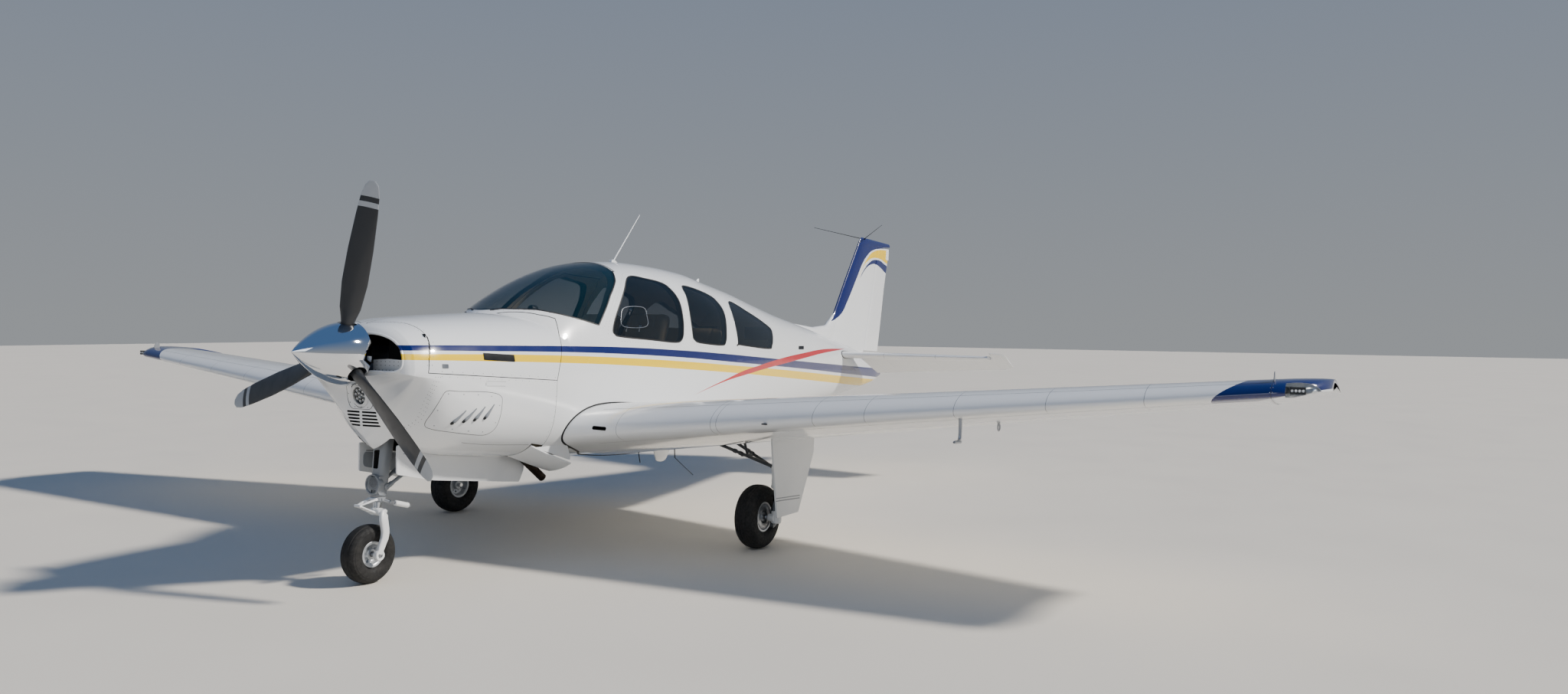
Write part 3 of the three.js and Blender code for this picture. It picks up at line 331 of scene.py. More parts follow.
def prism(outline: Outline, plane: str, low: float = -FAR, high: float = FAR, kind: Face = Face.RIM) -> Solid:
    """An outline in two of the axes, carried along the third.

    Args:
        outline: the corners, in the plane's own order.
        plane: "xz" seen from the side, "xy" from above or "yz" from ahead.
        low: where it starts on the third axis.
        high: where it ends.
        kind: the finish of its faces.

    Returns:
        The solid.
    """
    flat = np.asarray(outline, float)
    axes = ["xyz".index(axis) for axis in plane]
    third = 3 - sum(axes)
    count = len(flat)
    points = np.empty((2, count, 3))
    points[..., axes] = flat
    points[0, :, third], points[1, :, third] = low, high
    around, nxt = np.arange(count), (np.arange(count) + 1) % count
    walls = np.stack([around, nxt, nxt + count, around + count], -1)
    return Solid.made(points.reshape(-1, 3), [walls, around[::-1], around + count], kind)


def grown(outline: Outline, distance: float) -> Array:
    """The outline moved outwards: each corner goes along the sum of its edges' normals."""
    flat = np.asarray(outline, float)
    if distance == 0:
        return flat
    after = np.roll(flat, -1, 0) - flat
    area = 0.5 * np.sum(flat[:, 0] * np.roll(flat[:, 1], -1) - np.roll(flat[:, 0], -1) * flat[:, 1])
    normal = unit(np.stack([after[:, 1], -after[:, 0]], -1)) * math.copysign(1, area)
    before = np.roll(normal, 1, 0)
    share = distance / (1 + np.sum(before * normal, -1, keepdims=True))
    return flat + (before + normal) * share


def rounded(outline: Outline, radius: float, steps: int = 6) -> Array:
    """The outline with every corner replaced by a quadratic curve that starts a radius before it.

    Args:
        outline: the corners, in order.
        radius: how far from the corner the curve starts, at most 0.45 of the shorter edge.
        steps: pieces of each curve.

    Returns:
        The new corners.
    """
    flat = np.asarray(outline, float)
    to_last, to_next = np.roll(flat, 1, 0) - flat, np.roll(flat, -1, 0) - flat
    lengths = np.stack([np.linalg.norm(to_last, axis=1), np.linalg.norm(to_next, axis=1)])
    reach = np.minimum(radius, 0.45 * lengths.min(0))[:, None]
    start, end = flat + unit(to_last) * reach, flat + unit(to_next) * reach
    t = np.linspace(0, 1, steps + 1)[None, :, None]
    curve = (1 - t) ** 2 * start[:, None] + 2 * t * (1 - t) * flat[:, None] + t**2 * end[:, None]
    return curve.reshape(-1, 2)


def smooth_path(points: Outline, steps: int = 8, closed: bool = False) -> Array:
    """A Catmull-Rom curve through the points: on each span a cubic with the neighbours' half difference as slope.

    Args:
        points: the points, of two or three axes.
        steps: pieces of each span.
        closed: whether the curve comes back to its first point.

    Returns:
        The curve's points; a closed curve doesn't repeat its first.
    """
    p = np.asarray(points, float)
    if closed:
        before, after, beyond = np.roll(p, 1, 0), np.roll(p, -1, 0), np.roll(p, -2, 0)
        here = p
    else:
        padded = np.concatenate([2 * p[:1] - p[1:2], p, 2 * p[-1:] - p[-2:-1]])
        before, here, after, beyond = padded[:-3], padded[1:-2], padded[2:-1], padded[3:]
    t = (np.arange(steps) / steps)[None, :, None]
    b, h, a, y = (v[:, None] for v in (before, here, after, beyond))
    curve = 0.5 * (2 * h + (a - b) * t + (2 * b - 5 * h + 4 * a - y) * t**2 + (3 * h - b - 3 * a + y) * t**3)
    curve = curve.reshape(-1, p.shape[1])
    return curve if closed else np.concatenate([curve, p[-1:]])


def pin(start: Sequence[float], end: Sequence[float], radius: float, sides: int, kind: Face = Face.OUTER) -> Solid:
    """A round bar as a solid, to cut with or to join."""
    return Solid.made(*rod(start, end, radius, sides=sides), kind)


def tangents(path: Array, closed: bool = False) -> Array:
    """Unit directions along a path, from the points before and after each."""
    return unit(np.roll(path, -1, 0) - np.roll(path, 1, 0) if closed else np.gradient(path, axis=0))


def bar(path: Array, radius: float | Array, sides: int = 16, squash: float = 1.0, closed: bool = False,
        up: Sequence[float] = (0, 0, 1)) -> tuple[Array, list[Array]]:
    """A bar of round or oval section along a path: each ring is side*cos + top*squash*sin about its point.

    Args:
        path: the centre line, shape (n, 3).
        radius: one radius, or one for each point.
        sides: points around.
        squash: the section's height over its width.
        closed: whether the path is a loop.
        up: a direction that is nowhere along the path.

    Returns:
        Points and faces.
    """
    tangent = tangents(path, closed)
    side = unit(np.cross(tangent, np.asarray(up, float)))
    top = np.cross(side, tangent)
    around = turns(sides)
    reach = np.broadcast_to(np.asarray(radius, float), (len(path),))[:, None, None]
    ring = side[:, None] * np.cos(around)[None, :, None] + top[:, None] * np.sin(around)[None, :, None] * squash
    return skinned(path[:, None] + ring * reach, closed)


def rod(start: Sequence[float], end: Sequence[float], radius: float, end_radius: float | None = None,
        sides: int = 20, edge: float = 0.0) -> tuple[Array, list[Array]]:
    """A round bar between two points, with its ends' edges taken off.

    Args:
        start: one end's centre.
        end: the other end's centre.
        radius: the radius at the start.
        end_radius: the radius at the end, if it differs.
        sides: points around.
        edge: how much is taken off each end's edge.

    Returns:
        Points and faces.
    """
    a, b = np.asarray(start, float), np.asarray(end, float)
    last = radius if end_radius is None else end_radius
    length = np.linalg.norm(b - a)
    cut = min(edge, 0.3 * length, 0.5 * radius, 0.5 * last)
    up = (0, 0, 1) if abs((b - a)[2]) < 0.8 * length else (1, 0, 0)
    if cut <= 0:
        return bar(np.stack([a, b]), np.array([radius, last]), sides, up=up)
    share = np.array([0, cut / length, 1 - cut / length, 1])[:, None]
    return bar(a + (b - a) * share, np.array([radius - cut, radius, last, last - cut]), sides, up=up)


def rod_across(centre: Sequence[float], half: float, radius: float, sides: int,
               edge: float = 0.0) -> tuple[Array, list[Array]]:
    """A rod along y, reaching equally far to each side of its centre."""
    middle, reach = np.asarray(centre, float), np.array([0, half, 0])
    return rod(middle - reach, middle + reach, radius, sides=sides, edge=edge)


def revolved(profile: Outline, centre: Sequence[float], axis: Sequence[float], sides: int) -> Array:
    """A profile turned about an axis: at angle a, centre + radius*(u cos a + v sin a) + height*axis.

    Args:
        profile: corners of (radius, height).
        centre: where height is 0.
        axis: the axis's direction.
        sides: points around.

    Returns:
        Points, shape (sides, corners, 3).
    """
    w = unit(np.asarray(axis, float))
    u = unit(np.cross(w, (0, 0, 1) if abs(w[2]) < 0.8 else (1, 0, 0)))
    v = np.cross(w, u)
    turn = turns(sides)[:, None, None]
    flat = np.asarray(profile, float)[None]
    return np.asarray(centre, float) + flat[..., :1] * (u * np.cos(turn) + v * np.sin(turn)) + flat[..., 1:] * w


def spun(profile: Outline, centre: Sequence[float], axis: Sequence[float],
         sides: int = 96) -> tuple[Array, list[Array]]:
    """A profile turned once about an axis and closed by joining its last corner to its first."""
    return skinned(revolved(profile, centre, axis, sides), closed=True)


def dome(profile: Outline, centre: Sequence[float], axis: Sequence[float],
         sides: int = 48) -> tuple[Array, list[Array]]:
    """As spun, for a profile whose first and last points are close to the axis: its ends are shut by fans."""
    return skinned(revolved(profile, centre, axis, sides).swapaxes(0, 1))


def bent(flat: Array, normals: Array, half: float, height: float, sink: float = 0.001,
         closed: bool = True) -> tuple[Array, list[Array]]:
    """A low bead that lies on a surface along a line: five points across, from one sunk edge over the top.

    Args:
        flat: the line's points on the surface, shape (n, 3).
        normals: the surface's normals there.
        half: half the bead's width.
        height: how far its top stands off the surface.
        sink: how far its edges reach below the surface.
        closed: whether the line is a loop.

    Returns:
        Points and faces.
    """
    side = unit(np.cross(tangents(flat, closed), normals))
    across = np.array([-1, -0.72, 0, 0.72, 1])[None, :, None] * half
    lift = np.array([-sink, 0.75 * height, height, 0.75 * height, -sink])[None, :, None]
    return skinned(flat[:, None] + side[:, None] * across + normals[:, None] * lift, closed)


def studs(points: Array, normals: Array, radius: float, height: float, sides: int = 7) -> tuple[Array, list[Array]]:
    """Low round heads on a surface: a sunk ring, a raised ring and a crown point for each.

    Args:
        points: where they stand, shape (n, 3).
        normals: the surface's normals there.
        radius: of each head.
        height: of each crown.
        sides: points around.

    Returns:
        Points and faces.
    """
    normals = unit(normals)
    helper = np.where(np.abs(normals[:, 2:]) < 0.8, [[0.0, 0.0, 1.0]], [[1.0, 0.0, 0.0]])
    u = unit(np.cross(normals, helper))
    v = np.cross(normals, u)
    turn = turns(sides)[None, :, None]
    ring = u[:, None] * np.cos(turn) + v[:, None] * np.sin(turn)
    low = points[:, None] + ring * radius - normals[:, None] * 0.0006
    high = points[:, None] + ring * radius * 0.62 + normals[:, None] * height * 0.75
    crown = (points + normals * height)[:, None]
    block = np.concatenate([low, high, crown], 1)
    size = 2 * sides + 1
    start = (np.arange(len(points)) * size)[:, None]
    k, n = np.arange(sides)[None], ((np.arange(sides) + 1) % sides)[None]
    walls = np.stack([start + k, start + n, start + n + sides, start + k + sides], -1).reshape(-1, 4)
    tops = np.stack([start + k + sides, start + n + sides, start + k * 0 + 2 * sides], -1).reshape(-1, 3)
    floor = start + np.arange(sides)[::-1][None]
    return block.reshape(-1, 3), [walls, tops, floor]


def stud_rows(rows: Sequence[tuple[Array, Array]], radius: float, height: float) -> tuple[Array, list[Array]]:
    """Heads at every point of several rows of points and normals."""
    return joined([studs(place, normals, radius, height) for place, normals in rows])


def along(flat: Array, pitch: float, closed: bool = False) -> Array:
    """Points at an even pitch along a line, by interpolating over its running length."""
    line = np.concatenate([flat, flat[:1]]) if closed else flat
    reach = np.concatenate([[0], np.cumsum(np.linalg.norm(np.diff(line, axis=0), axis=1))])
    count = max(2, int(round(reach[-1] / pitch)))
    stations = np.linspace(0, reach[-1], count + (not closed), endpoint=not closed)
    return np.stack([np.interp(stations, reach, line[:, k]) for k in range(line.shape[1])], -1)


# Finishes


def linear(colour: str) -> tuple[float, float, float, float]:
    """A colour written as six hexadecimal digits, in the renderer's linear values."""
    parts = [int(colour[i:i + 2], 16) / 255 for i in (0, 2, 4)]
    values = [p / 12.92 if p <= 0.04045 else ((p + 0.055) / 1.055) ** 2.4 for p in parts]
    return (*values, 1.0)


class Graph:
    """A material's nodes, with short calls for the ones that the finishes use."""

    def __init__(self, name: str) -> None:
        """Starts a material with a Principled shader and its output."""
        self.material = bpy.data.materials.new(name)
        self.material.use_nodes = True
        self.tree = self.material.node_tree
        self.shader = self.tree.nodes["Principled BSDF"]
        self._place: bpy.types.NodeSocket | None = None
        self._axes: dict[str, bpy.types.NodeSocket] = {}

    def node(self, kind: str, inputs: dict | None = None, **settings: object) -> bpy.types.Node:
        """A node with its settings and inputs; an input that is a socket is linked, any other is its value."""
        node = self.tree.nodes.new(f"ShaderNode{kind}")
        for name, value in settings.items():
            setattr(node, name, value)
        for key, value in (inputs or {}).items():
            self.feed(node.inputs[key], value)
        return node

    def feed(self, socket: bpy.types.NodeSocket, value: object) -> None:
        """Links a socket to the value, or sets it."""
        if isinstance(value, bpy.types.NodeSocket):
            self.tree.links.new(value, socket)
        else:
            socket.default_value = value

    def math(self, operation: str, a: object, b: object = 0.0, clamp: bool = False) -> bpy.types.NodeSocket:
        """One arithmetic step."""
        return self.node("Math", {0: a, 1: b}, operation=operation, use_clamp=clamp).outputs[0]

    def colour(self) -> bpy.types.NodeSocket:
        """What the shader's base colour is linked to."""
        return self.shader.inputs["Base Color"].links[0].from_socket

    def line(self, value: object, slope: float, start: float) -> bpy.types.NodeSocket:
        """value*slope + start."""
        return self.node("Math", {0: value, 1: slope, 2: start}, operation="MULTIPLY_ADD").outputs[0]

    def place(self) -> bpy.types.NodeSocket:
        """The object's own coordinates."""
        if self._place is None:
            self._place = self.node("TexCoord").outputs["Object"]
        return self._place

    def level(self, axis: str) -> bpy.types.NodeSocket:
        """One axis of the level frame: the object's coordinates turned back by the stance's angle."""
        if not self._axes:
            cosine, sine = math.cos(STANCE.nose_up), math.sin(STANCE.nose_up)
            shift = (STANCE.pivot_x - STANCE.ground_x * cosine, 0, STANCE.pivot_z - STANCE.ground_x * sine)
            turn = self.node("Mapping", {"Vector": self.place(), "Location": shift,
                                         "Rotation": (0, -STANCE.nose_up, 0)})
            split = self.node("SeparateXYZ", {0: turn.outputs[0]})
            self._axes = dict(zip("xyz", split.outputs))
        return self._axes[axis]

    def noise(self, scale: float, detail: float = 3.0, stretch: Sequence[float] = (1, 1, 1),
              roughness: float = 0.5) -> bpy.types.NodeSocket:
        """Noise on the object's own coordinates, from 0 to 1."""
        vector = self.place()
        if tuple(stretch) != (1, 1, 1):
            vector = self.node("Mapping", {"Vector": vector, "Scale": tuple(stretch)}).outputs[0]
        return self.node("TexNoise", {"Vector": vector, "Scale": scale, "Detail": detail,
                                      "Roughness": roughness}).outputs[0]

    def ramp(self, value: object, low: float, high: float, start: float = 0.0,
             end: float = 1.0) -> bpy.types.NodeSocket:
        """A value between low and high carried to start and end, and held beyond them."""
        return self.node("MapRange", {"Value": value, "From Min": low, "From Max": high, "To Min": start,
                                      "To Max": end}).outputs[0]

    def mix(self, share: object, a: object, b: object) -> bpy.types.NodeSocket:
        """Colour a where share is 0 and b where it is 1."""
        return self.node("Mix", {0: share, 6: a, 7: b}, data_type="RGBA").outputs[2]

    def curve(self, value: object, points: Outline, low: float = -0.8, high: float = 1.6) -> bpy.types.NodeSocket:
        """A height for each x of the level frame, through the points by a smooth curve.

        Args:
            value: the x.
            points: rows of x and height, in metres.
            low: the lowest height that the curve can give.
            high: the highest.

        Returns:
            The height.
        """
        node = self.node("FloatCurve", {"Factor": 1.0, "Value": self.math("DIVIDE", value, FAR)})
        line = node.mapping.curves[0]
        flat = [(x / FAR, (height - low) / (high - low)) for x, height in points]
        line.points[0].location, line.points[1].location = flat[0], flat[-1]
        for x, height in flat[1:-1]:
            line.points.new(x, height)
        node.mapping.extend = "HORIZONTAL"
        node.mapping.update()
        return self.line(node.outputs[0], high - low, low)

    def inside(self, value: object, low: object, high: object, soft: float = 0.0015) -> bpy.types.NodeSocket:
        """1 between two limits and 0 outside them, with soft edges: the product of two clamped slopes."""
        above = self.math("DIVIDE", self.math("SUBTRACT", value, low), soft, clamp=True)
        below = self.math("DIVIDE", self.math("SUBTRACT", high, value), soft, clamp=True)
        return self.math("MULTIPLY", above, below)

    def bump(self, height: object, depth: float, strength: float = 1.0) -> None:
        """A bump of a depth in metres on the shader."""
        node = self.node("Bump", {"Height": height, "Distance": depth, "Strength": strength})
        self.feed(self.shader.inputs["Normal"], node.outputs[0])

    def set(self, **values: object) -> None:
        """Sets the shader's sockets; underscores stand for spaces."""
        for name, value in values.items():
            self.feed(self.shader.inputs[name.replace("_", " ")], value)


@dataclass(frozen=True)
class Finish:
    """A plain finish: a colour that wanders a little, roughness that follows it and a fine bump."""

    name: str
    colour: str
    roughness: float = 0.4
    metallic: float = 0.0
    coat: float = 0.0
    wander: float = 0.08
    wander_scale: float = 3.0
    bump_scale: float = 400.0
    bump_depth: float = 0.00008

    def tint(self, graph: Graph) -> bpy.types.NodeSocket:
        """The base colour: the finish's own, darkened by slow noise."""
        own = linear(self.colour)
        darker = tuple(c * (1 - 2 * self.wander) for c in own[:3]) + (1.0,)
        return graph.mix(graph.ramp(graph.noise(self.wander_scale, 4), 0.3, 0.7), own, darker)

    def dress(self, graph: Graph) -> None:
        """Adds what this kind of finish has beyond its colour, roughness and bump."""

    def material(self) -> bpy.types.Material:
        """The material, made once for each name."""
        known = bpy.data.materials.get(f"{self.name}_finish")
        if known:
            return known
        graph = Graph(f"{self.name}_finish")
        graph.set(Base_Color=self.tint(graph), Metallic=self.metallic, Coat_Weight=self.coat,
                  Coat_Roughness=0.05)
        spread = graph.ramp(graph.noise(self.wander_scale * 4, 5), 0.25, 0.75, self.roughness * 0.8,
                            min(1.0, self.roughness * 1.25))
        graph.set(Roughness=spread)
        graph.bump(graph.noise(self.bump_scale, 2), self.bump_depth)
        self.dress(graph)
        return graph.material


@dataclass(frozen=True)
class Paint(Finish):
    """Gloss paint, with fine panel joints where a surface has them."""

    roughness: float = 0.22
    coat: float = 0.9
    wander: float = 0.012
    wander_scale: float = 1.6
    joints_y: tuple[float, ...] = ()

    def dress(self, graph: Graph) -> None:
        """Draws each panel joint as a thin grey line across the span."""
        colour = graph.colour()
        lines = [(graph.math("ABSOLUTE", graph.level("y")), y) for y in self.joints_y]
        for axis, at in lines:
            mask = graph.inside(axis, at - 0.0016, at + 0.0016, 0.0008)
            colour = graph.mix(mask, colour, linear("55585c"))
        graph.set(Base_Color=colour)


Band = tuple[str, Outline, Outline]

# Rows of x and z in the level frame: lower and upper edges of every painted band, in the order they are laid on.
BANDS: tuple[Band, ...] = (
    ("03165c", ((0.44, 0.025), (0.6, 0.031), (1.05, 0.042), (1.63, 0.055), (2.18, 0.06), (3.08, 0.052),
                (3.6, 0.038), (4.4, 0.02), (5.5, -0.005), (6.55, -0.034), (7.9, -0.072)),
     ((0.44, 0.058), (0.615, 0.065), (1.07, 0.08), (1.65, 0.097), (2.18, 0.109), (3.08, 0.108), (3.6, 0.1),
      (4.58, 0.082), (5.5, 0.068), (6.54, 0.052), (7.9, 0.03))),
    ("ffd400", ((0.44, -0.028), (0.6, -0.025), (1.04, -0.02), (1.62, -0.016), (2.18, -0.018), (3.08, -0.036),
                (3.83, -0.056), (5.2, -0.098), (6.62, -0.146), (7.9, -0.19)),
     ((0.44, 0.008), (0.6, 0.013), (1.05, 0.025), (1.62, 0.034), (2.18, 0.035), (3.08, 0.024), (3.6, 0.012),
      (4.4, -0.005), (6.56, -0.062), (7.9, -0.1))),
    ("c4000e", ((3.02, -0.278), (3.37, -0.184), (3.67, -0.118), (4.01, -0.066), (4.4, -0.012), (4.96, 0.052),
                (5.39, 0.1), (5.97, 0.163), (6.65, 0.219), (6.8, 0.232)),
     ((3.02, -0.282), (3.37, -0.176), (3.67, -0.1), (3.9, -0.045), (4.24, 0.012), (4.87, 0.098), (5.4, 0.152),
      (5.99, 0.204), (6.65, 0.227), (6.8, 0.228))),
)
FIN_BANDS: tuple[Band, ...] = (
    ("03165c", ((6.6, 0.517), (6.716, 0.556), (6.827, 0.62), (6.936, 0.735), (7.069, 0.895), (7.204, 1.066),
                (7.318, 1.205), (7.437, 1.304), (7.586, 1.379), (7.794, 1.42), (8.09, 1.442)),
     ((6.6, 0.525), (6.65, 0.56), (6.7, 0.66), (6.8, 0.86), (6.95, 1.08), (7.1, 1.3), (7.25, 1.52),
      (7.37, 1.58), (8.09, 1.6))),
    ("ffd400", ((7.19, 1.0), (7.23, 1.038), (7.322, 1.152), (7.442, 1.239), (7.593, 1.291), (7.802, 1.304),
                (7.977, 1.276), (8.09, 1.26)),
     ((7.19, 0.99), (7.266, 1.093), (7.344, 1.186), (7.449, 1.279), (7.587, 1.36), (7.795, 1.407),
      (8.09, 1.424))),
    ("03165c", ((7.25, 1.022), (7.302, 1.072), (7.397, 1.146), (7.521, 1.206), (7.649, 1.229), (7.809, 1.207),
                (7.952, 1.168), (8.06, 1.138)),
     ((7.25, 1.02), (7.3, 1.086), (7.372, 1.15), (7.493, 1.227), (7.619, 1.274), (7.804, 1.284),
      (7.957, 1.256), (8.06, 1.238))),
)


@dataclass(frozen=True)
class Livery(Paint):
    """White gloss paint with painted bands, each between two curves of height over x."""

    bands: tuple[Band, ...] = ()

    def dress(self, graph: Graph) -> None:
        """Lays the bands over the white."""
        super().dress(graph)
        colour = graph.colour()
        x, z = graph.level("x"), graph.level("z")
        for tint, low, high in self.bands:
            span = graph.inside(x, low[0][0], low[-1][0], 0.003)
            mask = graph.inside(z, graph.curve(x, low), graph.curve(x, high))
            colour = graph.mix(graph.math("MULTIPLY", mask, span), colour, linear(tint))
        graph.set(Base_Color=colour)


@dataclass(frozen=True)
class Metal(Finish):
    """Bare metal with fine scratches along one direction."""

    roughness: float = 0.3
    metallic: float = 1.0
    wander: float = 0.06
    scratch: tuple[float, float, float] = (1.0, 1.0, 1.0)

    def dress(self, graph: Graph) -> None:
        """Bumps the surface with noise drawn out across the scratches."""
        graph.bump(graph.noise(self.bump_scale, 2, self.scratch), self.bump_depth)


@dataclass(frozen=True)
class Rubber(Finish):
    """Matt rubber, greyed in patches by dust."""

    roughness: float = 0.75
    wander: float = 0.15
    wander_scale: float = 14.0
    bump_scale: float = 700.0
    bump_depth: float = 0.0002
    dust: str = "4a463f"
    dusty: float = 0.25

    def dress(self, graph: Graph) -> None:
        """Adds the dust over the base colour."""
        colour = graph.colour()
        share = graph.ramp(graph.noise(9, 6, roughness=0.7), 0.45, 0.8, 0.0, self.dusty)
        graph.set(Base_Color=graph.mix(share, colour, linear(self.dust)))


@dataclass(frozen=True)
class Glazing(Finish):
    """Tinted acrylic or clear plastic, seen through; the coat gives its reflections."""

    roughness: float = 0.02
    bump_scale: float = 2.5
    bump_depth: float = 0.0004
    opacity: float = 0.5
    edge_opacity: float = 0.8
    blend: float = 0.35
    shine: float = 0.5

    def dress(self, graph: Graph) -> None:
        """Makes the sheet part transparent, and less so at a glancing angle."""
        facing = graph.node("LayerWeight", {"Blend": self.blend}).outputs["Facing"]
        graph.set(Alpha=graph.ramp(facing, 0.0, 1.0, self.opacity, self.edge_opacity), Coat_Weight=self.shine,
                  Coat_Roughness=0.02)


@dataclass(frozen=True)
class Leather(Finish):
    """Seat leather: a cell grain with soft creases."""

    roughness: float = 0.5
    wander: float = 0.08
    wander_scale: float = 8.0

    def dress(self, graph: Graph) -> None:
        """Bumps the leather with small cells and slow creases."""
        cells = graph.node("TexVoronoi", {"Vector": graph.place(), "Scale": 420.0},
                           feature="DISTANCE_TO_EDGE").outputs["Distance"]
        creases = graph.noise(22, 5, roughness=0.6)
        height = graph.math("ADD", graph.ramp(cells, 0.0, 0.25), graph.math("MULTIPLY", creases, 3.0))
        graph.bump(height, 0.0009, 0.6)


@dataclass(frozen=True)
class Carpet(Finish):
    """Cut pile carpet."""

    roughness: float = 0.95
    bump_scale: float = 900.0
    bump_depth: float = 0.003
    wander: float = 0.2
    wander_scale: float = 40.0


class Kit:
    """The finishes of this aircraft, by the surface they are on."""

    white = Paint("gloss_white", "eef0f1")
    livery = Livery("gloss_white_with_bands", "eef0f1", bands=BANDS)
    fin_livery = Livery("gloss_white_with_fin_bands", "eef0f1", bands=FIN_BANDS)
    # near black on inner faces, cut rims and coves: painted shade for the dark inside openings and gaps
    shade_lining = Finish("painted_shade_lining", "1a1b1c", 0.8, wander=0.15)
    seal = Rubber("black_seal", "0d0d0e", 0.55, dusty=0.1)
    tyre = Rubber("tyre_rubber", "131314")
    chrome = Metal("polished_chrome", "e8eaed", 0.045, wander=0.02, bump_scale=5.0, bump_depth=0.0006)
    casting = Metal("engine_casting", "70747a", 0.5, wander=0.15, bump_scale=180.0, bump_depth=0.0006)
    steel = Metal("gear_steel", "a6aab0", 0.32, wander=0.08)
    piston = Metal("polished_piston", "d5d9de", 0.12, wander=0.04)
    gear_paint = Paint("gear_white_paint", "e4e6e7", roughness=0.35, coat=0.3, wander=0.05)
    # grey paint on gear parts, and painted shade where it colours the cowl's louvres
    grey_paint_and_shade = Finish("grey_paint_and_louvre_shade", "8f9499", 0.4, coat=0.3, wander=0.1)
    gear_dark = Finish("gear_dark_paint", "3c4044", 0.45, coat=0.2, wander=0.12)
    hose = Rubber("hose_rubber", "161617", 0.6, dusty=0.1)
    wheel = Finish("wheel_silver_paint", "c6cace", 0.38, 0.55, wander=0.1)
    exhaust = Metal("burnt_steel", "4a3f38", 0.55, wander=0.3, wander_scale=12.0)
    windshield = Glazing("blue_green_acrylic", "12303c", opacity=0.09)
    window = Glazing("smoked_acrylic", "0c1a24", opacity=0.24)
    lens = Glazing("clear_lens", "20282c", 0.03, bump_scale=400.0, bump_depth=0.00008, opacity=0.06,
                   edge_opacity=0.5, blend=0.4, shine=0.4)
    lamp = Metal("lamp_reflector", "dfe3e6", 0.18)
    lamp_dark = Finish("lamp_cells", "34373a", 0.3, 0.4, wander=0.2, wander_scale=60.0)
    # dark for real joints, and painted shade where it fills the louvres' mouths
    seam = Finish("dark_seam_and_louvre_shade", "26282a", 0.7)
    # grey on rivet and screw heads: painted shade of the heads on the white skin
    rivet_shade = Finish("grey_rivet_painted_shade", "6d7075", 0.4, 0.4)
    plate = Finish("bare_plate", "1a1b1d", 0.35, 0.5)
    leather = Leather("tan_leather", "b29f80")
    carpet = Carpet("brown_carpet", "5b4d3e")
    trim = Finish("beige_trim", "b7ab95", 0.8, wander=0.06, bump_scale=900.0, bump_depth=0.0004)
    panel = Finish("black_crackle", "202122", 0.7, bump_scale=1100.0, bump_depth=0.0006)
    dial = Finish("dial_black", "0c0c0d", 0.3, coat=0.8)
    plastic = Finish("black_plastic", "161617", 0.5)
    floor = Finish("pale_floor", "ddd7cc", 0.75, wander=0.01, wander_scale=0.3, bump_depth=0.0)


def show(name: str, shape: Solid | tuple[Array, list[Array]], body: str, finishes: Finish | Sequence[Finish],
         replaces: Sequence[str] = (), on_hull: bool = False,
         crease: float = 32.0) -> bpy.types.Object:
    """Puts a finished piece into the scene, in the row frame, on its body.

    Args:
        name: the piece's name.
        shape: a solid, or points and faces, in the level frame.
        body: the CAD body that it moves with.
        finishes: one finish, or one for each kind of face.
        replaces: the CAD nodes that it stands for.
        on_hull: whether its outer skin lies on the hulls and takes their true normals.
        crease: edges sharper than this many degrees stay sharp.

    Returns:
        The object.
    """
    mesh = shape.mesh if isinstance(shape, Solid) else bare_mesh(name, *shape)
    mesh.name = name
    chosen = [finishes] if isinstance(finishes, Finish) else list(finishes)
    while len(mesh.materials) > len(chosen):
        mesh.materials.pop()
    for index, finish in enumerate(chosen):
        if index < len(mesh.materials):
            mesh.materials[index] = finish.material()
        else:
            mesh.materials.append(finish.material())
    count = len(mesh.vertices)
    flat = np.empty(3 * count, np.float32)
    mesh.vertices.foreach_get("co", flat)
    level = flat.reshape(-1, 3).astype(float)
    true = _true_normals(mesh, level) if on_hull else None
    mesh.vertices.foreach_set("co", STANCE.to_row(level).astype(np.float32).ravel())
    mesh.update()
    mesh.shade_smooth()
    mesh.set_sharp_from_angle(angle=math.radians(crease))
    if true is not None:
        mesh.normals_split_custom_set(true.tolist())
    piece = linked(name, mesh)
    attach(piece, body)
    if replaces:
        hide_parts(*replaces)
    LOG.info("%s: %d faces on %s", name, len(mesh.polygons), body)
    return piece


def keep(node: str, finish: Finish) -> None:
    """Gives a CAD node whose shape stays the finish of its material."""
    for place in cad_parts[node].material_slots:
        place.material = finish.material()


def _true_normals(mesh: bpy.types.Mesh, level: Array) -> Array:
    """Corner normals: the surface's own where a face lies on the skin, otherwise zero, which keeps the mesh's."""
    total = len(mesh.polygons)
    size, kind = np.empty(total, np.int32), np.empty(total, np.int32)
    facing = np.empty(3 * total, np.float32)
    mesh.polygons.foreach_get("loop_total", size)
    mesh.polygons.foreach_get("material_index", kind)
    mesh.polygons.foreach_get("normal", facing)
    corner = np.empty(len(mesh.loops), np.int32)
    mesh.loops.foreach_get("vertex_index", corner)
    owner = np.repeat(np.arange(total), size)
    points, rough = level[corner], facing.reshape(-1, 3)[owner]
    own = skin_normals(points)
    lies_on_skin = (kind[owner] == Face.OUTER.value) & (np.sum(own * rough, -1) > SKIN_COSINE)
    return STANCE.turn(np.where(lies_on_skin[:, None], own, 0.0))


# Fuselage

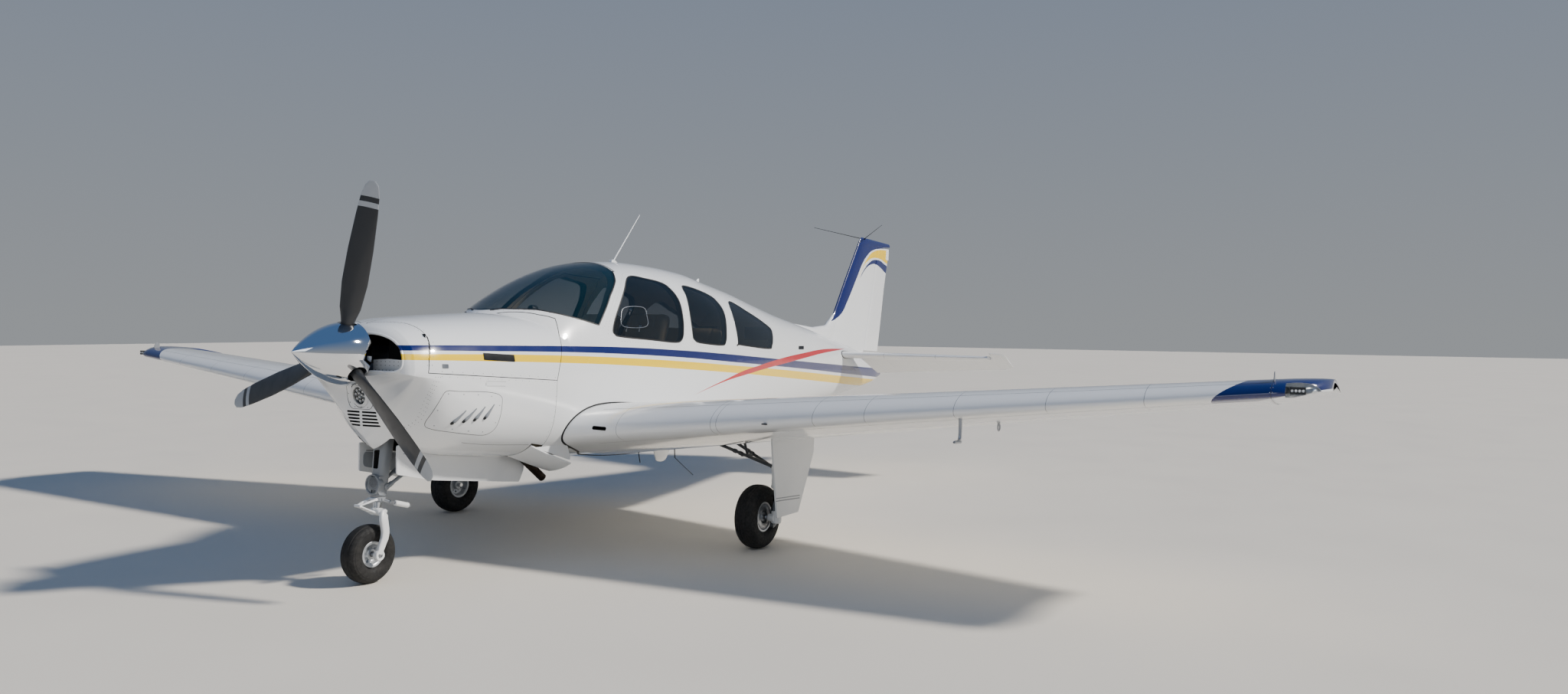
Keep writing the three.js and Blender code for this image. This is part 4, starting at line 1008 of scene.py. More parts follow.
COWL_ROWS = (
    (0.42, 0.33, 0.13, -0.135, -0.1, 2.3, 1.3), (0.455, 0.405, 0.166, -0.19, -0.11, 2.4, 1.15),
    (0.487, 0.44, 0.184, -0.262, -0.117, 2.5, 1.1), (0.503, 0.448, 0.191, -0.43, -0.12, 2.5, 1.1),
    (0.56, 0.466, 0.206, -0.535, -0.125, 2.55, 1.15), (0.64, 0.485, 0.224, -0.586, -0.13, 2.6, 1.5),
    (0.8, 0.503, 0.244, -0.603, -0.135, 2.6, 2.4),
    (0.973, 0.52, 0.263, -0.622, -0.14, 2.6, 2.9), (1.415, 0.548, 0.303, -0.65, -0.14, 2.6, 3.2),
    (1.75, 0.566, 0.318, -0.665, -0.12, 2.6, 3.5), (2.1, 0.58, 0.33, -0.668, -0.1, 2.6, 3.6),
)
CABIN_ROWS = (
    (1.4, 0.3, 0.29, -0.64, -0.14, 2.0, 3.2), (1.5, 0.44, 0.357, -0.65, -0.14, 2.0, 3.2),
    (1.677, 0.545, 0.459, -0.662, -0.13, 2.05, 3.4), (1.926, 0.574, 0.581, -0.668, -0.11, 2.2, 3.5),
    (2.192, 0.585, 0.68, -0.668, -0.1, 2.35, 3.6), (2.446, 0.59, 0.738, -0.668, -0.09, 2.45, 3.6),
    (2.81, 0.592, 0.775, -0.668, -0.08, 2.5, 3.6), (3.43, 0.59, 0.767, -0.66, -0.06, 2.5, 3.4),
    (3.815, 0.57, 0.718, -0.64, -0.05, 2.45, 3.1), (4.229, 0.53, 0.663, -0.61, -0.04, 2.4, 2.9),
    (4.574, 0.485, 0.606, -0.575, -0.03, 2.35, 2.7), (5.105, 0.405, 0.524, -0.525, -0.01, 2.25, 2.5),
    (5.533, 0.34, 0.47, -0.458, 0.0, 2.2, 2.35), (6.195, 0.245, 0.39, -0.352, 0.01, 2.1, 2.2),
    (6.6, 0.19, 0.33, -0.296, 0.01, 2.0, 2.1), (7.2, 0.115, 0.235, -0.2, 0.01, 2.0, 2.0),
    (7.68, 0.06, 0.15, -0.12, 0.01, 2.0, 2.0), (7.896, 0.02, 0.03, -0.05, -0.01, 2.0, 2.0),
)


COWL_START, COWL_END = COWL_ROWS[0][0], COWL_ROWS[-1][0]
CABIN_START, CABIN_END = CABIN_ROWS[0][0], CABIN_ROWS[-1][0]
NOSE_END = 0.64  # the rings are closer together ahead of this station
STEP = 0.0005  # half a central difference, in metres


def differences(field: Callable[[Array], Array], points: Array) -> Array:
    """How much a field grows along each axis, from STEP before each point to STEP past it."""
    return np.stack([field(points + step) - field(points - step) for step in np.eye(3) * STEP], -1)


class Hull:
    """A body whose sections are superellipses, each half with its own height and power."""

    def __init__(self, rows: Sequence[Sequence[float]]) -> None:
        """Keeps the rows and the slopes at each of them."""
        self.rows = np.array(rows)
        x, values = self.rows[:, 0], self.rows[:, 1:]
        low = np.concatenate([[0], np.arange(len(x) - 1)])
        high = np.concatenate([np.arange(1, len(x)), [len(x) - 1]])
        self.slopes = (values[high] - values[low]) / (x[high] - x[low])[:, None]

    def section(self, x: Array | float) -> Array:
        """Half width, top, bottom, mid, upper and lower power at each x, by a cubic Hermite curve.

        Args:
            x: stations of any shape.

        Returns:
            The six values, first axis, over the stations.
        """
        x = np.asarray(x, float)
        rows = self.rows
        i = np.clip(np.searchsorted(rows[:, 0], x) - 1, 0, len(rows) - 2)
        span = rows[i + 1, 0] - rows[i, 0]
        t = (np.clip(x, rows[0, 0], rows[-1, 0]) - rows[i, 0]) / span
        t, span = t[..., None], span[..., None]
        value = ((1 + 2 * t) * (1 - t) ** 2 * rows[i, 1:] + t * (1 - t) ** 2 * span * self.slopes[i]
                 + t * t * (3 - 2 * t) * rows[i + 1, 1:] + t * t * (t - 1) * span * self.slopes[i + 1])
        return np.moveaxis(value, -1, 0)

    def rings(self, stations: Array, count: int = 112, wall: float = 0.0) -> Array:
        """Rings of points: y = half*sin^(2/p), z = mid + height*cos^(2/p), each set in by the wall."""
        half, top, bottom, mid, upper, lower = (v[:, None] for v in self.section(stations))
        angle = turns(count)[None]
        sine, cosine = np.sin(angle), np.cos(angle)
        power = 2 / np.where(cosine >= 0, upper, lower)
        height = np.where(cosine >= 0, top - mid, mid - bottom) - wall
        y = powered(sine, power) * (half - wall)
        z = mid + powered(cosine, power) * height
        return grid(np.asarray(stations)[:, None], y, z)

    def solid(self, start: float, end: float, wall: float = 0.0, kind: Face = Face.OUTER,
              pitch: float = 0.035) -> Solid:
        """The hull between two stations, with rings closer together at the nose."""
        nose = np.linspace(start, NOSE_END, 40)[:-1] if start < 0.6 else np.array([])
        first = max(start, NOSE_END) if len(nose) else start
        stations = np.concatenate([nose, np.linspace(first, end, max(3, int((end - first) / pitch)))])
        return loft(self.rings(stations, wall=wall), kind)

    def field(self, points: Array) -> Array:
        """How far out a point lies: 0 on the skin, negative inside; (|y/half|^p + |z/height|^p)^(1/p) - 1."""
        half, mid, power, height = self.half_at(points[..., 0], points[..., 2])
        total = np.abs(points[..., 1] / half) ** power + np.abs((points[..., 2] - mid) / height) ** power
        return total ** (1 / power) - 1

    def normals(self, points: Array) -> Array:
        """Unit normals: the field's slope."""
        return unit(differences(self.field, points))

    def half_at(self, x: Array, z: Array) -> tuple[Array, Array, Array, Array]:
        """Half width and mid, and the power and height of the half, upper or lower, that each z lies in."""
        half, top, bottom, mid, upper, lower = self.section(x)
        above = z >= mid
        return half, mid, np.where(above, upper, lower), np.where(above, top - mid, mid - bottom)

    def bead(self, line: Array, half: float, height: float) -> tuple[Array, list[Array]]:
        """A closed bead along a line of the skin."""
        return bent(line, self.normals(line), half, height)

    def side(self, flat: Array, sign: float) -> Array:
        """Points of the skin at rows of x and z, on one side: y = half*(1 - |z/height|^p)^(1/p)."""
        half, mid, power, height = self.half_at(flat[:, 0], flat[:, 1])
        share = np.clip(1 - np.abs((flat[:, 1] - mid) / height) ** power, 0, 1)
        return np.stack([flat[:, 0], sign * half * share ** (1 / power), flat[:, 1]], -1)

    def crown(self, flat: Array, sign: float = 1.0) -> Array:
        """Points of the skin at rows of x and y, above (sign 1) or below (sign -1) the widest line."""
        half, top, bottom, mid, upper, lower = self.section(flat[:, 0])
        power = upper if sign > 0 else lower
        height = (top - mid) if sign > 0 else (bottom - mid)
        share = np.clip(1 - np.abs(flat[:, 1] / half) ** power, 0, 1)
        return np.stack([flat[:, 0], flat[:, 1], mid + height * share ** (1 / power)], -1)


COWL, CABIN = Hull(COWL_ROWS), Hull(CABIN_ROWS)


def skin_normals(points: Array) -> Array:
    """The normals of whichever hull a point lies closer to."""
    on_cowl = np.abs(COWL.field(points)) < np.abs(CABIN.field(points))
    on_cowl &= points[..., 0] < COWL_END
    return np.where(on_cowl[..., None], COWL.normals(points), CABIN.normals(points))


def skin_field(points: Array) -> Array:
    """The joined hulls' field: the cowl's ahead of the cabin, the cabin's behind the cowl, the lower between."""
    cowl, cabin = COWL.field(points), CABIN.field(points)
    x = points[..., 0]
    return np.where(x < CABIN_START, cowl, np.where(x > COWL_END, cabin, np.minimum(cowl, cabin)))


def on_skin(points: Outline) -> tuple[Array, Array]:
    """Points moved onto the skin, and the normals there: each step is field/|slope|^2 along the slope.

    Args:
        points: rows of x, y and z close to the skin.

    Returns:
        The points on the skin and its unit normals.
    """
    place = np.asarray(points, float).copy()
    for _ in range(8):
        slope = differences(skin_field, place) / (2 * STEP)
        place -= slope * (skin_field(place) / np.maximum(np.sum(slope**2, -1), 1e-9))[..., None]
    return place, skin_normals(place)


def mirrored(points: Outline, side: float) -> Array:
    """Points given for the port side, on either side."""
    place = np.asarray(points, float)
    return np.stack([place[:, 0], -side * place[:, 1], place[:, 2]], -1)


def outer_point(flat: Array, sign: float) -> Array:
    """Points on the outermost of the two hulls, at rows of x and z on one side."""
    cowl, cabin = COWL.side(flat, sign), CABIN.side(flat, sign)
    use = (flat[:, 0] < COWL_END) & ((np.abs(cowl[:, 1]) > np.abs(cabin[:, 1])) | (flat[:, 0] < CABIN_START))
    return np.where(use[:, None], cowl, cabin)


WINDOWS: dict[str, Outline] = {
    "front": ((2.185, 0.237), (2.193, 0.197), (2.267, 0.182), (2.6, 0.174), (2.909, 0.167), (3.0, 0.195),
              (3.031, 0.27), (3.05, 0.374), (3.06, 0.494), (3.02, 0.575), (2.95, 0.622), (2.78, 0.64),
              (2.58, 0.64), (2.421, 0.519), (2.26, 0.35)),
    "middle": ((3.15, 0.235), (3.165, 0.199), (3.248, 0.175), (3.57, 0.168), (3.644, 0.197), (3.681, 0.3),
               (3.717, 0.427), (3.695, 0.505), (3.59, 0.575), (3.24, 0.625), (3.19, 0.53), (3.155, 0.38)),
    "rear": ((3.862, 0.2), (3.885, 0.182), (4.48, 0.167), (4.58, 0.2), (4.651, 0.309), (4.613, 0.367),
             (4.25, 0.476), (3.91, 0.535)),
}
LAMP_Z = -0.248  # the height of the landing lamp's middle
PANE_Y = (0.15, 0.9)  # between these distances from the centre line a side window is cut and filled
WINDSHIELD: Outline = ((1.38, 0.306), (1.5, 0.334), (1.65, 0.337), (1.8, 0.308), (1.97, 0.272), (2.05, 0.254),
                       (2.14, 0.35), (2.262, 0.478), (2.4, 0.595), (2.465, 0.67), (2.48, 0.95), (1.38, 0.95))
CABIN_DOOR: Outline = ((2.084, -0.15), (3.112, -0.15), (3.112, 0.6), (3.05, 0.668), (2.56, 0.668),
                       (2.48, 0.626), (2.33, 0.5), (2.084, 0.225))
BAGGAGE_DOOR: Outline = ((3.94, -0.37), (4.44, -0.37), (4.44, 0.09), (3.94, 0.09))
COWL_DOOR: Outline = ((0.35, -0.095), (1.75, -0.138), (1.75, 0.52), (0.35, 0.52))
BOWL_SEAM = ((0, 0.474), (29, 0.552), (43, 0.598), (55, 0.615), (66, 0.62), (73, 0.608), (84, 0.582), (95, 0.573),
             (180, 0.573))  # degrees from the crown, and x
SEAM: Outline = ((1.6, -0.14), (1.621, -0.048), (1.691, 0.156), (1.722, 0.3))
DECK: Outline = ((1.398, 0.06), (1.44, 0.112), (1.508, 0.192), (1.636, 0.345), (1.76, 0.458))


def window_outline(name: str) -> Array:
    """A side window's outline with its corners drawn round."""
    return smooth_path(WINDOWS[name], 5, closed=True)


@dataclass
class Fuselage:
    """Cowling, cabin shell, tail cone, their doors and the glazing."""

    cowl_wall: float = 0.014
    cabin_wall: float = 0.045
    tail_wall: float = 0.012
    door_gap: float = 0.0046
    spine_half: float = 0.025
    firewall_x: float = 1.6
    bulkhead_x: float = 4.62
    tail_joint_x: float = 4.66
    lamp_hole: float = 0.0745
    shaft_hole: float = 0.11

    def ahead_of_seam(self, gap: float) -> Solid:
        """The room ahead of the joint between cowling and cabin, drawn back by a gap."""
        side = ((-FAR, -FAR), (1.6, -FAR), *SEAM, (1.722, FAR), (-FAR, FAR))
        deck = (*DECK, (FAR, 0.458), (FAR, -0.458), *[(x, -y) for x, y in reversed(DECK)])
        return prism(grown(side, -gap), "xz").minus(prism(grown(deck, gap), "xy", 0.18, FAR))

    def bowl_room(self, shift: float) -> Solid:
        """The room ahead of the nose bowl's seam: a curtain about the centre line whose x depends on the angle."""
        angle = np.linspace(-180, 180, 120, endpoint=False)
        x = np.interp(np.abs(angle), [a for a, _ in BOWL_SEAM], [x for _, x in BOWL_SEAM]) + shift
        y, z = np.sin(np.radians(angle)), np.cos(np.radians(angle))
        edge = np.stack([x, y, z - 0.06], -1)
        hub = np.stack([x, 0.02 * y, 0.02 * z - 0.06], -1)
        back = edge.copy()
        back[:, 0] = -1.0
        return loft(np.stack([back, edge, hub]), Face.RIM)

    def shells(self) -> None:
        """Makes the whole hull, and the two hulls inside its skin."""
        self.whole = COWL.solid(COWL_START, COWL_END).plus(CABIN.solid(CABIN_START, CABIN_END))
        self.inside = CABIN.solid(1.4, 3.43, self.cowl_wall, Face.INNER).plus(
            COWL.solid(0.44, 2.1, self.cowl_wall, Face.INNER))
        self.cowl_skin = self.whole.minus(self.inside)

    def inlet_outline(self, side: float, grow: float = 0.0) -> Array:
        """One cooling inlet seen from ahead: an upright D beside the spinner."""
        corners = ((0.085, 0.125), (0.2, 0.122), (0.3, 0.09), (0.362, 0.04), (0.386, -0.02), (0.385, -0.075),
                   (0.35, -0.1), (0.2, -0.1), (0.085, -0.1))
        outline = grown(rounded(corners, 0.05, 5), grow)
        return outline * [side, 1]

    def cowling(self) -> None:
        """The cowling: nose bowl, lower shell and spine, cut for doors, inlets, lamp, grille and nose gear."""
        room = self.ahead_of_seam(0.0012)
        doors = prism(COWL_DOOR, "xz").minus(
            box([-FAR, -self.spine_half, -FAR], [FAR, self.spine_half, FAR]), self.bowl_room(-self.door_gap))
        tools = [doors, box([0.6, -0.165, -0.9], [1.44, 0.165, -0.5])]
        tools += [prism(self.inlet_outline(side), "yz", 0.38, 0.6, Face.INNER) for side in SIDES.values()]
        tools.append(pin((0.38, 0, LAMP_Z), (0.58, 0, LAMP_Z), self.lamp_hole, 64, Face.INNER))
        tools.append(pin((0.38, 0, 0), (0.56, 0, 0), self.shaft_hole, 64, Face.INNER))
        slot = rounded(((-0.058, -0.0055), (0.058, -0.0055), (0.058, 0.0055), (-0.058, 0.0055)), 0.005, 4)
        for y in (-0.068, 0.068):
            for row in range(5):
                tools.append(prism(slot + [y, -0.345 - 0.02 * row], "yz", 0.4, 0.59, Face.INNER))
        for side in SIDES.values():
            low, high = span_y(side, 0.158, 0.454)
            tools.append(box([1.488, low, -0.9], [FAR, high, -0.5]))
        shell = self.cowl_skin.within(room).minus(*tools).largest()
        show("cowling_skin", shell, "airframe", (Kit.livery, Kit.shade_lining, Kit.shade_lining), ("cowling",),
             on_hull=True)
        zone = prism(grown(COWL_DOOR, -self.door_gap), "xz").within(self.ahead_of_seam(0.0034))
        for name, side in SIDES.items():
            low, high = span_y(side, self.spine_half + self.door_gap, FAR)
            half = box([-FAR, low, -FAR], [FAR, high, FAR])
            door = self.cowl_skin.within(zone, half).minus(self.bowl_room(0.0)).largest()
            show(f"cowl_door_skin_{name}", door, f"cowl_door_{name}", (Kit.livery, Kit.shade_lining, Kit.shade_lining),
                 (f"cowl_door_{name}",), on_hull=True)

    def cabin(self) -> None:
        """The cabin's shell: thick walls with window and door openings, the air exits and the belly."""
        under = CABIN.solid(1.4, 7.2, self.cabin_wall, Face.INNER)
        foot = box([-FAR, -FAR, -0.49], [FAR, FAR, FAR], Face.INNER)
        belly = slab(1.96, self.bulkhead_x, Face.INNER)
        span = slab(self.firewall_x + 0.03, self.bulkhead_x, Face.INNER)
        inside = under.within(span, foot.plus(belly))
        shoulder = self.inside.within(slab(self.firewall_x, 1.71))
        outside = self.whole.minus(self.ahead_of_seam(-0.0012)).plus(shoulder)
        outside = outside.within(slab(-FAR, self.tail_joint_x - 0.0004))
        tools = [inside, prism(WINDSHIELD, "xz")]
        for side in SIDES.values():
            low, high = span_y(side, 0.158, 0.442)
            tools.append(box([self.firewall_x - 0.01, low, -0.9], [1.89, high, -0.525], Face.INNER))
            tools += [prism(window_outline(name), "xz", *span_y(side, *PANE_Y)) for name in WINDOWS]
        tools.append(prism(grown(CABIN_DOOR, self.door_gap), "xz", 0.06, 0.9))
        tools.append(prism(grown(BAGGAGE_DOOR, self.door_gap), "xz", 0.06, 0.9))
        shell = outside.minus(*tools).largest()
        show("cabin_skin", shell, "airframe", (Kit.livery, Kit.trim, Kit.shade_lining), ("cabin_shell",),
             on_hull=True)
        wall = CABIN.solid(1.9, 4.8).minus(CABIN.solid(1.85, 4.9, self.cabin_wall, Face.INNER))
        door = wall.within(prism(CABIN_DOOR, "xz", 0.06, 0.9)).minus(prism(window_outline("front"), "xz", *PANE_Y))
        hatch = wall.within(prism(BAGGAGE_DOOR, "xz", 0.06, 0.9))
        for name, piece in (("cabin_door", door), ("baggage_door", hatch)):
            show(f"{name}_skin", piece, name, (Kit.livery, Kit.trim, Kit.shade_lining), (name,), on_hull=True)

    def tail_cone(self) -> None:
        """The tail cone, hollow, with the elevator's tube bored through it."""
        outer = CABIN.solid(self.tail_joint_x, CABIN_END)
        inner = CABIN.solid(self.tail_joint_x - 0.05, 7.1, self.tail_wall, Face.INNER)
        bore = pin((6.95, -0.4, 0.165), (6.95, 0.4, 0.165), 0.03, 32, Face.RIM)
        show("tail_cone_skin", outer.minus(inner, bore), "airframe", (Kit.livery, Kit.shade_lining, Kit.shade_lining),
             ("tail_cone",), on_hull=True)

    def glazing(self) -> None:
        """The windshield and the six side windows: curved sheets set into their openings, with black edges."""
        sheet = CABIN.solid(1.4, 4.8).minus(CABIN.solid(1.35, 4.9, 0.008, Face.INNER))
        screen = sheet.within(prism(grown(WINDSHIELD, -0.0008), "xz")).minus(COWL.solid(COWL_START, COWL_END))
        screen = screen.within(slab(1.404, FAR)).largest()
        show("windshield_sheet", screen, "airframe", (Kit.windshield, Kit.windshield, Kit.seal),
             ("windshield",), on_hull=True)
        for name in WINDOWS:
            for where, side in SIDES.items():
                body = "cabin_door" if (name, where) == ("front", "starboard") else "airframe"
                opening = grown(window_outline(name), -0.0008)
                pane = sheet.within(prism(opening, "xz", *span_y(side, *PANE_Y))).largest()
                show(f"window_sheet_{name}_{where}", pane, body, (Kit.window, Kit.window, Kit.seal),
                     (f"window_{name}_{where}",), on_hull=True)
                line = CABIN.side(window_outline(name), side)
                show(f"window_seal_{name}_{where}", CABIN.bead(line, 0.006, 0.0016), body, Kit.seal)

    def build(self) -> None:
        """Makes every piece of the fuselage."""
        self.shells()
        self.cowling()
        self.cabin()
        self.tail_cone()
        self.glazing()


# Wing


def aerofoil(u: Array, thick: Array | float) -> tuple[Array, Array]:
    """Camber and half thickness of a five-digit section, as shares of the chord.

    Args:
        u: place along the chord, 0 to 1.
        thick: the section's thickness over its chord.

    Returns:
        Camber k/6(u^3 - 3mu^2 + m^2(3-m)u) ahead of m and k m^3/6 (1-u) behind it, and the half thickness.
    """
    m, k = 0.2025, 15.957
    camber = np.where(u < m, k / 6 * (u**3 - 3 * m * u**2 + m * m * (3 - m) * u), k * m**3 / 6 * (1 - u))
    half = 5 * thick * (0.2969 * np.sqrt(u) - 0.126 * u - 0.3516 * u**2 + 0.2843 * u**3 - 0.1015 * u**4)
    return camber, half


def section_round(steps: int) -> tuple[Array, Array]:
    """Places along the chord, back along the top and then along the bottom, and 1 or -1 for each."""
    u = (1 - np.cos(np.linspace(0, math.pi, steps + 1))) / 2
    return np.concatenate([u[::-1], u[1:]]), np.concatenate([np.ones(steps + 1), -np.ones(steps)])


@dataclass
class Wing:
    """One wing panel, its tip, flap and aileron."""

    side: float
    name: str
    root_y: float = 0.4
    root_station: float = 0.53
    tip_station: float = 4.95
    tip_joint: float = 4.84
    outer: float = 5.105
    root_le: tuple[float, float] = (1.722, -0.478)
    sweep: float = 0.09
    dihedral: float = math.radians(5.5)
    chords: tuple[float, float] = (2.13, 1.07)
    twists: tuple[float, float] = (math.radians(2.2), math.radians(0.8))
    thicks: tuple[float, float] = (0.165, 0.12)
    hinge: float = 0.755
    flap: tuple[float, float] = (0.7, 2.628)
    aileron: tuple[float, float] = (2.656, 4.64)
    gap: float = 0.006
    end_gap: float = 0.014
    edge_half: float = 0.0012
    tip_sweep: float = 0.37
    tip_rise: float = 0.82
    tip_power: float = 0.55

    def at(self, y: Array) -> dict[str, Array]:
        """Leading edge, chord, twist and thickness at distances from the centre."""
        share = (y - self.root_station) / (self.tip_station - self.root_station)

        def mix(pair: tuple[float, float]) -> Array:
            """The value between the root's and the tip's."""
            return pair[0] + (pair[1] - pair[0]) * share

        return {"x": self.root_le[0] + self.sweep * (y - self.root_station),
                "z": self.root_le[1] + math.tan(self.dihedral) * (y - self.root_station),
                "chord": mix(self.chords), "twist": mix(self.twists), "thick": mix(self.thicks)}

    def point(self, section: dict[str, Array], y: Array, u: Array, v: Array) -> Array:
        """Points at u along and v above the chord line, turned by the twist about the leading edge."""
        cosine, sine = np.cos(section["twist"]), np.sin(section["twist"])
        x = section["x"] + section["chord"] * (u * cosine + v * sine)
        z = section["z"] + section["chord"] * (v * cosine - u * sine)
        return grid(x, self.side * y, z)

    def surface(self, y: Array, u: Array, sign: float | Array) -> Array:
        """Points of the upper (sign 1) or lower (sign -1) surface."""
        section = self.at(y)
        camber, half = aerofoil(u, section["thick"])
        return self.point(section, y, u, camber + sign * np.maximum(half, self.edge_half))

    def rings(self, stations: Array, steps: int = 44) -> Array:
        """Rings round the section at each station: back along the top, then along the bottom."""
        around, sign = section_round(steps)
        return self.surface(np.asarray(stations)[:, None], around[None], sign[None])

    def moving_rings(self, stations: Array) -> Array:
        """Rings of a flap or aileron: a round nose about the hinge, then the section's own two surfaces."""
        y = np.asarray(stations)[:, None]
        section = self.at(y)
        camber, half = aerofoil(np.float64(self.hinge), section["thick"])
        aft = np.linspace(0.79, 1, 14)
        edge_camber, edge_half = aerofoil(aft[None], section["thick"])
        thick = np.maximum(edge_half, self.edge_half)
        angle = np.linspace(math.pi / 2, 1.5 * math.pi, 17)[None]
        nose_u, nose_v = self.hinge + half * np.cos(angle), camber + half * np.sin(angle)
        u = np.concatenate([np.broadcast_to(aft[::-1], thick.shape), nose_u, np.broadcast_to(aft, thick.shape)], 1)
        v = np.concatenate([(edge_camber + thick)[:, ::-1], nose_v, edge_camber - thick], 1)
        return self.point(section, y, u, v)

    def cove(self, span: tuple[float, float]) -> Solid:
        """The room behind the fixed wing for one moving surface, seen from above."""
        def edge(y: float) -> float:
            """The cove's front edge: ahead of the round nose by the gap."""
            section = self.at(np.float64(y))
            half = aerofoil(np.float64(self.hinge), section["thick"])[1]
            return float(section["x"] + section["chord"] * (self.hinge - half) - self.gap * 0.7)

        a, b = span[0] - self.end_gap, span[1] + self.end_gap
        corners = ((edge(a), self.side * a), (edge(b), self.side * b), (FAR, self.side * b), (FAR, self.side * a))
        return prism(corners, "xy", -FAR, FAR, Face.INNER)

    def tip_rings(self, shares: Array, steps: int = 44) -> Array:
        """Rings of the tip: its leading edge curves back as a quarter ellipse and its underside rises."""
        around, sign = (values[None] for values in section_round(steps))
        share = np.asarray(shares)[:, None]
        y = self.tip_joint + share * (self.outer - self.tip_joint)
        section = self.at(y)
        shift = self.tip_sweep * (1 - np.sqrt(np.maximum(0, 1 - share**2)))
        narrowed = dict(section, x=section["x"] + shift, chord=section["chord"] - shift)
        camber, half = aerofoil(around, section["thick"])
        crest = camber + half
        under = crest - 2 * np.maximum(half * (1 - self.tip_rise * share**3), self.edge_half * 2)
        v = np.where(sign > 0, crest, under) * (section["chord"] / narrowed["chord"]) ** self.tip_power
        return self.point(narrowed, y, around, v)

    def root_line(self) -> Array:
        """Where the section's outline meets the fuselage: y is set to the hull's own, over and over."""
        around, sign = (values[:-1] for values in section_round(59))
        y = np.full(len(around), self.root_station)
        for _ in range(8):
            points = self.surface(y, around, sign)
            hull = outer_point(points[:, [0, 2]], 1.0)
            y = np.clip(hull[:, 1], 0.3, 0.7)
        points[:, 1] = self.side * y
        return points

    def edge_at(self, y: float) -> Array:
        """The leading edge's point."""
        section = self.at(np.float64(y))
        return np.array([float(section["x"]), self.side * y, float(section["z"])])

    def tip(self) -> None:
        """The tip, with the lamps in its leading edge behind a clear lens."""
        shares = np.sin(np.linspace(0, math.pi / 2, 34))
        whole = loft(self.tip_rings(shares))
        mid = self.edge_at(4.99)
        pocket = ((mid[0] - 0.1, 4.905), (mid[0] + 0.062, 4.905), (mid[0] + 0.15, 5.04), (mid[0] + 0.2, 5.085),
                  (mid[0] - 0.1, 5.085))
        corners = [(x, self.side * y) for x, y in pocket]
        room = prism(corners, "xy", mid[2] - 0.03, mid[2] + 0.2, Face.INNER)
        tip_paint = TipPaint("wing_tip_paint", "eef0f1")
        show(f"wing_tip_skin_{self.name}", whole.minus(room).largest(), "airframe", (tip_paint, Kit.lamp, Kit.lamp),
             (f"wing_tip_{self.name}",), crease=50)
        show(f"wing_tip_lens_{self.name}", whole.within(prism(grown(corners, -0.0015), "xy", mid[2] - 0.0285,
             mid[2] + 0.2)).largest(), "airframe", Kit.lens, crease=50)
        y0, y1 = span_y(self.side, 4.925, 5.0)
        body = box([mid[0] + 0.034, y0, mid[2] - 0.012], [mid[0] + 0.05, y1, mid[2] + 0.026], Face.OUTER)
        show(f"tip_lamp_body_{self.name}", body, "airframe", Kit.lamp_dark)
        cells = []
        for k in range(4):
            at = (mid[0] + 0.0335, self.side * (4.936 + 0.0175 * k), mid[2] + 0.007)
            cup = [(0.0075, 0.002), (0.0075, -0.001), (0.005, -0.0012), (0.0003, 0.0006)]
            cells.append(dome(cup, at, (1, 0, 0), 12))
        bulb = [(0.0003, -0.016), (0.008, -0.014), (0.013, -0.006), (0.014, 0.004), (0.014, 0.02), (0.0003, 0.021)]
        cells.append(dome(bulb, (mid[0] + 0.094, self.side * 5.035, mid[2] + 0.008), (1, 0, 0), 20))
        show(f"tip_lamp_cells_{self.name}", joined(cells), "airframe", Kit.lamp)

    def fittings(self) -> None:
        """The joint band and its screws, leading-edge joint, small blade, vane, tie-down ring and pitot mast."""
        points = []
        for offset in (-0.006, 0.006):
            ring = self.rings(np.array([self.tip_joint + offset]))[0]
            ring = ring[ring[:, 0] < ring[:, 0].min() + 0.5]
            points.append(along(ring, 0.035))
        place = np.concatenate(points)
        section = self.at(np.abs(place[:, 1]))
        centre = np.stack([section["x"] + 0.3 * section["chord"], place[:, 1], section["z"] + 0.012], -1)
        out = (place - centre) * [0.12, 0, 1]
        show(f"wing_tip_screws_{self.name}", studs(place, unit(out), 0.003, 0.0008), "airframe", Kit.steel)
        ring = self.rings(np.array([self.tip_joint]))[0][:-1]
        centre = ring.mean(0)
        normals = unit((ring - centre) * [0.12, 0, 1])
        show(f"wing_tip_joint_{self.name}", bent(ring, normals, 0.0012, 0.0004), "airframe", Kit.seam)
        y = np.linspace(0.72, self.tip_joint - 0.01, 60)
        beads = []
        for u, sign in ((0.07, 1.0), (0.06, -1.0)):
            line = self.surface(y, np.full(60, u), sign)
            beads.append(bent(line, np.tile([-0.35, 0, sign * 0.94], (60, 1)), 0.0011, 0.0003, closed=False))
        show(f"wing_edge_joint_{self.name}", joined(beads), "airframe", Kit.seam)
        base = self.surface(np.array([4.845]), np.array([0.1]), 1.0)[0]
        shape = rounded(((-0.03, -0.004), (0.03, -0.004), (0.026, 0.05), (-0.012, 0.05)), 0.02, 6)
        low, high = span_y(self.side, 4.843, 4.847)
        show(f"tip_blade_{self.name}", prism(shape + [base[0], base[2]], "xz", low, high), "airframe", Kit.grey_paint_and_shade,
             crease=40)
        ring_at = (2.42, self.side * 3.3)
        tie = [rod((*ring_at, -0.235), (*ring_at, -0.3), 0.0075, sides=16, edge=0.001)]
        cosine, sine = np.cos(turns(28)), np.sin(turns(28))
        loop = grid(ring_at[0] + 0.019 * cosine, ring_at[1], -0.32 + 0.021 * sine)
        tie.append(bar(loop, 0.0048, 10, closed=True, up=(0, 1, 0)))
        show(f"tie_down_{self.name}", joined(tie), "airframe", Kit.steel)
        if self.side < 0:
            mast = smooth_path([[2.03, -3.2, -0.225], [2.03, -3.2, -0.34], [2.022, -3.2, -0.385], [1.99, -3.2, -0.398],
                                [1.96, -3.2, -0.398]], 8)
            tube = [bar(mast, np.linspace(0.0105, 0.0098, len(mast)), 20, up=(0, 1, 0))]
            tube.append(dome([(0.0003, 0.012), (0.0042, 0.012), (0.0046, 0), (0.0075, 0.002), (0.0106, 0.03),
                              (0.0106, 0.1), (0.0003, 0.101)], (1.935, -3.2, -0.398), (1, 0, 0), 24))
            show("pitot_tube", joined(tube), "airframe", Kit.steel, crease=45)
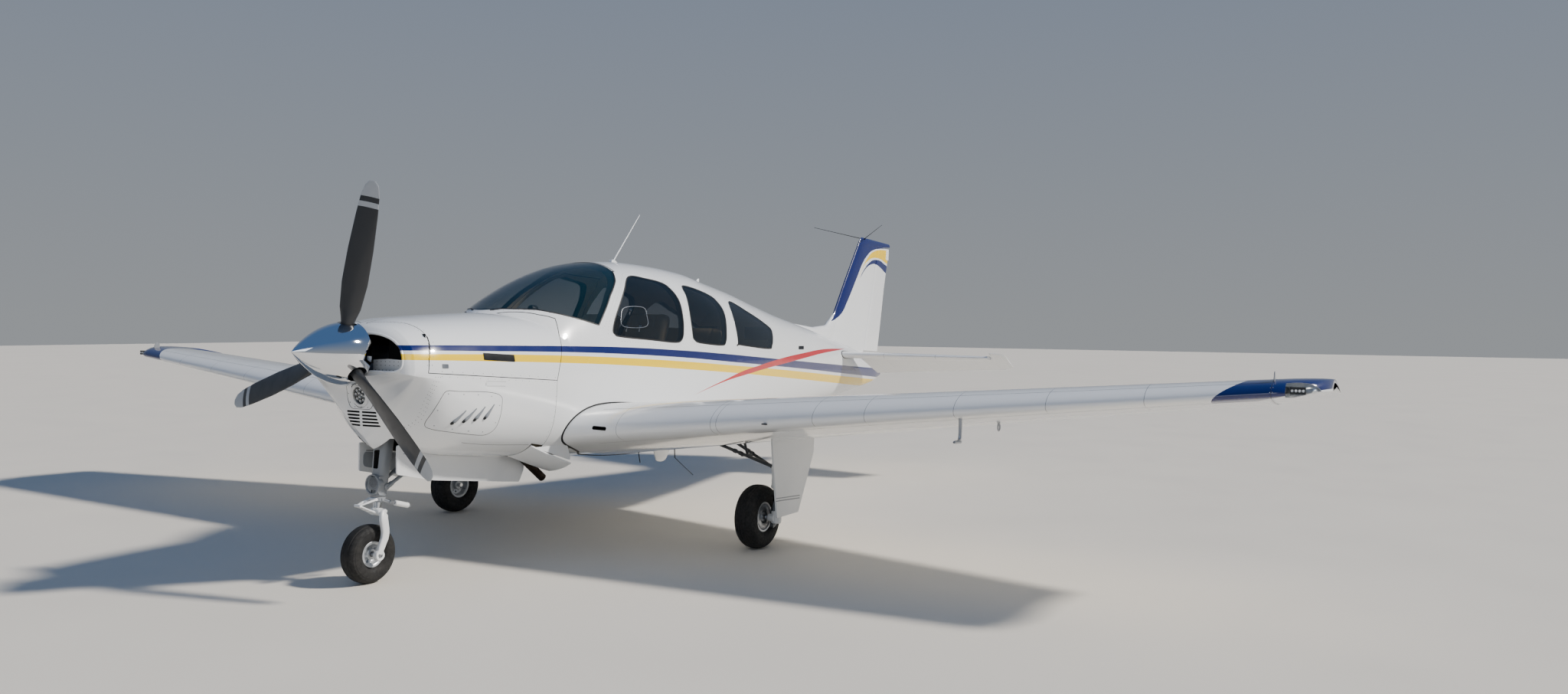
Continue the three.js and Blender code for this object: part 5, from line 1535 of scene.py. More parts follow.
            at = self.edge_at(2.0) + [0.004, 0, -0.016]
            shape = rounded(((-0.028, -0.004), (0.01, -0.006), (0.01, 0.004), (-0.028, 0.003)), 0.003, 3)
            tab = prism(shape + [at[0], at[2]], "xz", -2.012, -1.988)
            show("stall_vane", tab, "airframe", Kit.plate)

    def build(self) -> None:
        """Makes the panel, the tip, the moving surfaces and the seal at the root."""
        stations = np.concatenate([np.linspace(self.root_y, 0.7, 8), np.linspace(0.8, self.tip_joint - 0.0008, 40)])
        panel = loft(self.rings(stations))
        clear = CABIN.solid(CABIN_START, CABIN_END, -0.001, Face.RIM)
        clear = clear.plus(COWL.solid(COWL_START, COWL_END, -0.001, Face.RIM))
        low, high = span_y(self.side, 0.745, 0.855)
        vent = prism(rounded(((low, -0.452), (high, -0.449), (high, -0.424), (low, -0.427)), 0.012, 4), "yz", 1.6, 1.82,
                     Face.INNER)
        panel = panel.minus(clear, self.cove(self.flap), self.cove(self.aileron), vent).largest()
        paint = TipPaint("wing_white_paint", "eef0f1", joints_y=(0.93, 1.62, 1.66, 2.31, 2.64, 3.18, 3.7, 4.22))
        show(f"wing_skin_{self.name}", panel, "airframe", (paint, Kit.shade_lining, Kit.shade_lining),
             (f"wing_{self.name}",))
        self.tip()
        for kind, span in (("flap", self.flap), ("aileron", self.aileron)):
            surface = loft(self.moving_rings(np.linspace(span[0], span[1], 24)))
            ribs = Ribbed("ribbed_white_paint", "eef0f1")
            show(f"{kind}_skin_{self.name}", surface, f"{kind}_{self.name}", ribs,
                 (f"{kind}_{self.name}",), crease=50)
        self.fittings()
        line = self.root_line()
        normals = skin_normals(line)
        show(f"wing_root_seal_{self.name}", bent(line + normals * 0.001, normals, 0.0085, 0.005), "airframe",
             Kit.seal)


@dataclass(frozen=True)
class TipPaint(Paint):
    """White paint that turns blue towards the wing's tip, from a point on the leading edge's lower side."""

    starts_y: float = 4.55
    full_y: float = 4.76
    below: float = -0.034
    upper: float = -0.03
    rise: float = 0.13
    dihedral: float = math.radians(5.5)
    edge_z: float = -0.529

    def dress(self, graph: Graph) -> None:
        """Blue between two limits of the height over the leading edge; the upper one rises along the span."""
        super().dress(graph)
        colour = graph.colour()
        span = graph.math("ABSOLUTE", graph.level("y"))
        edge = graph.line(span, math.tan(self.dihedral), self.edge_z)
        height = graph.math("SUBTRACT", graph.level("z"), edge)
        share = graph.ramp(span, self.starts_y, self.full_y)
        rise = graph.math("POWER", share, 0.6)
        upper = graph.line(rise, self.rise, self.upper)
        top = graph.math("ADD", upper, graph.math("MULTIPLY", graph.math("GREATER_THAN", share, 0.98), 1.0))
        low = graph.ramp(span, self.full_y, 5.1, self.below, self.below + 0.045)
        blue = graph.inside(height, low, top)
        begun = graph.math("GREATER_THAN", span, self.starts_y)
        graph.set(Base_Color=graph.mix(graph.math("MULTIPLY", blue, begun), colour, linear("03165c")))


@dataclass(frozen=True)
class Ribbed(Paint):
    """Paint over a skin with shallow stamped ribs along the chord."""

    pitch: float = 0.11

    def dress(self, graph: Graph) -> None:
        """Bumps the paint with narrow valleys at an even pitch across the span."""
        phase = graph.math("FRACT", graph.math("DIVIDE", graph.level("y"), self.pitch))
        valley = graph.math("ABSOLUTE", graph.math("SUBTRACT", phase, 0.5))
        graph.bump(graph.ramp(valley, 0.0, 0.09), 0.0012)


# Tail


@dataclass
class Tail:
    """Stabilizers, elevators, fin and rudder."""

    inner: float = 0.09
    outer: float = 1.69
    horn_outer: float = 1.855
    root_le: float = 6.56
    tip_le: float = 6.815
    height: float = 0.165
    hinge: float = 6.95
    tails: tuple[float, float] = (0.5, 0.29)
    thick: float = 0.085
    elevator_inner: float = 0.215
    droop: float = math.radians(22)
    gap: float = 0.006
    fin_rows: tuple[tuple[float, ...], ...] = (
        (0.15, 6.4, 7.406, 7.812, 0.034), (0.42, 6.52, 7.48, 7.868, 0.031), (0.524, 6.627, 7.508, 7.89, 0.03),
        (0.974, 6.927, 7.63, 7.969, 0.025), (1.34, 7.187, 7.729, 8.06, 0.021), (1.464, 7.275, 7.763, 8.083, 0.019))
    cap_z: float = 1.464
    fin_top: float = 1.5
    dorsal_rows: tuple[tuple[float, ...], ...] = (
        (5.35, 0.48, 0.006, 0.012), (5.8, 0.452, 0.022, 0.045), (6.2, 0.436, 0.034, 0.09), (6.5, 0.47, 0.038, 0.19),
        (6.7, 0.62, 0.03, 0.33))
    aft_end: float = 8.068

    @staticmethod
    def fin_edge() -> Array:
        """The thin dark line just behind the fin's leading edge, as measured."""
        line = [[6.649, 0, 0.534], [6.818, 0, 0.751], [7.013, 0, 1.017], [7.19, 0, 1.268], [7.315, 0, 1.464]]
        return smooth_path(line, 6)

    @staticmethod
    def fixed_outline(leading: Array, end: Array, half: Array, steps: int = 26) -> tuple[Array, Array]:
        """Along and across of a fixed surface: round at the front, thickest at a third, blunt before the hinge."""
        u = 1 - np.cos(np.linspace(0, math.pi / 2, steps))
        rise = 1.25 * np.sin(math.pi / 2 * np.clip(u / 0.35, 0, 1) ** 0.5)
        crest = np.where(u > 0.35, 1.25 - 0.25 * ((u - 0.35) / 0.65) ** 2, rise)
        along_it = leading + (end - leading) * np.concatenate([u[::-1], u[1:]])
        return along_it, half * np.concatenate([crest[::-1], -crest[1:]])

    @staticmethod
    def moving_outline(hinge: Array, trailing: Array, half: Array) -> tuple[Array, Array]:
        """Along and across of a moving surface: a round nose about the hinge and a straight taper aft."""
        angle = np.linspace(math.pi / 2, 1.5 * math.pi, 17)
        share = np.linspace(1, 0, 8)[:-1]
        taper_x = hinge + (trailing - hinge) * share
        taper_y = half + (0.0015 - half) * share
        along_it = np.concatenate([taper_x, hinge + half * np.cos(angle), taper_x[:, ::-1]], 1)
        across = np.concatenate([taper_y, half * np.sin(angle), -taper_y[:, ::-1]], 1)
        return along_it, across

    def chord(self, y: Array) -> tuple[Array, Array, Array]:
        """Leading edge, length behind the hinge and half thickness at the hinge."""
        share = (y - self.inner) / (self.outer - self.inner)
        leading = self.root_le + (self.tip_le - self.root_le) * share
        tail = self.tails[0] + (self.tails[1] - self.tails[0]) * share
        return leading, tail, self.thick / 2 * 0.8 * (self.hinge - leading + tail)

    def stabilizer_rings(self, y: Array, side: float) -> Array:
        """Rings of the fixed surface."""
        leading, _, half = (v[:, None] for v in self.chord(y))
        x, z = self.fixed_outline(leading, self.hinge - half - self.gap, half)
        return grid(x, side * y[:, None], z + self.height)

    def root_line(self, side: float) -> Array:
        """Where the fixed surface's outline meets the tail cone: y is set to the hull's own, over and over."""
        y = np.full(51, 0.2)
        for _ in range(8):
            leading, _, half = self.chord(y)
            x, z = self.fixed_outline(leading[:, None], (self.hinge - half - self.gap)[:, None], half[:, None])
            line = np.stack([np.diagonal(x), side * y, np.diagonal(z) + self.height], -1)
            y = np.clip(CABIN.side(line[:, [0, 2]], 1.0)[:, 1], 0.08, 0.4)
        return line

    def turned(self, points: Array) -> Array:
        """Points drawn about the hinge at no droop, turned down by the droop and moved to the hinge."""
        cosine, sine = math.cos(self.droop), math.sin(self.droop)
        x, z = points[..., 0], points[..., 2]
        return np.stack([self.hinge + x * cosine + z * sine, points[..., 1], self.height + z * cosine - x * sine], -1)

    def elevators(self) -> Solid:
        """Both halves with their balance horns, on one tube."""
        parts: list[Solid] = []
        for side in SIDES.values():
            y = np.linspace(self.elevator_inner, self.outer + 0.01, 24)
            _, tail, half = (v[:, None] for v in self.chord(y))
            x, z = self.moving_outline(np.zeros_like(tail), tail, half)
            parts.append(loft(self.turned(grid(x, side * y[:, None], z))))
            share = np.linspace(0, 1, 12)[:, None]
            y = self.outer + 0.008 + (self.horn_outer - self.outer - 0.008) * share
            bow = np.sqrt(np.maximum(0, 1 - share**2.4))
            tail = self.chord(self.outer + 0 * y)[1] - 0.07 * (1 - bow)
            nose = -0.128 + 0.08 * (1 - bow) ** 1.2
            half = 0.004 + 0.010 * bow
            angle = turns(32)[None]
            centre, reach = (tail + nose) / 2, (tail - nose) / 2
            x = centre + reach * np.cos(angle)
            z = half * np.sin(angle) * np.sqrt(np.maximum(0.02, (1 - np.cos(angle)) / 2)) * 1.4
            parts.append(loft(self.turned(grid(x, side * y, z))))
        ends = self.turned(np.array([[0, -self.elevator_inner - 0.03, 0], [0, self.elevator_inner + 0.03, 0]]))
        parts.append(pin(ends[0], ends[1], 0.02, 28, Face.RIM))
        return parts[0].plus(*parts[1:])

    def fin_row(self, z: Array) -> Array:
        """Leading edge, hinge, trailing edge and half thickness at each height, by straight lines."""
        rows = np.array(self.fin_rows)
        return np.stack([np.interp(z, rows[:, 0], rows[:, k]) for k in range(1, 5)], -1)

    def fin(self) -> Solid:
        """The fin with its cap and the long dorsal fillet ahead of it."""
        z = np.concatenate([np.linspace(0.15, self.cap_z, 36), [1.478, 1.489, 1.497, self.fin_top]])
        leading, hinge, trailing, half = (v[:, None] for v in self.fin_row(z).T)
        over = np.clip((z[:, None] - self.cap_z) / (self.fin_top - self.cap_z), 0, 1)
        leading = leading + 0.055 * over**2
        hinge = hinge + 0.012 * over
        half = half * np.sqrt(np.maximum(1 - over**2 * 0.85, 0))
        end = np.where(z[:, None] > 1.446, trailing + 0.009 * over, hinge - half - self.gap)
        x, y = self.fixed_outline(leading, end, half)
        fin = loft(grid(x, y, z[:, None]))
        rows = np.array(self.dorsal_rows)
        stations = np.linspace(rows[0, 0], rows[-1, 0], 28)
        top, wide, depth = (np.interp(stations, rows[:, 0], rows[:, k])[:, None] for k in (1, 2, 3))
        angle = np.linspace(0, math.pi, 25)[None]
        arch_y, arch_z = -wide * np.cos(angle), top - depth * 0.4 * (1 - np.sin(angle))
        y = np.concatenate([arch_y, wide, -wide], 1)
        z = np.concatenate([arch_z, top - depth, top - depth], 1)
        dorsal = loft(grid(stations[:, None], y, z))
        clear = CABIN.solid(4.7, CABIN_END, -0.0002, Face.RIM)
        return fin.plus(dorsal).minus(clear)

    def rudder(self) -> Solid:
        """The rudder: a round nose about the hinge and a straight taper."""
        z = np.linspace(0.232, 1.44, 24)
        _, hinge, trailing, half = (v[:, None] for v in self.fin_row(z).T)
        x, y = self.moving_outline(hinge, trailing, half)
        return loft(grid(x, y, z[:, None]))

    def build(self) -> None:
        """Makes the tail's surfaces."""
        for name, side in SIDES.items():
            y = np.linspace(self.inner, self.outer, 24)
            fixed = loft(self.stabilizer_rings(y, side)).minus(CABIN.solid(4.7, CABIN_END, -0.001, Face.RIM))
            paint = Paint("tail_white_paint", "eef0f1", joints_y=(0.62, 1.16))
            show(f"stabilizer_skin_{name}", fixed.largest(), "airframe", (paint, Kit.shade_lining, Kit.shade_lining),
                 (f"stabilizer_{name}",), crease=50)
            line = self.root_line(side)
            normals = CABIN.normals(line)
            show(f"stabilizer_root_seal_{name}", bent(line + normals * 0.001, normals, 0.006, 0.004, closed=False),
                 "airframe", Kit.seal)
        ribs = Ribbed("ribbed_white_paint", "eef0f1")
        show("elevators_skin", self.elevators(), "elevators", (ribs, ribs, Kit.steel), ("elevators",),
             crease=50)
        fin = self.fin().within(slab(-FAR, self.aft_end))
        show("fin_skin", fin, "airframe", (Kit.fin_livery, Kit.fin_livery, Kit.shade_lining),
             ("fin",), crease=40)
        show("rudder_skin", self.rudder(), "rudder", (Kit.fin_livery, Kit.shade_lining, Kit.shade_lining),
             ("rudder",), crease=50)


# Propeller


@dataclass
class Propeller:
    """Spinner, hub and three blades, about the x axis of the level frame."""

    hub_x: float = 0.345
    radius: float = 1.022
    spinner_back: float = 0.398
    spinner_radius: float = 0.19
    phase: float = math.radians(-11.5)
    blades: int = 3
    rows: tuple[tuple[float, float, float, float], ...] = (
        (0.141, 0.036, 0.036, 30), (0.195, 0.04, 0.032, 32), (0.27, 0.062, 0.022, 32), (0.42, 0.078, 0.015, 28),
        (0.62, 0.08, 0.011, 22), (0.82, 0.072, 0.008, 18), (0.94, 0.062, 0.006, 16), (1.0, 0.044, 0.005, 15),
        (1.022, 0.02, 0.003, 15))

    def directions(self, index: int) -> tuple[Array, Array]:
        """The way a blade points and the way its leading edge turns, as y and z in the level frame."""
        angle = math.pi / 2 - self.phase - 2 * math.pi * index / self.blades
        out = np.array([0, math.cos(angle), math.sin(angle)])
        return out, np.array([0, math.sin(angle), -math.cos(angle)])

    def blade(self, index: int) -> Solid:
        """One blade: lens sections with a round root, turned by the blade angle and lofted outwards.

        Args:
            index: which blade.

        Returns:
            The blade's solid.
        """
        out, turning = self.directions(index)
        forward = np.array([-1.0, 0, 0])
        rows = np.array(self.rows)
        r = np.concatenate([np.linspace(0.141, 1.0, 54), 1.0 + 0.022 * np.sin(np.linspace(0.1, math.pi / 2, 8))])
        half, thick, pitch = (np.interp(r, rows[:, 0], rows[:, k])[:, None, None] for k in (1, 2, 3))
        pitch = np.radians(pitch)
        around = turns(36)[None, :, None]
        lead = turning * np.cos(pitch) + forward * np.sin(pitch)
        normal = forward * np.cos(pitch) - turning * np.sin(pitch)
        round_off = np.clip((r[:, None, None] - 0.2) / 0.15, 0, 1)
        bow = np.sin(around) * (1 - 0.28 * round_off * np.cos(around) ** 2)
        centre = np.array([self.hub_x, 0, 0]) + out * r[:, None, None]
        return loft(centre + lead * half * np.cos(around) + normal * thick * bow)

    def build(self) -> None:
        """Makes the spinner with its cutouts, back plate, hub and blades."""
        share = np.linspace(0.0, 1, 40) ** 1.6
        r = self.spinner_radius * (1 - (1 - share) ** 2)
        outer = np.stack([np.maximum(r, 0.0004), share * self.spinner_back], -1)
        inner_share = np.linspace(1, 0.4, 20)
        inner_r = (self.spinner_radius - 0.004) * (1 - (1 - inner_share) ** 2)
        inner = np.stack([inner_r, inner_share * self.spinner_back], -1)
        profile = np.concatenate([outer, inner, [[0.0004, self.spinner_back * 0.12]]])
        shell = Solid.made(*dome(profile, (0, 0, 0), (1, 0, 0), 128))
        centre = np.array([self.hub_x, 0, 0])
        ways = [self.directions(index)[0] for index in range(self.blades)]
        holes = [pin(centre + out * 0.05, centre + out * 0.4, 0.056, 48, Face.RIM) for out in ways]
        show("spinner_shell", shell.minus(*holes), "propeller", (Kit.chrome,) * 3,
             ("spinner",), crease=40)
        back = self.spinner_back
        plate = spun(((0.03, back - 0.008), (0.181, back - 0.008), (0.183, back - 0.006), (0.183, back - 0.003),
                      (0.181, back - 0.001), (0.03, back - 0.001)), (0, 0, 0), (1, 0, 0))
        core = rod((back - 0.002, 0, 0), (self.hub_x - 0.075, 0, 0), 0.078, 0.07, 48, 0.006)
        parts = [plate, core]
        for out in ways:
            parts.append(rod(centre + out * 0.04, centre + out * 0.14, 0.05, sides=40, edge=0.004))
            parts.append(rod(centre + out * 0.118, centre + out * 0.132, 0.0535, sides=40, edge=0.002))
        show("propeller_hub_casting", joined(parts), "propeller", Kit.casting,
             ("propeller_hub",))
        for index in range(self.blades):
            show(f"blade_{index + 1}_blank", self.blade(index), "propeller",
                 BladePaint("blade_paint", "26282b", 0.42, coat=0.3, wander=0.1),
                 (f"blade_{index + 1}",), crease=60)


@dataclass(frozen=True)
class BladePaint(Finish):
    """Charcoal blades with a light tip, a dark band and a light band, by the distance from the axis."""

    light: str = "a9adb1"
    tip_from: float = 0.93
    band: tuple[float, float] = (0.868, 0.9)

    def dress(self, graph: Graph) -> None:
        """Lays the bands over the charcoal by the radius from the propeller's axis."""
        colour = graph.colour()
        y, z = graph.level("y"), graph.level("z")
        radius = graph.math("SQRT", graph.math("ADD", graph.math("MULTIPLY", y, y), graph.math("MULTIPLY", z, z)))
        tip = graph.inside(radius, self.tip_from, 2.0)
        band = graph.inside(radius, *self.band)
        graph.set(Base_Color=graph.mix(graph.math("MAXIMUM", tip, band), colour, linear(self.light)))


# Landing gear


@dataclass
class Wheel:
    """A tyre on its wheel, both turned about the axle."""

    name: str
    body: str
    centre: tuple[float, float, float]
    radius: float
    width: float
    rim: float
    bore: float = 0.0168
    holes: int = 6
    grooves: tuple[float, ...] = (-0.4, -0.14, 0.14, 0.4)
    disc_side: float = 0.0

    def tyre(self) -> None:
        """The tyre: a superellipse section with grooves in the tread and raised lines on the walls."""
        half, mid = self.width / 2 * 0.985, (self.radius + self.rim) / 2
        rise = self.radius - mid
        angle = np.radians(np.linspace(-148, 148, 150))
        h = half * powered(np.sin(angle), 0.8)
        r = mid + rise * powered(np.cos(angle), 0.78)
        tread = np.cos(angle) > 0
        for at in self.grooves:
            r = r - 0.0042 * np.exp(-(((h - at * half) / 0.0028) ** 4)) * tread
        for at in (0.35, 0.55, 0.62):
            near = np.abs(r - (mid + rise * at)) < 0.0016
            h = h + np.sign(h) * 0.0011 * near * (np.abs(h) > 0.5 * half)
        inner_angle = np.radians(np.linspace(140, -140, 40))
        inner_h = half * 0.78 * powered(np.sin(inner_angle), 0.8)
        inner_r = mid + rise * 0.78 * powered(np.cos(inner_angle), 0.8)
        profile = np.concatenate([np.stack([r, h], -1), np.stack([inner_r, inner_h], -1)])
        show(f"tyre_carcass_{self.name}", spun(profile, self.centre, (0, 1, 0), 112), self.body, Kit.tyre,
             (f"tyre_{self.name}",), crease=50)

    def wheel(self) -> None:
        """The wheel: flanges, a dished web with round holes, a hub with its cap and a ring of bolts."""
        b, w = self.rim, self.width / 2
        side = [(b + 0.006, 0.60), (b + 0.010, 0.66), (b + 0.007, 0.70), (b - 0.003, 0.69), (b - 0.009, 0.62),
                (b - 0.012, 0.42), (b - 0.02, 0.2), (0.042, 0.13), (0.036, 0.2), (0.034, 0.5), (0.031, 0.54),
                (self.bore, 0.54)]
        profile = [(r, h * w) for r, h in side] + [(r, -h * w) for r, h in reversed(side)]
        profile += [(b - 0.004, -0.5 * w), (b - 0.004, 0.5 * w)]
        solid = Solid.made(*spun(profile, self.centre, (0, 1, 0), 96))
        x, y, z = self.centre
        ring = 0.5 * (b - 0.02 + 0.042)
        tools, bolts = [], []
        for k in range(self.holes):
            turn = 2 * math.pi * (k + 0.5) / self.holes
            at = (x + ring * math.cos(turn), z + ring * math.sin(turn))
            tools.append(pin((at[0], y - 0.1, at[1]), (at[0], y + 0.1, at[1]), 0.0085, 20))
            turn = 2 * math.pi * k / self.holes
            at = (x + 0.052 * math.cos(turn), z + 0.052 * math.sin(turn))
            bolts.append(rod((at[0], y - 0.22 * w, at[1]), (at[0], y + 0.22 * w, at[1]), 0.0055, sides=6,
                             edge=0.001))
        valve = rod((x + b * 0.72, y - 0.3 * w, z - b * 0.35), (x + b * 0.78, y - 0.68 * w, z - b * 0.38), 0.004,
                    sides=10, edge=0.001)
        show(f"wheel_rim_{self.name}", solid.minus(*tools), self.body, Kit.wheel,
             (f"wheel_{self.name}",), crease=35)
        show(f"wheel_bolts_{self.name}", joined([*bolts, valve]), self.body, Kit.steel)
        if self.disc_side:
            disc = [(0.046, 0.545), (0.082, 0.545), (0.084, 0.56), (0.084, 0.64), (0.082, 0.655), (0.046, 0.655)]
            flat = [(r, h * w * self.disc_side) for r, h in disc]
            show(f"brake_disc_{self.name}", spun(flat, self.centre, (0, 1, 0), 72), self.body, Kit.steel)

    def build(self) -> None:
        """Makes the tyre and the wheel."""
        self.tyre()
        self.wheel()


@dataclass
class MainGear:
    """One main leg with its links, braces, brake, door and wheel."""

    side: float
    name: str
    leg_x: float = 2.741
    leg_y: float = 1.6
    wheel_x: float = 2.721
    wheel_y: float = 1.46
    tyre_radius: float = 0.2225
    tyre_width: float = 0.16
    rim_radius: float = 0.095
    axle_z: float = -1.0498
    door: Outline = ((2.506, -0.42), (3.135, -0.42), (3.135, -0.6), (2.925, -1.02), (2.622, -1.035))
    door_y: tuple[float, float] = (1.662, 1.674)

    def at(self, x: float, y: float, z: float) -> Array:
        """A point given for the starboard side."""
        return np.array([x, self.side * y, z])

    def leg(self) -> None:
        """The strut: housing with collars, chromed piston, axle knuckle, torque links and the two braces."""
        top, x, y = -0.46, self.leg_x, self.leg_y
        housing = [rod(self.at(x, y, top), self.at(x, y, -0.846), 0.0435, 0.0395, 40, 0.003)]
        for z, radius in ((-0.6, 0.0465), (-0.705, 0.046), (-0.83, 0.0435)):
            housing.append(rod(self.at(x, y, z + 0.011), self.at(x, y, z - 0.011), radius, sides=40, edge=0.003))
        for high, low, radius, edge in ((-0.838, -0.852, 0.032, 0.003), (-1.003, -1.088, 0.036, 0.006)):
            housing.append(rod(self.at(x, y, high), self.at(x, y, low), radius, sides=32, edge=edge))
        housing.append(rod(self.at(x - 0.02, y + 0.002, self.axle_z), self.at(self.wheel_x, y - 0.05, self.axle_z),
                           0.03, 0.026, 28, 0.004))
        for z in (-0.845 + 0.02, -0.935 - 0.085):
            housing.append(rod(self.at(x + 0.02, y, z), self.at(x + 0.05, y, z), 0.014, sides=16, edge=0.002))
        show(f"main_leg_housing_{self.name}", joined(housing), "airframe", Kit.gear_paint,
             (f"main_leg_{self.name}",), crease=40)
        axle = rod(self.at(self.wheel_x, y - 0.05, self.axle_z), self.at(self.wheel_x, self.wheel_y - 0.075,
                                                                       self.axle_z), 0.0162, sides=24, edge=0.002)
        show(f"main_piston_{self.name}", joined([
            rod(self.at(x, y, -0.845), self.at(x, y, -1.01), 0.0262, sides=36), axle]), "airframe", Kit.piston)
        knee = self.at(2.858, y, -0.89)
        links = []
        for end in (self.at(x + 0.035, y, -0.822), self.at(x + 0.03, y, -1.015)):
            for offset in (-0.018, 0.018):
                shift = np.array([0, offset, 0])
                links.append(bar(np.linspace(end + shift, knee + shift * 0.6, 6), np.linspace(0.0125, 0.008, 6), 12,
                                 0.55))
        links.append(rod_across(knee, 0.026, 0.008, sides=14, edge=0.002))
        show(f"main_torque_links_{self.name}", joined(links), "airframe", Kit.gear_paint)
        braces = []
        for (x1, y1, z1), (x2, y2, z2) in (((x - 0.01, y - 0.02, -0.7), (2.6, 1.08, -0.52)),
                                          ((x + 0.01, y - 0.02, -0.715), (2.9, 1.08, -0.52))):
            a, b = self.at(x1, y1, z1), self.at(x2, y2, z2)
            braces.append(rod(a, b, 0.0115, sides=20))
            for share in (0.0, 0.46, 0.54):
                braces.append(rod(a + (b - a) * share, a + (b - a) * (share + 0.05), 0.0158, sides=20, edge=0.003))
        a, b = self.at(2.74, 1.35, -0.627), self.at(2.75, 1.3, -0.49)
        braces.append(rod(a, b, 0.0095, sides=16, edge=0.002))
        braces.append(rod(self.at(2.66, 1.35, -0.625), self.at(2.83, 1.35, -0.632), 0.0105, sides=16, edge=0.002))
        show(f"main_braces_{self.name}", joined(braces), "airframe", Kit.gear_dark)

    def brake(self) -> None:
        """The brake caliper on the knuckle, its hose and the clips that hold it."""
        y = self.leg_y - 0.052
        corners = rounded(((2.766, -1.13), (2.822, -1.11), (2.83, -1.02), (2.8, -0.965), (2.77, -0.99)), 0.012, 4)
        low, high = span_y(self.side, y - 0.012, y + 0.014)
        block = prism(corners, "xz", low, high)
        show(f"brake_caliper_{self.name}", block, "airframe", Kit.casting, crease=40)
        bolts = [rod(self.at(bx, y + 0.008, bz), self.at(bx, y + 0.021, bz), 0.0065, sides=6, edge=0.001)
                 for bx, bz in ((2.79, -1.1), (2.812, -1.05), (2.797, -0.995))]
        show(f"brake_bolts_{self.name}", joined(bolts), "airframe", Kit.steel)
        hose = smooth_path([self.at(2.8, y + 0.01, -0.985), self.at(2.825, y + 0.03, -0.93),
                            self.at(2.8, self.leg_y + 0.02, -0.86), self.at(2.772, self.leg_y + 0.035, -0.8),
                            self.at(2.762, self.leg_y + 0.04, -0.65), self.at(2.76, self.leg_y + 0.035, -0.5)], 10)
        show(f"brake_hose_{self.name}", bar(hose, 0.0042, 10, up=(0, 1, 0)), "airframe", Kit.hose)

    def door_panel(self) -> None:
        """The leg's door: a plate with rounded corners, cut along the wing, with two beads and its hinge rods."""
        low, high = span_y(self.side, *self.door_y)
        wing = Wing(self.side, self.name)
        skin = loft(wing.rings(np.linspace(1.2, 2.1, 6)))
        plate = prism(rounded(self.door, 0.012, 4), "xz", low, high, Face.OUTER).minus(skin).largest()
        show(f"leg_door_plate_{self.name}", plate, "airframe", (Kit.gear_paint,) * 3,
             (f"leg_door_{self.name}",), crease=40)
        face = self.side * (self.door_y[1] + 0.0004)
        beads = []
        for z in (-0.9, -0.918):
            line = np.array([[x, face, z - 0.012 * (x - 2.65)] for x in np.linspace(2.6, 2.935, 12)])
            normals = np.tile([0.0, self.side, 0.0], (12, 1))
            beads.append(bent(line, normals, 0.004, 0.0022, closed=False))
        show(f"leg_door_beads_{self.name}", joined(beads), "airframe", Kit.grey_paint_and_shade)
        inner = self.door_y[0]
        rods = [rod(self.at(2.76, inner, z), self.at(2.745, self.leg_y + 0.03, z), 0.008, sides=12, edge=0.001)
                for z in (-0.62, -0.8)]
        hinge = [rod(self.at(x, self.door_y[0] - 0.006, -0.436), self.at(x + 0.07, self.door_y[0] - 0.006, -0.436),
                     0.006, sides=12, edge=0.001) for x in (2.56, 2.68, 2.8, 2.92, 3.04)]
        show(f"leg_door_rods_{self.name}", joined([*rods, *hinge]), "airframe", Kit.steel)

    def build(self) -> None:
        """Makes the leg, brake, door and wheel."""
        self.leg()
        self.brake()
        self.door_panel()
        Wheel(f"main_{self.name}", f"main_wheel_{self.name}", (self.wheel_x, self.side * self.wheel_y, self.axle_z),
              self.tyre_radius, self.tyre_width, self.rim_radius, disc_side=self.side).build()


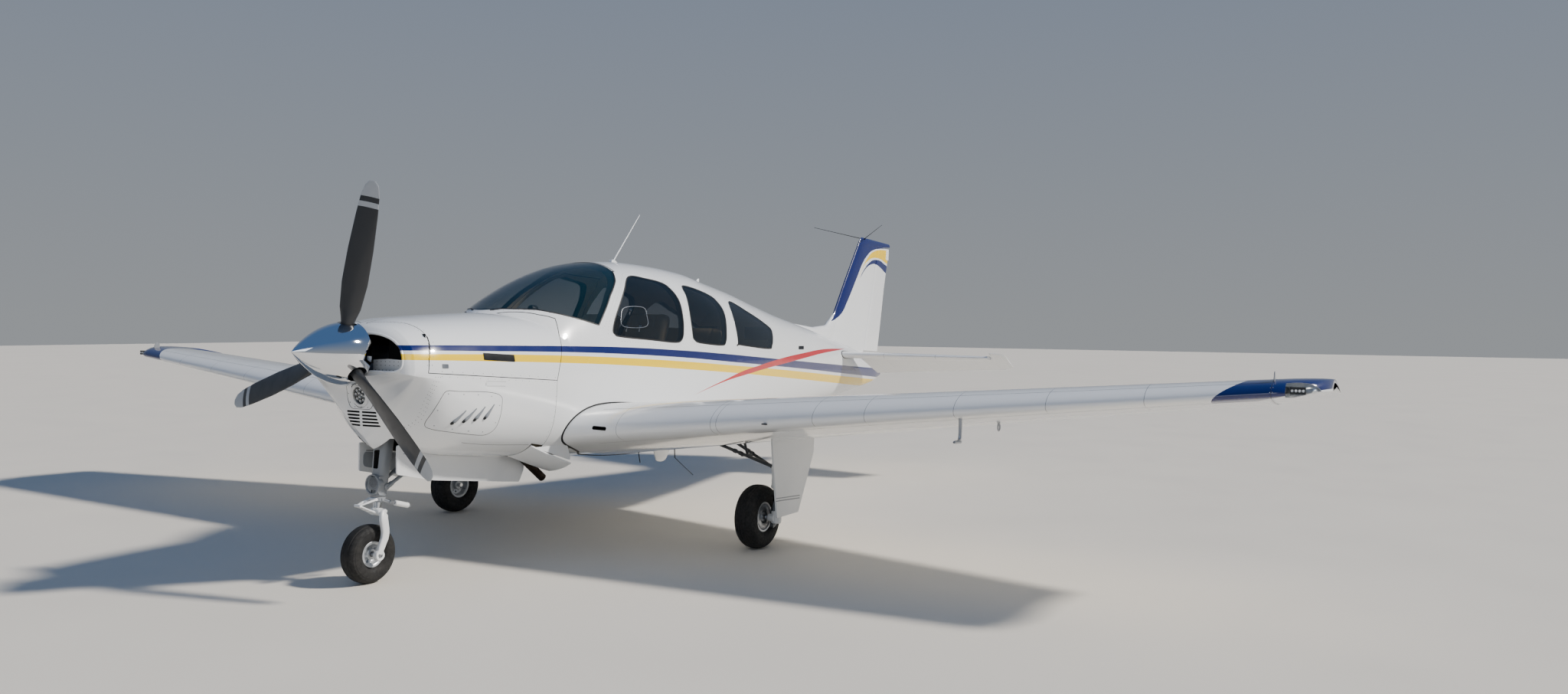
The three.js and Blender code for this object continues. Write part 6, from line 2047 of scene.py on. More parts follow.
@dataclass
class NoseGear:
    """The steered nose leg with its lamp, links, damper and one-sided fork, the doors and the wheel."""

    top: tuple[float, float] = (0.672, -0.592)
    low: tuple[float, float] = (0.64, -0.953)
    axle: tuple[float, float] = (0.59, -1.1995)
    fork_y: float = -0.092
    lamp: tuple[float, float] = (0.598, -0.785)
    door: Outline = ((0.63, -0.54), (1.742, -0.6), (1.74, -0.753), (1.699, -0.834), (0.932, -0.77), (0.636, -0.716))
    door_y: tuple[float, float] = (0.158, 0.168)
    tyre_radius: float = 0.177
    tyre_width: float = 0.125
    rim_radius: float = 0.07

    def strut(self, z: float) -> Array:
        """The strut's centre at a height."""
        share = (self.top[1] - z) / (self.top[1] - self.low[1])
        return np.array([self.top[0] + (self.low[0] - self.top[0]) * share, 0, z])

    def housing(self) -> None:
        """The strut's housing: an oval trunk that narrows downwards, a collar, side plates and the drag brace."""
        z = np.array([-0.48, -0.55, -0.62, -0.7, -0.76, -0.8, -0.835, -0.852, -0.856])
        wide = np.array([0.058, 0.058, 0.055, 0.05, 0.046, 0.0445, 0.043, 0.042, 0.038])
        deep = np.array([0.046, 0.046, 0.045, 0.044, 0.043, 0.043, 0.042, 0.041, 0.037])
        cosine, sine = oval(48, 0.72)
        centre = np.stack([self.strut(h) for h in z])
        trunk = loft(centre[:, None] + grid(deep[:, None] * cosine, wide[:, None] * sine, 0.0))
        slot = prism(rounded(((-0.02, -0.69), (0.02, -0.69), (0.026, -0.58), (-0.022, -0.575)), 0.008, 3), "yz", 0.55,
                     0.655, Face.INNER)
        show("nose_leg_housing", trunk.minus(slot), "airframe", (Kit.grey_paint_and_shade, Kit.shade_lining, Kit.grey_paint_and_shade),
             ("nose_leg",), crease=40)
        plates = []
        for side in SIDES.values():
            plates.append(rod((0.672, side * 0.03, -0.8), (0.672, side * 0.052, -0.8), 0.02, sides=24, edge=0.003))
            a, b = np.array([0.68, side * 0.04, -0.8]), np.array([1.04, side * 0.07, -0.578])
            plates.append(bar(np.linspace(a, b, 10), 0.0115, 16))
            plates.append(rod(a - 0.03 * (b - a), a + 0.1 * (b - a), 0.0155, sides=20, edge=0.003))
            plates.append(rod(a + 0.9 * (b - a), b, 0.0155, sides=20, edge=0.003))
        plates.append(rod_across((0.8, 0, -0.727), 0.055, 0.008, sides=14, edge=0.002))
        show("nose_drag_brace", joined(plates), "airframe", Kit.grey_paint_and_shade)

    def light(self) -> None:
        """The taxi lamp: a deep bezel on a bracket, a dark face and a round group of lit cells behind clear glass."""
        x, z = self.lamp
        at = (x, 0, z)
        bezel = [(0.0605, 0.0), (0.062, 0.004), (0.0618, 0.03), (0.056, 0.044), (0.03, 0.05), (0.03, 0.046),
                 (0.052, 0.036), (0.054, 0.01), (0.0535, 0.002), (0.0555, 0.0)]
        show("taxi_lamp_bezel", spun(bezel, at, (1, 0, 0), 64), "airframe", Kit.grey_paint_and_shade)
        lamp_cells("taxi_lamp", (x + 0.004, 0, z), 0.0525, "airframe")
        block = rounded(((0.607, -0.735), (0.648, -0.735), (0.65, -0.84), (0.62, -0.85), (0.604, -0.83)), 0.008, 3)
        mount = prism(block, "xz", -0.05, 0.05)
        vent = box([0.55, -0.026, -0.846], [0.66, 0.012, -0.818], Face.INNER)
        show("taxi_lamp_bracket", mount.minus(vent), "airframe", (Kit.grey_paint_and_shade, Kit.shade_lining, Kit.grey_paint_and_shade),
             crease=35)

    def fork(self) -> None:
        """The fork: collar, piston, the curved one-sided leg with its eye, torque links, arm and shimmy damper."""
        axle = np.array([self.axle[0], 0, self.axle[1]])
        collar = [rod(self.strut(-0.862), self.strut(-0.888), 0.0455, sides=40, edge=0.004),
                  rod(self.strut(-0.886), self.strut(-0.893), 0.034, sides=32, edge=0.002)]
        for y in (-0.05, 0.05):
            collar.append(rod(self.strut(-0.875) + [0, y * 0.7, 0], self.strut(-0.875) + [0, y, 0], 0.011, sides=16,
                              edge=0.002))
        show("nose_fork_collar", joined(collar), "nose_fork", Kit.grey_paint_and_shade, ("nose_fork",))
        show("nose_piston", rod(self.strut(-0.884), self.strut(-0.958), 0.0245, sides=40), "nose_fork", Kit.piston)
        line = [[0.64, 0.022, -0.95], [0.638, -0.03, -0.948], [0.628, -0.073, -0.955], [0.616, -0.091, -0.985],
                [0.622, -0.093, -1.02], [0.63, -0.093, -1.064], [0.626, -0.093, -1.1], [0.616, -0.093, -1.125],
                [0.602, -0.093, -1.16], [0.591, -0.093, -1.193]]
        path = smooth_path(line, 8)
        share = np.linspace(0, 1, len(path))
        wide = np.interp(share, [0, 0.15, 0.35, 0.6, 0.85, 1], [0.027, 0.029, 0.027, 0.026, 0.023, 0.019])
        tangent = tangents(path)
        across = np.tile([0.0, 1.0, 0.0], (len(path), 1))
        turned = np.clip((share - 0.12) / 0.15, 0, 1)[:, None]
        across = unit(across * turned + np.array([0, 0, 1.0]) * (1 - turned))
        deep = unit(np.cross(tangent, across))
        across = np.cross(deep, tangent)
        cosine, sine = oval(28, 0.6)
        thin = np.interp(share, [0, 0.2, 1], [0.024, 0.017, 0.014])
        rings = (path[:, None] + deep[:, None] * (wide[:, None] * cosine)[..., None]
                 + across[:, None] * (thin[:, None] * sine)[..., None])
        eye = spun([(0.0165, -0.016), (0.03, -0.016), (0.032, -0.013), (0.032, 0.013), (0.03, 0.016),
                    (0.0165, 0.016)], axle + [0, self.fork_y, 0], (0, 1, 0), 48)
        boss = rod((0.642, 0, -0.93), (0.64, 0, -0.97), 0.033, sides=36, edge=0.005)
        show("nose_fork_leg", joined([skinned(rings), eye, boss]), "nose_fork", Kit.gear_paint,
             crease=45)
        shaft = rod(axle + [0, self.fork_y - 0.014, 0], axle + [0, 0.07, 0], 0.0135, sides=24, edge=0.002)
        show("nose_axle", shaft, "nose_fork", Kit.steel)
        hinge = np.array([0.5, 0, -0.905])
        arms = []
        for end, spread in ((self.strut(-0.874) - [0.04, 0, 0], 0.03), (np.array([0.617, 0, -0.958]), 0.026)):
            for y in (-1, 1):
                a, b = end + [0, y * spread, 0], hinge + [0, y * 0.012, 0]
                arms.append(bar(np.linspace(a, b, 6), np.linspace(0.011, 0.0075, 6), 12, 0.7))
            arms.append(rod_across(end, spread + 0.008, 0.0095, sides=16, edge=0.002))
            middle = end * 0.55 + hinge * 0.45
            arms.append(rod_across(middle, spread * 0.7, 0.006, sides=12))
        arms.append(rod_across(hinge, 0.026, 0.0085, sides=16, edge=0.002))
        show("nose_torque_links", joined(arms), "nose_fork", Kit.gear_paint)
        a, b = np.array([0.69, -0.06, -0.892]), np.array([0.85, -0.06, -0.93])
        run = b - a
        damper = rod(a + run * 0.22, a + run * 0.88, 0.0165, sides=28, edge=0.003)
        show("shimmy_damper", damper, "nose_fork", Kit.gear_paint)
        ends = [rod(a, a + run * 0.24, 0.0065, sides=14, edge=0.001),
                rod(a + run * 0.86, b, 0.0055, sides=14, edge=0.001),
                rod_across(a, 0.016, 0.0115, sides=18, edge=0.002),
                bar(smooth_path([[0.652, -0.03, -0.876], [0.672, -0.046, -0.884], a], 4), 0.0105, 14)]
        show("shimmy_damper_arm", joined(ends), "nose_fork", Kit.steel)

    def doors(self) -> None:
        """The two nose doors: plates with a raised inner face, their hinges and push rods."""
        clear = COWL.solid(COWL_START, COWL_END, -0.0008, Face.RIM)
        for name, side in SIDES.items():
            low, high = span_y(side, *self.door_y)
            plate = prism(rounded(self.door, 0.015, 4), "xz", low, high, Face.OUTER).minus(clear).largest()
            show(f"nose_door_plate_{name}", plate, "airframe", (Kit.gear_paint,) * 3,
                 (f"nose_door_{name}",), crease=40)
            inner = ((0.66, -0.6), (1.66, -0.68), (1.65, -0.745), (1.62, -0.795), (0.95, -0.74), (0.66, -0.69))
            low, high = span_y(side, self.door_y[0] - 0.004, self.door_y[0] + 0.002)
            liner = prism(rounded(inner, 0.03, 5), "xz", low, high, Face.OUTER).minus(clear).largest()
            show(f"nose_door_liner_{name}", liner, "airframe", (Kit.grey_paint_and_shade,) * 3, crease=40)
            parts = [rod((x, side * 0.163, -0.592 - 0.03 * (x - 0.66)), (x + 0.09, side * 0.163, -0.597 - 0.03 * (
                x - 0.66)), 0.006, sides=12, edge=0.001) for x in (0.68, 0.95, 1.22)]
            parts.append(rod((0.72, side * 0.058, -0.62), (0.78, side * 0.152, -0.69), 0.006, sides=12, edge=0.001))
            show(f"nose_door_rods_{name}", joined(parts), "airframe", Kit.steel)

    def build(self) -> None:
        """Makes the leg, lamp, fork, doors and wheel."""
        self.housing()
        self.light()
        self.fork()
        self.doors()
        Wheel("nose", "nose_wheel", (self.axle[0], 0, self.axle[1]), self.tyre_radius, self.tyre_width,
              self.rim_radius, holes=5, grooves=(-0.45, 0.45)).build()


def lamp_cells(name: str, centre: Sequence[float], radius: float, body: str, replaces: Sequence[str] = (),
               axis: Sequence[float] = (1.0, 0.0, 0.0)) -> None:
    """A round lamp that faces forward: a dark face, cells on two rings, each a shallow cup, and a domed lens.

    Args:
        name: the lamp's name.
        centre: the middle of its front edge.
        radius: of the face.
        body: the body that it moves with.
        replaces: the CAD nodes that it stands for.
        axis: the way from its front to its back.
    """
    axis = unit(np.array(axis))
    across, up = np.array([0.0, 1.0, 0.0]), np.cross(axis, (0, 1, 0))
    face = [(0.0004, 0.012), (radius, 0.012), (radius, 0.018), (0.0004, 0.018)]
    show(f"{name}_face", dome(face, centre, axis, 48), body, Kit.lamp_dark, replaces)
    cups = []
    for count, ring, turn in ((3, 0.26, 0.5), (8, 0.7, 0.2)):
        for k in range(count):
            angle = 2 * math.pi * (k + turn) / count
            at = centre + axis * 0.012 + radius * ring * (across * math.cos(angle) + up * math.sin(angle))
            r = radius * 0.2
            profile = [(r, 0.001), (r, -0.004), (r * 0.82, -0.0045), (r * 0.3, -0.0008), (0.0003, -0.0004),
                       (0.0003, 0.001)]
            cups.append(dome(profile, at, axis, 14))
    show(f"{name}_cells", joined(cups), body, Kit.lamp)
    share = np.linspace(0, 1, 10)
    front = np.stack([radius * np.sin(share * math.pi / 2), 0.006 - 0.005 * np.cos(share * math.pi / 2)], -1)
    back = front[::-1] + [0, 0.0015]
    front[0, 0] = back[-1, 0] = 0.0003
    show(f"{name}_lens", dome(np.concatenate([front, back]), centre, axis, 48), body, Kit.lens)


# Fittings on the cowling


@lru_cache(maxsize=None)
def proud_shell(of_cabin: bool, height: float) -> Solid:
    """A thin shell that lies on the cowl's or the cabin's skin, for plates that follow it."""
    if of_cabin:
        return CABIN.solid(1.4, 7.6, -height).minus(CABIN.solid(1.35, 7.8, -0.0002))
    return COWL.solid(0.42 - height, 2.1, -height).minus(COWL.solid(0.42, 2.15, -0.0002))


def patch(outline: Outline, plane: str, low: float, high: float, height: float = 0.0014,
          of_cabin: bool = False) -> Solid:
    """A plate that follows the skin inside an outline.

    Args:
        outline: its corners in the plane.
        plane: the plane that the outline is drawn in.
        low: where the plate's room starts on the third axis.
        high: where it ends.
        height: how far the plate stands off the skin.
        of_cabin: whether it is on the cabin's skin rather than the cowl's.

    Returns:
        The plate.
    """
    return proud_shell(of_cabin, height).within(prism(outline, plane, low, high))


def cowl_front(flat: Array) -> Array:
    """Points of the cowl's front at rows of y and z: x by halving the span between outside and inside."""
    flat = np.asarray(flat, float)
    low, high = np.full(len(flat), COWL_START), np.full(len(flat), 0.9)
    inside = COWL.field(np.column_stack([low, flat])) < 0
    for _ in range(18):
        middle = (low + high) / 2
        within = COWL.field(np.column_stack([middle, flat])) < 0
        high, low = np.where(within, middle, high), np.where(within, low, middle)
    return np.column_stack([np.where(inside, COWL_START, high), flat])


def skin_row(points: Outline, pitch: float, side: float = -1.0, shift: float = 0.0) -> tuple[Array, Array]:
    """Points at an even pitch along a line given on the port side, moved onto the skin, with the normals there."""
    line = smooth_path(mirrored(points, side), 8)
    return on_skin(along(line, pitch) + [shift, 0, 0])


def skin_bead(points: Outline, side: float, half: float, height: float) -> tuple[Array, list[Array]]:
    """A bead along a line of the skin that is given on the port side."""
    place, normals = skin_row(points, 0.012, side)
    return bent(place, normals, half, height, closed=False)


@dataclass
class CowlFittings:
    """What is fixed to the cowling: inlet lips and baffles, lamp, chin plate, panels, louvres, flaps and exhausts."""

    seam: Outline = ((0.549, -0.163, 0.197), (0.595, -0.263, 0.185), (0.614, -0.351, 0.149), (0.62, -0.42, 0.09),
                     (0.608, -0.451, 0.037), (0.602, -0.453, 0.03), (0.578, -0.472, -0.053))
    chin_seam: Outline = ((0.63, -0.483, -0.122), (0.608, -0.479, -0.186), (0.569, -0.462, -0.276),
                          (0.552, -0.424, -0.367), (0.54, -0.36, -0.44), (0.53, -0.2, -0.5))
    rear_seam: Outline = ((1.615, -0.559, -0.132), (1.612, -0.559, -0.199), (1.604, -0.547, -0.368),
                          (1.593, -0.517, -0.47), (1.607, -0.459, -0.558))
    lower_seam: Outline = ((0.93, -0.396, -0.525), (1.174, -0.415, -0.545), (1.472, -0.443, -0.556))
    panel: Outline = ((0.71, -0.202), (0.79, -0.205), (1.001, -0.208), (1.112, -0.232), (1.128, -0.295),
                      (1.118, -0.424), (1.073, -0.471), (0.999, -0.476), (0.83, -0.456), (0.71, -0.436),
                      (0.667, -0.404), (0.668, -0.33), (0.684, -0.232))
    louvres: Outline = ((0.799, -0.393, 0.858, -0.321), (0.866, -0.383, 0.93, -0.309), (0.937, -0.374, 0.994, -0.299),
                        (1.009, -0.365, 1.064, -0.285))
    chin_plate: Outline = ((0.075, -0.165), (-0.075, -0.165), (-0.112, -0.2), (-0.118, -0.26), (-0.09, -0.328),
                           (0.09, -0.328), (0.118, -0.26), (0.112, -0.2))
    lamp_z: float = LAMP_Z
    lamp_radius: float = 0.052
    flap_hinge: float = 1.5
    flap_tip: float = 1.884
    flap_y: tuple[float, float] = (0.24, 0.436)
    flap_z: tuple[float, float] = (-0.653, -0.572)
    flap_open: float = math.radians(17)
    pipe_y: float = 0.203
    pipe: Outline = ((1.47, -0.52), (1.894, -0.815))

    def inlets(self) -> None:
        """The rolled lip round each cooling inlet, the light baffle plate in its lower half and a dark sheet behind it
        as painted shade.
        """
        lips, plates, heads = [], [], []
        fuselage = Fuselage()
        for side in SIDES.values():
            outline = along(fuselage.inlet_outline(side), 0.01, closed=True)
            edge = cowl_front(outline) + [0.0045, 0, 0]
            lips.append(bar(edge, 0.0078, 14, closed=True, up=(1, 0, 0)))
            corners = ((0.1, -0.098), (0.345, -0.098), (0.38, -0.074), (0.381, -0.03), (0.23, -0.024), (0.1, -0.03))
            plates.append(prism([(side * y, z) for y, z in corners], "yz", 0.488, 0.491))
            rows = [(y, z) for z in (-0.04, -0.062) for y in np.arange(0.13, 0.37, 0.036)]
            rows += [(y, -0.09) for y in np.arange(0.12, 0.34, 0.03)]
            at = np.array([[0.488, side * y, z] for y, z in rows])
            heads.append(studs(at, np.tile([-1.0, 0, 0], (len(at), 1)), 0.0034, 0.001))
        show("inlet_lips", joined(lips), "airframe", Kit.livery)
        for name, plate in zip(("port", "starboard"), plates):
            show(f"inlet_baffle_{name}", plate, "airframe", Kit.gear_paint)
        show("inlet_baffle_rivets", joined(heads), "airframe", Kit.seam)
        # a near-black sheet behind each inlet: painted shade for the dark inside the cowling
        for name, side in SIDES.items():
            low, high = span_y(side, 0.1, 0.4)
            show(f"inlet_back_{name}", box([0.6, low, -0.11], [0.603, high, 0.13]), "airframe", Kit.shade_lining)

    def lamp(self) -> None:
        """The landing lamp in its round opening, with the chin plate, its screws, and a dark sheet behind the grille as
        painted shade.
        """
        at, axis = (0.479, 0.0, self.lamp_z), (0.972, 0.0, 0.235)
        ring = [(self.lamp_radius + out, height) for out, height in (
            (0.001, -0.004), (0.009, -0.003), (0.011, 0.0), (0.0215, 0.001), (0.0215, 0.008), (0.001, 0.02))]
        show("landing_lamp_ring", spun(ring, at, axis, 64), "airframe", Kit.gear_paint)
        lamp_cells("landing_lamp", (0.477, 0, self.lamp_z), self.lamp_radius, "airframe", ("landing_light",), axis)
        outline = rounded(self.chin_plate, 0.03, 6)
        round_hole = pin((0.3, 0, self.lamp_z), (0.6, 0, self.lamp_z), self.lamp_radius + 0.0218, 64)
        plate = patch(outline, "yz", 0.38, 0.58).minus(round_hole)
        show("chin_plate", plate, "airframe", (Kit.white,) * 3, on_hull=True)
        inner = along(grown(outline, -0.012), 0.055, closed=True)
        at = cowl_front(inner)
        edge = cowl_front(along(outline, 0.01, closed=True))
        out = COWL.normals(at)
        show("chin_plate_screws", studs(at + out * 0.0012, out, 0.0036, 0.0012), "airframe", Kit.rivet_shade)
        show("chin_plate_edge", COWL.bead(edge, 0.0014, 0.0018), "airframe", Kit.seam)
        # a near-black sheet behind the grille slots: painted shade for the dark passage behind them
        show("grille_shade_sheet", box([0.556, -0.1, -0.44], [0.559, 0.1, -0.335]), "airframe", Kit.shade_lining)

    def marks(self) -> None:
        """The bare badge plate, latch, handle and access panel with its louvres and screws, on both sides."""
        for name, side in SIDES.items():
            low, high = span_y(side, 0.3, 0.7)
            door = f"cowl_door_{name}"
            badge = ((0.975, -0.012), (1.225, -0.018), (1.225, 0.026), (0.975, 0.031))
            show(f"badge_plate_{name}", patch(rounded(badge, 0.004, 3), "xz", low, high, 0.003), door,
                 (Kit.plate,) * 3, on_hull=True)
            latch = ((0.66, -0.069), (0.704, -0.069), (0.704, -0.044), (0.66, -0.044))
            show(f"cowl_latch_{name}", patch(rounded(latch, 0.005, 3), "xz", low, high, 0.0025), door,
                 (Kit.steel,) * 3, on_hull=True)
            handle = rounded(((0.988, -0.171), (1.153, -0.171), (1.153, -0.144), (0.988, -0.144)), 0.004, 3)
            show(f"cowl_handle_{name}", patch(handle, "xz", low, high, 0.002), "airframe", (Kit.white,) * 3,
                 on_hull=True)
            lines = [COWL.side(along(outline, 0.012, closed=True), side)
                     for outline in (handle, smooth_path(self.panel, 4, closed=True))]
            show(f"cowl_panel_seam_{name}", joined([COWL.bead(line, 0.0019, 0.0006) for line in lines]),
                 "airframe", Kit.seam)
            screws = COWL.side(along(grown(self.panel, -0.018), 0.11, closed=True), side)
            show(f"cowl_panel_screws_{name}", studs(screws, COWL.normals(screws), 0.0046, 0.0014, 9), "airframe",
                 Kit.steel)
            vents, mouths = [], []
            for head_x, head_z, tip_x, tip_z in self.louvres:
                flat = np.linspace([tip_x, tip_z], [head_x, head_z], 26)
                line = COWL.side(flat, side)
                share = np.linspace(0, 1, 26)
                radius = 0.005 + 0.0135 * share**1.3
                radius[-3:] *= [0.95, 0.8, 0.45]
                vents.append(bar(line, radius, 14, 0.72))
                front = COWL.side(np.linspace([head_x, head_z], [head_x - 0.011, head_z - 0.012], 4), side)
                mouths.append(bar(front, np.array([0.013, 0.0132, 0.012, 0.006]), 14, 0.72))
            # the louvres are grey and their mouths near black: painted shade on the white cowl, at and inside each
            # louvre
            show(f"cowl_louvres_{name}", joined(vents), "airframe", Kit.grey_paint_and_shade)
            show(f"cowl_louvre_mouths_{name}", joined(mouths), "airframe", Kit.seam)

    def rivets(self) -> None:
        """Rows of rivets beside the cowling's seams, on both sides."""
        rows, on_door = [], {}
        for name, side in SIDES.items():
            for line, pitch, shifts in ((self.chin_seam, 0.03, (-0.014, 0.003, 0.02)),
                                        (self.rear_seam, 0.034, (-0.014,)), (self.lower_seam, 0.04, (0.0,)),
                                        (self.seam, 0.034, (-0.014,))):
                rows += [skin_row(line, pitch, side, shift) for shift in shifts]
            edge, low = ([[x, -0.55, z - 0.03 * (x - 0.65)] for x in (0.65, 0.9, 1.2, 1.58)] for z in (-0.085, -0.118))
            on_door[name] = [skin_row(self.seam, 0.05, side, 0.018), skin_row(edge, 0.075, side)]
            rows.append(skin_row(low, 0.06, side))
        show("cowl_rivets", stud_rows(rows, 0.0026, 0.0008), "airframe", Kit.rivet_shade)
        for name, doors in on_door.items():
            show(f"cowl_door_rivets_{name}", stud_rows(doors, 0.003, 0.001), f"cowl_door_{name}", Kit.rivet_shade)
        beads = [skin_bead(self.lower_seam, side, 0.0014, 0.0005) for side in SIDES.values()]
        show("cowl_lower_seam", joined(beads), "airframe", Kit.seam)

    def flaps(self, whole: Solid) -> None:
        """The two cowl flaps: cut from the skin of the whole hull, with side cheeks, turned open about the hinge."""
        for name, side in SIDES.items():
            low, high = span_y(side, *self.flap_y)
            skin = whole.minus(CABIN.solid(1.3, 2.2, 0.006, Face.INNER).plus(COWL.solid(0.6, 2.1, 0.006, Face.INNER)))
            panel = skin.within(box([self.flap_hinge, low, -0.9], [self.flap_tip, high, -0.3])).largest()
            middle = np.array([self.flap_hinge, side * sum(self.flap_y) / 2, sum(self.flap_z) / 2])
            axis = unit(np.array([0, self.flap_y[1] - self.flap_y[0], side * (self.flap_z[1] - self.flap_z[0])]))
            panel.move(lambda points, c=middle, k=axis: about(points, c, k, self.flap_open))
            show(f"cowl_flap_skin_{name}", panel, f"cowl_flap_{name}", (Kit.white,) * 3,
                 (f"cowl_flap_{name}",), crease=40)
            cheeks = []
            for share in (0.02, 0.98):
                y = self.flap_y[0] + (self.flap_y[1] - self.flap_y[0]) * share
                z = self.flap_z[0] + (self.flap_z[1] - self.flap_z[0]) * share
                corners = ((1.53, z + 0.006), (1.872, z), (1.868, z + 0.022), (1.82, z + 0.088), (1.78, z + 0.084))
                a, b = span_y(side, y - 0.0012, y + 0.0012)
                flat = prism(rounded(corners, 0.008, 3), "xz", a, b)
                flat.move(lambda points, c=middle, k=axis: about(points, c, k, self.flap_open))
                cheeks.append(flat)
            show(f"cowl_flap_cheeks_{name}", cheeks[0].plus(cheeks[1]), f"cowl_flap_{name}", (Kit.gear_paint,) * 3)

    def exhausts(self) -> None:
        """Each exhaust: a hollow pipe that runs down and back, with a bead before its end."""
        (x0, z0), (x1, z1) = self.pipe
        run = np.array([x1 - x0, 0, z1 - z0])
        length = float(np.linalg.norm(run))
        profile = [(0.0003, 0), (0.028, 0), (0.028, length - 0.05), (0.0288, length - 0.046), (0.028, length - 0.042),
                   (0.028, length), (0.0262, length), (0.026, length - 0.2), (0.0003, length - 0.2)]
        for name, side in SIDES.items():
            show(f"exhaust_pipe_{name}", dome(profile, (x0, side * self.pipe_y, z0), run, 40), "airframe", Kit.exhaust,
                 (f"exhaust_{name}",), crease=40)

    def build(self, fuselage: Fuselage) -> None:
        """Makes every fitting of the cowling."""
        self.inlets()
        self.lamp()
        self.marks()
        self.rivets()
        self.flaps(fuselage.whole)
        self.exhausts()


# Fittings on the cabin, the belly and the tail


@dataclass
class CabinFittings:
    """Window frames and their rivets, the storm window, aerials, scoop, plates and the doors' handles."""

    frame_line: Outline = ((1.465, -0.072, 0.326), (1.516, -0.16, 0.335), (1.646, -0.312, 0.338),
                           (1.806, -0.443, 0.306), (1.974, -0.507, 0.273), (2.057, -0.528, 0.257))
    pillar_front: Outline = ((2.06, 0.236), (2.1, 0.245), (2.17, 0.33), (2.295, 0.468), (2.43, 0.582), (2.5, 0.655))
    pillar_rear: Outline = ((2.128, 0.2), (2.15, 0.262), (2.228, 0.368), (2.38, 0.528), (2.545, 0.664))
    storm: Outline = ((2.362, 0.397), (2.566, 0.41), (2.587, 0.348), (2.554, 0.269), (2.303, 0.257), (2.296, 0.331))
    latches: Outline = ((2.44, 0.392), (2.36, 0.262), (2.51, 0.27))

    def frames(self) -> None:
        """The windshield's seal and rivets, and each side window's painted frame with its rivets."""
        flat = np.array([(1.462, 0.322), (1.5, 0.334), (1.58, 0.337), (1.65, 0.337), (1.8, 0.308), (1.97, 0.272),
                         (2.05, 0.254), (2.14, 0.35), (2.262, 0.478), (2.4, 0.595), (2.465, 0.67)])
        port = CABIN.side(along(flat, 0.012), -1.0)
        crown = CABIN.crown(grid(2.478, np.linspace(-0.31, 0.31, 30)))
        loop = np.concatenate([port, crown, (port * [1, -1, 1])[::-1]])
        show("windshield_seal", CABIN.bead(loop, 0.006, 0.0018), "airframe", Kit.seal)
        heads, door_heads, rings = [], [], {}
        for where, side in SIDES.items():
            heads.append(skin_row(self.frame_line, 0.034, side, -0.022))
            for line in (self.pillar_front, self.pillar_rear):
                place = CABIN.side(along(smooth_path(line, 6), 0.024), side)
                heads.append((place, CABIN.normals(place)))
            for name in WINDOWS:
                on_door = (name, where) == ("front", "starboard")
                outline = along(grown(window_outline(name), 0.03), 0.03, closed=True)
                if name == "front":
                    outline = outline[outline[:, 0] > 2.25]
                place = CABIN.side(outline, side)
                (door_heads if on_door else heads).append((place, CABIN.normals(place)))
                line = CABIN.side(along(grown(window_outline(name), 0.0125), 0.012, closed=True), side)
                rings[name, where] = (CABIN.bead(line, 0.0075, 0.0012), on_door)
        for name, rows, body in (("cabin_rivets", heads, "airframe"), ("cabin_door_rivets", door_heads, "cabin_door")):
            show(name, stud_rows(rows, 0.0025, 0.0008), body, Kit.rivet_shade)
        for (name, where), (ring, on_door) in rings.items():
            show(f"window_frame_{name}_{where}", ring, "cabin_door" if on_door else "airframe", Kit.white)

    def storm_window(self) -> None:
        """The small opening pane in the front port window, with three chrome latches."""
        line = CABIN.side(smooth_path(self.storm, 6, closed=True), -1.0)
        show("storm_window_edge", CABIN.bead(line, 0.0022, 0.0012), "airframe", Kit.steel)
        parts = []
        for x, z in self.latches:
            at = CABIN.side(np.array([[x, z]]), -1.0)[0]
            out = CABIN.normals(at[None])[0]
            inner = at - out * 0.012
            parts.append(rod(inner, inner - out * 0.016, 0.012, sides=20, edge=0.003))
            parts.append(rod(inner - out * 0.014 + [0, 0, 0.008], inner - out * 0.018 - [0, 0, 0.036], 0.007, 0.005, 14,
                             0.002))
        show("storm_window_latches", joined(parts), "airframe", Kit.chrome)

    def aerials(self) -> None:
        """The whip and the blades above and below the fuselage, and the whips on the fin."""
        whip = np.linspace([2.845, 0, 0.772], [3.181, 0, 1.193], 14)
        base = prism(rounded(((2.815, 0.752), (2.905, 0.752), (2.9, 0.782), (2.858, 0.8), (2.83, 0.8)), 0.01, 4), "xz",
                     -0.013, 0.013)
        show("top_whip", bar(whip, np.linspace(0.0062, 0.003, 14), 14, up=(0, 1, 0)), "airframe", Kit.white)
        show("top_whip_base", base, "airframe", Kit.white, crease=50)
        for name, shape in (("top_blade", ((3.99, 0.69), (4.045, 0.756), 0.075, 0.03, 0.007)),
                            ("belly_blade", ((3.45, -0.652), (3.52, -0.81), 0.3, 0.13, 0.011))):
            show(name, self.blade(*shape), "airframe", Kit.white, crease=50)
        lines = [([3.253, 0, -0.66], [3.3, 0, -0.805], 0.004), ([3.775, 0, -0.64], [3.79, 0, -0.79], 0.0045),
                 ([3.79, 0, -0.79], [4.075, 0, -0.955], 0.0032)]
        show("belly_whips", joined([bar(np.linspace(a, b, 8), r, 12, up=(0, 1, 0)) for a, b, r in lines]), "airframe",
             Kit.plate)
        fin = [bar(np.linspace([7.38, side * 0.01, 1.488], [6.965, side * 0.413, 1.578], 16),
                   np.linspace(0.004, 0.0022, 16), 10, up=(0, 0, 1)) for side in SIDES.values()]
        fin.append(rod_across((7.38, 0, 1.488), 0.024, 0.008, sides=16, edge=0.002))
        show("fin_aerials", joined(fin), "airframe", Kit.plate)

